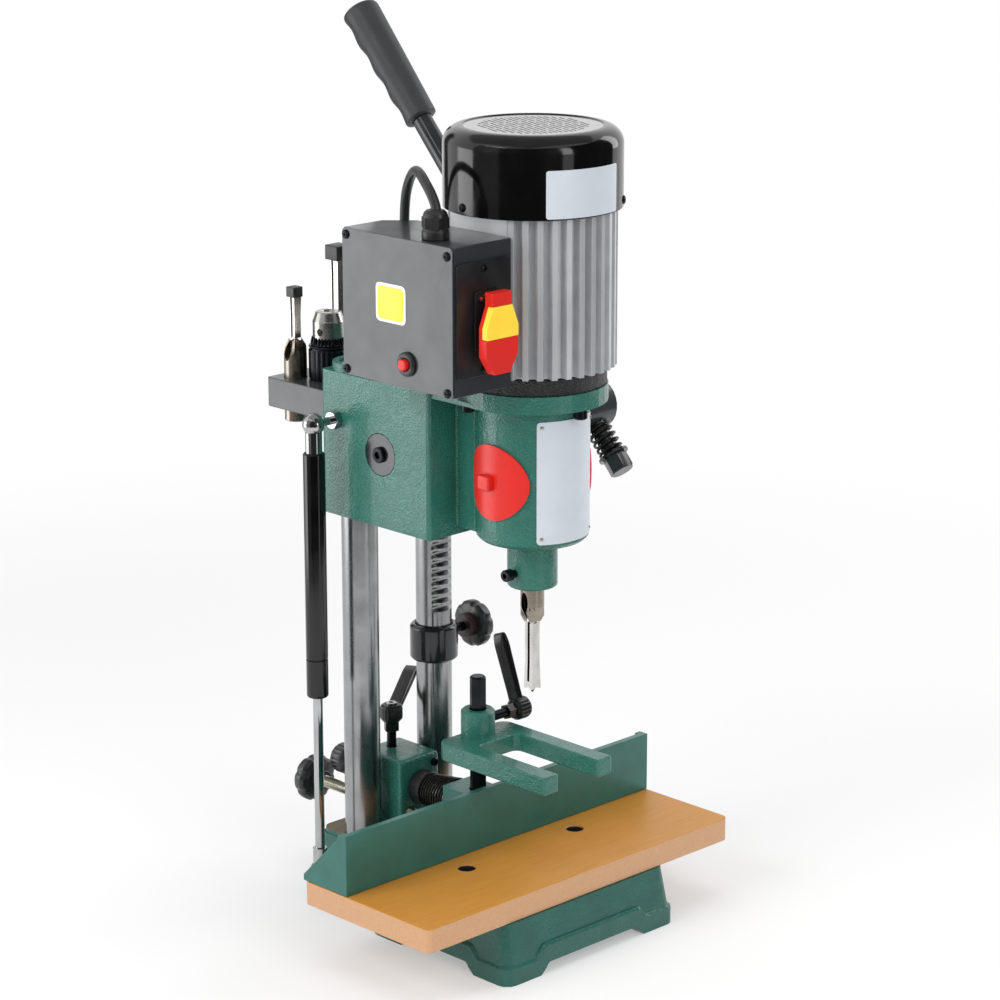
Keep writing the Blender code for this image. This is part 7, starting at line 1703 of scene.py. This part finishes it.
@dataclass
class SwitchBox(Assembly):
    """The switch box: its walls, the switch with paddle and key, the reset button, the glands and the lead."""

    side_x: float = -0.120
    top: float = 0.5855
    screw_radius: float = 0.0036
    screw_height: float = 0.0018
    plate_front: float = -0.0381
    plate_x: float = -0.0895
    sign_back: tuple[float, float] = (0.015, 0.048)
    sign_height: tuple[float, float] = (0.519, 0.549)
    sign_border: float = 0.0022
    reset_y: float = 0.0136
    reset_height: float = 0.490
    gland_x: float = -0.103
    gland_base: float = 0.5858
    lead_diameter: float = 0.0076
    boss_degrees: float = 118.0
    boss_reach: float = 0.0690
    boss_height: float = 0.500

    def screws(self) -> None:
        """Four screws in the cover and two in the switch's plate."""
        places = ((0.0815, 0.5805), (-0.030, 0.5785), (0.082, 0.4755), (-0.030, 0.4745))
        for number, (y, z) in enumerate(places, 1):
            screw = cross_screw(self.screw_radius, self.screw_height, LEFTWARD, (self.side_x, y, z))
            piece(f"box_screw_{number}", screw, BLACK_OXIDE, "head")
        for number, z in enumerate((0.5665, 0.490), 1):
            screw = cross_screw(0.0030, 0.0014, FORWARD, (self.plate_x, self.plate_front, z))
            piece(f"plate_screw_{number}", screw, BLACK_OXIDE, "head")

    def sign(self) -> None:
        """A plain yellow plate with a white border, its corners round."""
        outline = rectangle(*self.sign_back, *self.sign_height)
        spot = np.array((self.side_x, 0.0, 0.0))
        border = plate(eased(outline, 0.005, closed=True, steps=6), 0.0, 0.0004, 0.0001, LEFTWARD, spot)
        smaller = inset(outline, np.array((self.sign_border,)))[0]
        middle = plate(eased(smaller, 0.004, closed=True, steps=6), 0.0003, 0.0006, 0.0001, LEFTWARD, spot)
        piece("sign_border", border, WHITE_LABEL, "head")
        piece("sign_middle", middle, YELLOW_LABEL, "head")

    def reset(self) -> None:
        """The reset button in its threaded collar."""
        line = (0.0, self.reset_y, self.reset_height)
        face = -self.side_x + 0.0003
        corners = (
            (0.0047, face + 0.0024),
            (0.0047, face + 0.012 - 0.024),
            (0.0062, face + 0.012 - 0.024),
            (0.0062, face),
            (0.0095, face),
            (0.0095, face + 0.0016),
            (0.0080, face + 0.0030),
            (0.0056, face + 0.0030),
        )
        ring = turn(eased(corners, 0.0004, closed=True), LEFTWARD, line, 64, looped=True)
        piece("reset_collar", ring, NYLON, "head", ("reset_bezel",))
        tip = face + 0.0065
        button = [(0.0, tip - 0.012), (0.0044, tip - 0.012), (0.0044, tip - 0.0008), (0.0036, tip), (0.0, tip + 0.0)]
        piece("reset_cap", turn(eased(button, 0.0006), LEFTWARD, line, 48), RED, "reset", ("reset_button",))

    def gland(self) -> None:
        """Both glands: a flange, a hexagon and a slotted dome that grips the cord."""
        bore, start = self.lead_diameter / 2 + 0.0002, self.gland_base
        corners = (
            (bore, start - 0.006),
            (0.0078, start - 0.006),
            (0.0078, start),
            (0.0105, start),
            (0.0105, start + 0.006),
            (0.0096, start + 0.0075),
            (0.0096, start + 0.0172),
            (0.0088, start + 0.0200),
            (0.0066, start + 0.0220),
            (bore, start + 0.0220),
        )
        spot = (self.gland_x, 0.0, 0.0)
        shell = turn(eased(corners, 0.0005, closed=True), PLAN, spot, 72, looped=True)
        low, high = start + 0.0084, start + 0.0166
        nut = turn([(bore, low), (0.0110, low), (0.0110, high), (bore, high)], PLAN, spot, 6, looped=True)
        piece("lead_nut", nut, NYLON, "head", (), 0.0003)
        piece("lead_entry", shell, NYLON, "head", ("lead_gland",))
        line, wall = (-0.100, 0.0, 0.492), 0.0863
        corners = (
            (0.0036, wall - 0.006),
            (0.0060, wall - 0.006),
            (0.0060, wall),
            (0.0080, wall),
            (0.0080, wall + 0.0093),
            (0.0060, wall + 0.0140),
            (0.0036, wall + 0.0140),
        )
        shell = turn(eased(corners, 0.0005, closed=True), FRONT, line, 48, looped=True)
        piece("mains_entry", shell, NYLON, "head", ("mains_gland",))

    def lead(self) -> None:
        """The lead from the box to the motor, on a smooth curve through chosen points.

        The curve between two points is the cubic whose slope at each is half the step between its neighbours.
        """
        out = radial(self.boss_degrees)[2]
        level = np.array((0.0, 0.0, self.boss_height))
        places = np.array(
            (
                (self.gland_x, 0.0, 0.600),
                (self.gland_x, 0.0, 0.6108),
                (-0.101, 0.011, 0.624),
                (-0.085, 0.041, 0.630),
                (-0.066, 0.072, 0.606),
                (-0.055, 0.086, 0.565),
                (-0.048, 0.089, 0.525),
                (-0.042, 0.083, 0.504),
                level + out * (self.boss_reach + 0.012),
                level + out * (self.boss_reach + 0.0003),
            )
        )
        slope = np.gradient(places, axis=0)
        t = np.linspace(0, 1, 12, endpoint=False)[None, :, None]
        a, b, da, db = places[:-1, None], places[1:, None], slope[:-1, None], slope[1:, None]
        curve = (2 * t**3 - 3 * t**2 + 1) * a + (t**3 - 2 * t**2 + t) * da
        curve = curve + (3 * t**2 - 2 * t**3) * b + (t**3 - t**2) * db
        path = np.vstack((curve.reshape(-1, 3), places[-1:]))
        shell = sweep(path, self.lead_diameter / 2, (0.93, 0.36, 0.06), 24)
        shown = piece("motor_cord", shell, CABLE, "head", ("motor_lead",))

    def build(self) -> None:
        """Build the box's group."""
        self.casting("switch_box", SATIN_BLACK, "head", 0.0006)
        self.casting("switch_cover", SATIN_BLACK, "head", 0.0003)
        self.casting("switch_plate", NYLON, "head", 0.0003)
        self.casting("switch_body", NYLON, "head", 0.0003)
        self.casting("switch_paddle", RED, "paddle", 0.0006)
        self.casting("switch_key", YELLOW, "key", 0.0006)
        self.screws()
        self.sign()
        self.reset()
        self.gland()
        self.lead()


# Gas strut


@dataclass
class GasStrut(Assembly):
    """The strut that carries the head: cylinder above, rod below, and a ball joint at each end."""

    x: float = -0.0866
    y: float = 0.161
    high: float = 0.411
    low: float = 0.030
    ball_radius: float = 0.0062
    socket_radius: float = 0.0091
    tube_radius: float = 0.009
    tube_low: float = 0.182
    tube_top: float = 0.388
    groove_height: float = 0.215
    groove: float = 0.0009
    rod_radius: float = 0.004
    rod_top: float = 0.214
    fitting_radius: float = 0.0068
    rod_fitting_top: float = 0.051

    def stud(self, name: str, height: float, seat: float, body: str) -> None:
        """A ball on its neck and the nut that holds it."""
        spot = (0.0, self.y, height)
        shell = ball(self.ball_radius, (self.x, self.y, height))
        shell = shell + tube_between(0.0034, self.x + 0.003, seat - 0.0055, SIDE, spot)
        shell = shell + hexagon_nut(0.0078, seat - 0.0063, seat - 0.0003, SIDE, spot)
        shell = shell + tube_between(0.0039, seat - 0.003, -0.062 + 0.0042, SIDE, spot)
        piece(name + "_shown", shell, CHROME, body, (name,), 0.0002)

    def build(self) -> None:
        """Build the strut's group."""
        spot = (self.x, self.y, 0.0)
        self.stud("strut_stud_upper", self.high, -0.062, "head")
        self.stud("strut_stud_lower", self.low, -0.0583, "base")
        radius, edge = self.tube_radius, 0.0022
        profile = [
            (0.0042, self.tube_low + 0.003),
            (0.0042, self.tube_low),
            (radius - edge, self.tube_low),
            *arc((radius - edge, self.tube_low + edge), edge, -80, 0, 6),
            (radius, self.groove_height - self.groove),
            (radius - self.groove, self.groove_height - self.groove * 0.4),
            (radius - self.groove, self.groove_height + self.groove * 0.4),
            (radius, self.groove_height + self.groove),
            *arc((radius - edge, self.tube_top - edge), edge, 0, 80, 6),
            (0.0, self.tube_top),
        ]
        upper = [
            (0.0, self.tube_top - 0.0005),
            (self.fitting_radius, self.tube_top - 0.0005),
            (self.fitting_radius, self.high - self.socket_radius * 0.7),
            (0.0, self.high - self.socket_radius * 0.6),
        ]
        piece("strut_neck", turn(upper, PLAN, spot), CHROME, "head")
        piece("strut_tube", turn(profile, PLAN, spot), GLOSS_BLACK, "head", ("strut_cylinder",))
        seat = tube_between(0.0049, 0.0, 0.02, SIDE, (self.x, self.y, self.high))
        room = ball(self.ball_radius + 0.0005, (self.x, self.y, self.high))
        socket = carved(ball(self.socket_radius, (self.x, self.y, self.high)), room, seat)
        piece("strut_socket_high", socket, CHROME, "head", (), 0.0002)
        rod = tube_between(self.rod_radius, self.rod_fitting_top - 0.003, self.rod_top - 0.010, PLAN, spot, 48)
        piston = tube_between(0.0072, self.rod_top - 0.010, self.rod_top, PLAN, spot, 48)
        piece("strut_chrome_rod", rod + piston, CHROME, "base", ("strut_rod",))
        fitting = [
            (0.0, self.low + self.socket_radius * 0.6),
            (0.0060, self.low + self.socket_radius * 0.7),
            (0.0060, self.rod_fitting_top - 0.0006),
            (0.0054, self.rod_fitting_top),
            (0.0040, self.rod_fitting_top),
            (0.0, self.rod_fitting_top),
        ]
        piece("strut_end", turn(fitting, PLAN, spot), CHROME, "base")
        seat = tube_between(0.0049, 0.0, 0.02, SIDE, (self.x, self.y, self.low))
        room = ball(self.ball_radius + 0.0005, (self.x, self.y, self.low))
        socket = carved(ball(self.socket_radius, (self.x, self.y, self.low)), room, seat)
        piece("strut_socket_low", socket, CHROME, "base", (), 0.0002)


# Tool holder


@dataclass
class ToolHolder(Assembly):
    """The block behind the head, with a spare chuck and two capped chisels standing in it."""

    holder_high: float = 0.4305
    chuck_x: float = -0.025
    chuck_y: float = 0.211
    arbor_radius: float = 0.0065
    arbor_low: float = 0.391
    sleeve_radius: float = 0.0168
    sleeve_top: float = 0.459
    ring_radius: float = 0.0150
    ring_top: float = 0.466
    cone_radius: float = 0.0132
    cone_top: float = 0.487
    mouth_radius: float = 0.0090
    key_hole_radius: float = 0.0030

    def cap(self, name: str, place: tuple[float, float], half: float, low: float, high: float) -> None:
        """A chisel's square cap."""
        outline = eased(rectangle(-half, half, -half, half), half * 0.2, closed=True, steps=5)
        shell = plate(outline, low, high, half * 0.12, PLAN, np.array((*place, 0.0)))
        piece(name, shell, NYLON, "head")

    def chuck(self) -> None:
        """The spare chuck: arbor and knurled sleeve, toothed ring, and the bright cone with its key holes."""
        spot = (self.chuck_x, self.chuck_y, 0.0)
        start, end = self.holder_high + 0.0003, self.sleeve_top
        levels = [
            (start, self.sleeve_radius * 0.95, Section.ROUND),
            (start + 0.001, self.sleeve_radius, Section.KNURL),
            (end - 0.004, self.sleeve_radius, Section.KNURL),
            (end - 0.003, self.sleeve_radius * 0.94, Section.ROUND),
            (end - 0.002, self.sleeve_radius * 0.94, Section.ROUND),
            (end - 0.001, self.sleeve_radius, Section.ROUND),
            (end, self.sleeve_radius * 0.97, Section.ROUND),
        ]
        sleeve = loft(levels, PLAN, spot, 144)
        arbor = tube_between(self.arbor_radius, self.arbor_low, start + 0.001, PLAN, spot)
        piece("spare_sleeve", sleeve, BLACK_OXIDE, "head", ("spare_chuck",))
        piece("spare_arbor", arbor, TOOL_STEEL, "head")
        ring = loft(
            [
                (end - 0.001, self.ring_radius * 0.97, Section.ROUND),
                (end + 0.001, self.ring_radius, Section.ROUND),
                (end + 0.003, self.ring_radius, Section.TEETH),
                (self.ring_top, self.ring_radius * 0.93, Section.TEETH),
                (self.ring_top + 0.0001, self.cone_radius * 0.97, Section.ROUND),
            ],
            PLAN,
            spot,
            144,
        )
        piece("spare_ring", ring, BLACK_OXIDE, "head", (), 0.0001)
        top = self.cone_top
        profile = [
            (0.0, self.ring_top - 0.001),
            (self.cone_radius, self.ring_top - 0.001),
            *arc((self.cone_radius - 0.002, self.ring_top + 0.0125), 0.002, 0, 40, 4),
            *arc((self.mouth_radius, top - 0.002), 0.002, 40, 90, 4),
            (self.mouth_radius * 0.62, top),
            (self.mouth_radius * 0.42, top - 0.004),
            (0.0, top - 0.004),
        ]
        cone = turn(profile, PLAN, spot, 72)
        holes = []
        for degrees in (-165, -45, 75):
            axes = radial(degrees)
            place = np.array((self.chuck_x, self.chuck_y, self.ring_top + 0.005))
            holes.append(tube_between(self.key_hole_radius, self.cone_radius * 0.55, 0.03, axes, place, 24))
        piece("spare_cone", carved(cone, *holes), NICKEL, "head", (), 0.0002)

    def build(self) -> None:
        """Build the holder's group."""
        self.casting("tool_holder", SATIN_BLACK, "head", 0.0010)
        small, large = (-0.041, 0.2345), (0.005, 0.232)
        HollowChisel(
            "small_spare",
            "spare_chisel_small",
            "head",
            (*small, 0.505),
            True,
            0.0034,
            0.041,
            0.0515,
            finish=SPARE_STEEL,
        ).build()
        HollowChisel(
            "large_spare",
            "spare_chisel_large",
            "head",
            (*large, 0.534),
            True,
            0.0064,
            0.070,
            0.0805,
            finish=SPARE_STEEL,
        ).build()
        self.cap("small_cap", small, 0.0050, 0.4975, 0.506)
        self.cap("large_cap", large, 0.0080, 0.5225, 0.535)
        self.chuck()


# Studio


@dataclass
class Studio:
    """A white room: a pale floor, soft lights, and cards that only show as reflections."""

    aim: tuple[float, float, float] = (0.0, 0.0, 0.34)
    camera_place: tuple[float, float, float] = (-1.7345, -1.7339, 1.040)
    camera_yaw: float = 45.373
    camera_pitch: float = -14.613
    focal_share: float = 3.235
    shift: tuple[float, float] = (-0.0117, -0.046)
    near: float = 0.55
    far: float = 1.5
    floor_half: float = 6.0
    card_distance: float = 1.15
    ceiling_half: float = 0.9
    ceiling_height: float = 1.6
    ceiling_level: float = 0.38
    cards: tuple[tuple[str, float, float, float, float, float], ...] = (
        ("dark_front_left", 190.0, 226.0, 0.002, 1.5, 0.03),
        ("dark_front", 226.0, 262.0, 0.002, 1.5, 0.03),
        ("dark_front_right", 274.0, 304.0, 0.002, 1.5, 0.03),
        ("dark_right", 304.0, 334.0, 0.002, 1.5, 0.03),
        ("dark_back", 74.0, 92.0, 0.002, 1.2, 0.05),
        ("bright_left", 122.0, 152.0, 0.002, 0.75, 3.5),
        ("grey_left", 152.0, 190.0, 0.002, 1.5, 0.22),
    )

    def world(self) -> None:
        """White to the camera and to reflections, and dimmer as light."""
        world = bpy.data.worlds.new("white_room")
        bpy.context.scene.world = world
        world.use_nodes = True
        tree = world.node_tree
        tree.nodes.clear()
        path = add_node(tree, "ShaderNodeLightPath").outputs
        both = add_node(tree, "ShaderNodeMath", {0: path["Is Camera Ray"], 1: path["Is Glossy Ray"]}, operation="ADD")
        links = {0: both.outputs[0], 1: path["Is Transmission Ray"]}
        seen = add_node(tree, "ShaderNodeMath", links, operation="ADD", use_clamp=True)
        links = {"Value": seen.outputs[0], "To Min": 0.55, "To Max": 1.0}
        strength = add_node(tree, "ShaderNodeMapRange", links)
        links = {"Color": (1.0, 1.0, 1.0, 1.0), "Strength": strength.outputs[0]}
        background = add_node(tree, "ShaderNodeBackground", links)
        add_node(tree, "ShaderNodeOutputWorld", {"Surface": background.outputs[0]})

    def light(self, name: str, place: tuple[float, float, float], size: tuple[float, float], power: float) -> None:
        """A soft rectangular light that points at the machine."""
        data = bpy.data.lights.new(name, "AREA")
        data.shape = "RECTANGLE"
        data.size, data.size_y = size
        data.energy = power
        lamp = bpy.data.objects.new(name, data)
        bpy.context.scene.collection.objects.link(lamp)
        lamp.location = place
        away = np.array(place) - np.array(self.aim)
        yaw = math.atan2(away[1], away[0]) + math.pi / 2
        lamp.rotation_euler = (math.atan2(math.hypot(away[0], away[1]), away[2]), 0.0, yaw)

    def upright(self, start: float, end: float, low: float, high: float) -> list[list[float]]:
        """The corners of an upright card between two directions from the machine, in degrees."""
        angle = np.radians((start, end, end, start))
        reach = self.card_distance / math.cos(math.radians(end - start) / 2)
        height = np.array((low, low, high, high))
        return np.stack((reach * np.cos(angle), reach * np.sin(angle), height), 1).tolist()

    def card(self, name: str, corners: Sequence[Sequence[float]], level: float) -> None:
        """A flat card of one brightness that only reflections see."""
        mesh = bpy.data.meshes.new(name)
        mesh.from_pydata([list(corner) for corner in corners], [], [[0, 1, 2, 3]])
        made = bpy.data.objects.new(name, mesh)
        bpy.context.scene.collection.objects.link(made)
        paint = bpy.data.materials.new(name)
        paint.use_nodes = True
        tree = paint.node_tree
        tree.nodes.clear()
        glow = add_node(tree, "ShaderNodeEmission", {"Color": (1.0, 1.0, 1.0, 1.0), "Strength": level})
        add_node(tree, "ShaderNodeOutputMaterial", {"Surface": glow.outputs[0]})
        mesh.materials.append(paint)
        made.visible_camera = made.visible_diffuse = made.visible_shadow = made.visible_transmission = False

    def ceiling(self) -> None:
        """A dark card overhead, which keeps the black cap's shoulder black."""
        half = self.ceiling_half
        corners = [(-half, -half), (half, -half), (half, half), (-half, half)]
        self.card("dark_ceiling", [(*corner, self.ceiling_height) for corner in corners], self.ceiling_level)

    def floor(self) -> None:
        """The floor: pale near the machine, where it takes the shadow, and white further off to what sees it.

        The share of plain white grows from a third to all of it as the distance goes from near to far.
        """
        half = self.floor_half
        mesh = bpy.data.meshes.new("floor")
        corners = [(-half, -half, 0.0), (half, -half, 0.0), (half, half, 0.0), (-half, half, 0.0)]
        mesh.from_pydata(corners, [], [[0, 1, 2, 3]])
        made = bpy.data.objects.new("floor", mesh)
        bpy.context.scene.collection.objects.link(made)
        paint = bpy.data.materials.new("pale_floor")
        paint.use_nodes = True
        tree = paint.node_tree
        shader = tree.nodes["Principled BSDF"]
        shader.inputs["Base Color"].default_value = (0.86, 0.86, 0.86, 1.0)
        shader.inputs["Roughness"].default_value = 0.9
        shader.inputs["Specular IOR Level"].default_value = 0.0
        place = add_node(tree, "ShaderNodeTexCoord").outputs["Object"]
        distance = add_node(tree, "ShaderNodeVectorMath", {0: place}, operation="LENGTH").outputs["Value"]
        links = {"Value": distance, "From Min": self.near, "From Max": self.far, "To Min": 0.34, "To Max": 1.0}
        share = add_node(tree, "ShaderNodeMapRange", links, interpolation_type="SMOOTHSTEP").outputs[0]
        path = add_node(tree, "ShaderNodeLightPath").outputs
        both = add_node(tree, "ShaderNodeMath", {0: path["Is Camera Ray"], 1: path["Is Glossy Ray"]}, operation="ADD")
        links = {0: both.outputs[0], 1: path["Is Transmission Ray"]}
        seen = add_node(tree, "ShaderNodeMath", links, operation="ADD", use_clamp=True)
        factor = add_node(tree, "ShaderNodeMath", {0: seen.outputs[0], 1: share}, operation="MULTIPLY")
        white = add_node(tree, "ShaderNodeEmission", {"Color": (1.0, 1.0, 1.0, 1.0), "Strength": 1.0})
        links = {0: factor.outputs[0], 1: shader.outputs[0], 2: white.outputs[0]}
        mix = add_node(tree, "ShaderNodeMixShader", links)
        tree.links.new(mix.outputs[0], tree.nodes["Material Output"].inputs["Surface"])
        mesh.materials.append(paint)

    def camera(self) -> None:
        """The camera at the photograph's place."""
        data = bpy.data.cameras.new("photograph")
        data.sensor_width = 36.0
        data.lens = 36.0 * self.focal_share
        data.shift_x, data.shift_y = self.shift
        data.clip_end = 50.0
        made = bpy.data.objects.new("photograph", data)
        bpy.context.scene.collection.objects.link(made)
        made.location = np.array(self.camera_place) + ROW_SHIFT
        made.rotation_euler = (math.radians(90 + self.camera_pitch), 0.0, math.radians(self.camera_yaw - 90))
        bpy.context.scene.camera = made

    def build(self) -> None:
        """Build the room."""
        self.world()
        self.floor()
        self.light("key", (-1.9, 0.15, 1.35), (1.1, 1.3), 26.0)
        self.light("front", (-0.4, -2.0, 1.2), (1.2, 1.2), 12.0)
        self.light("top", (0.2, 0.1, 2.0), (1.6, 1.6), 12.0)
        self.light("side", (1.7, -0.6, 1.1), (0.9, 1.4), 9.0)
        for name, start, end, low, high, level in self.cards:
            self.card(name, self.upright(start, end, low, high), level)
        self.ceiling()
        self.camera()
        view = bpy.context.scene.view_settings
        view.view_transform = "Standard"


def main() -> None:
    """Load the frame, build every assembly round it, and set up the room."""
    logging.basicConfig(level=logging.INFO, format="%(name)s: %(message)s")
    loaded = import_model()
    nodes = loaded["nodes"]
    kinds = (
        BaseAndTable,
        Columns,
        Fence,
        HoldDown,
        DepthStop,
        Head,
        FeedLever,
        Cutter,
        Motor,
        SwitchBox,
        GasStrut,
        ToolHolder,
    )
    for kind in kinds:
        kind(nodes).build()
        LOG.info("%s done", kind.__name__)
    Studio().build()
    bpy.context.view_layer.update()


if __name__ == "__main__":
    main()
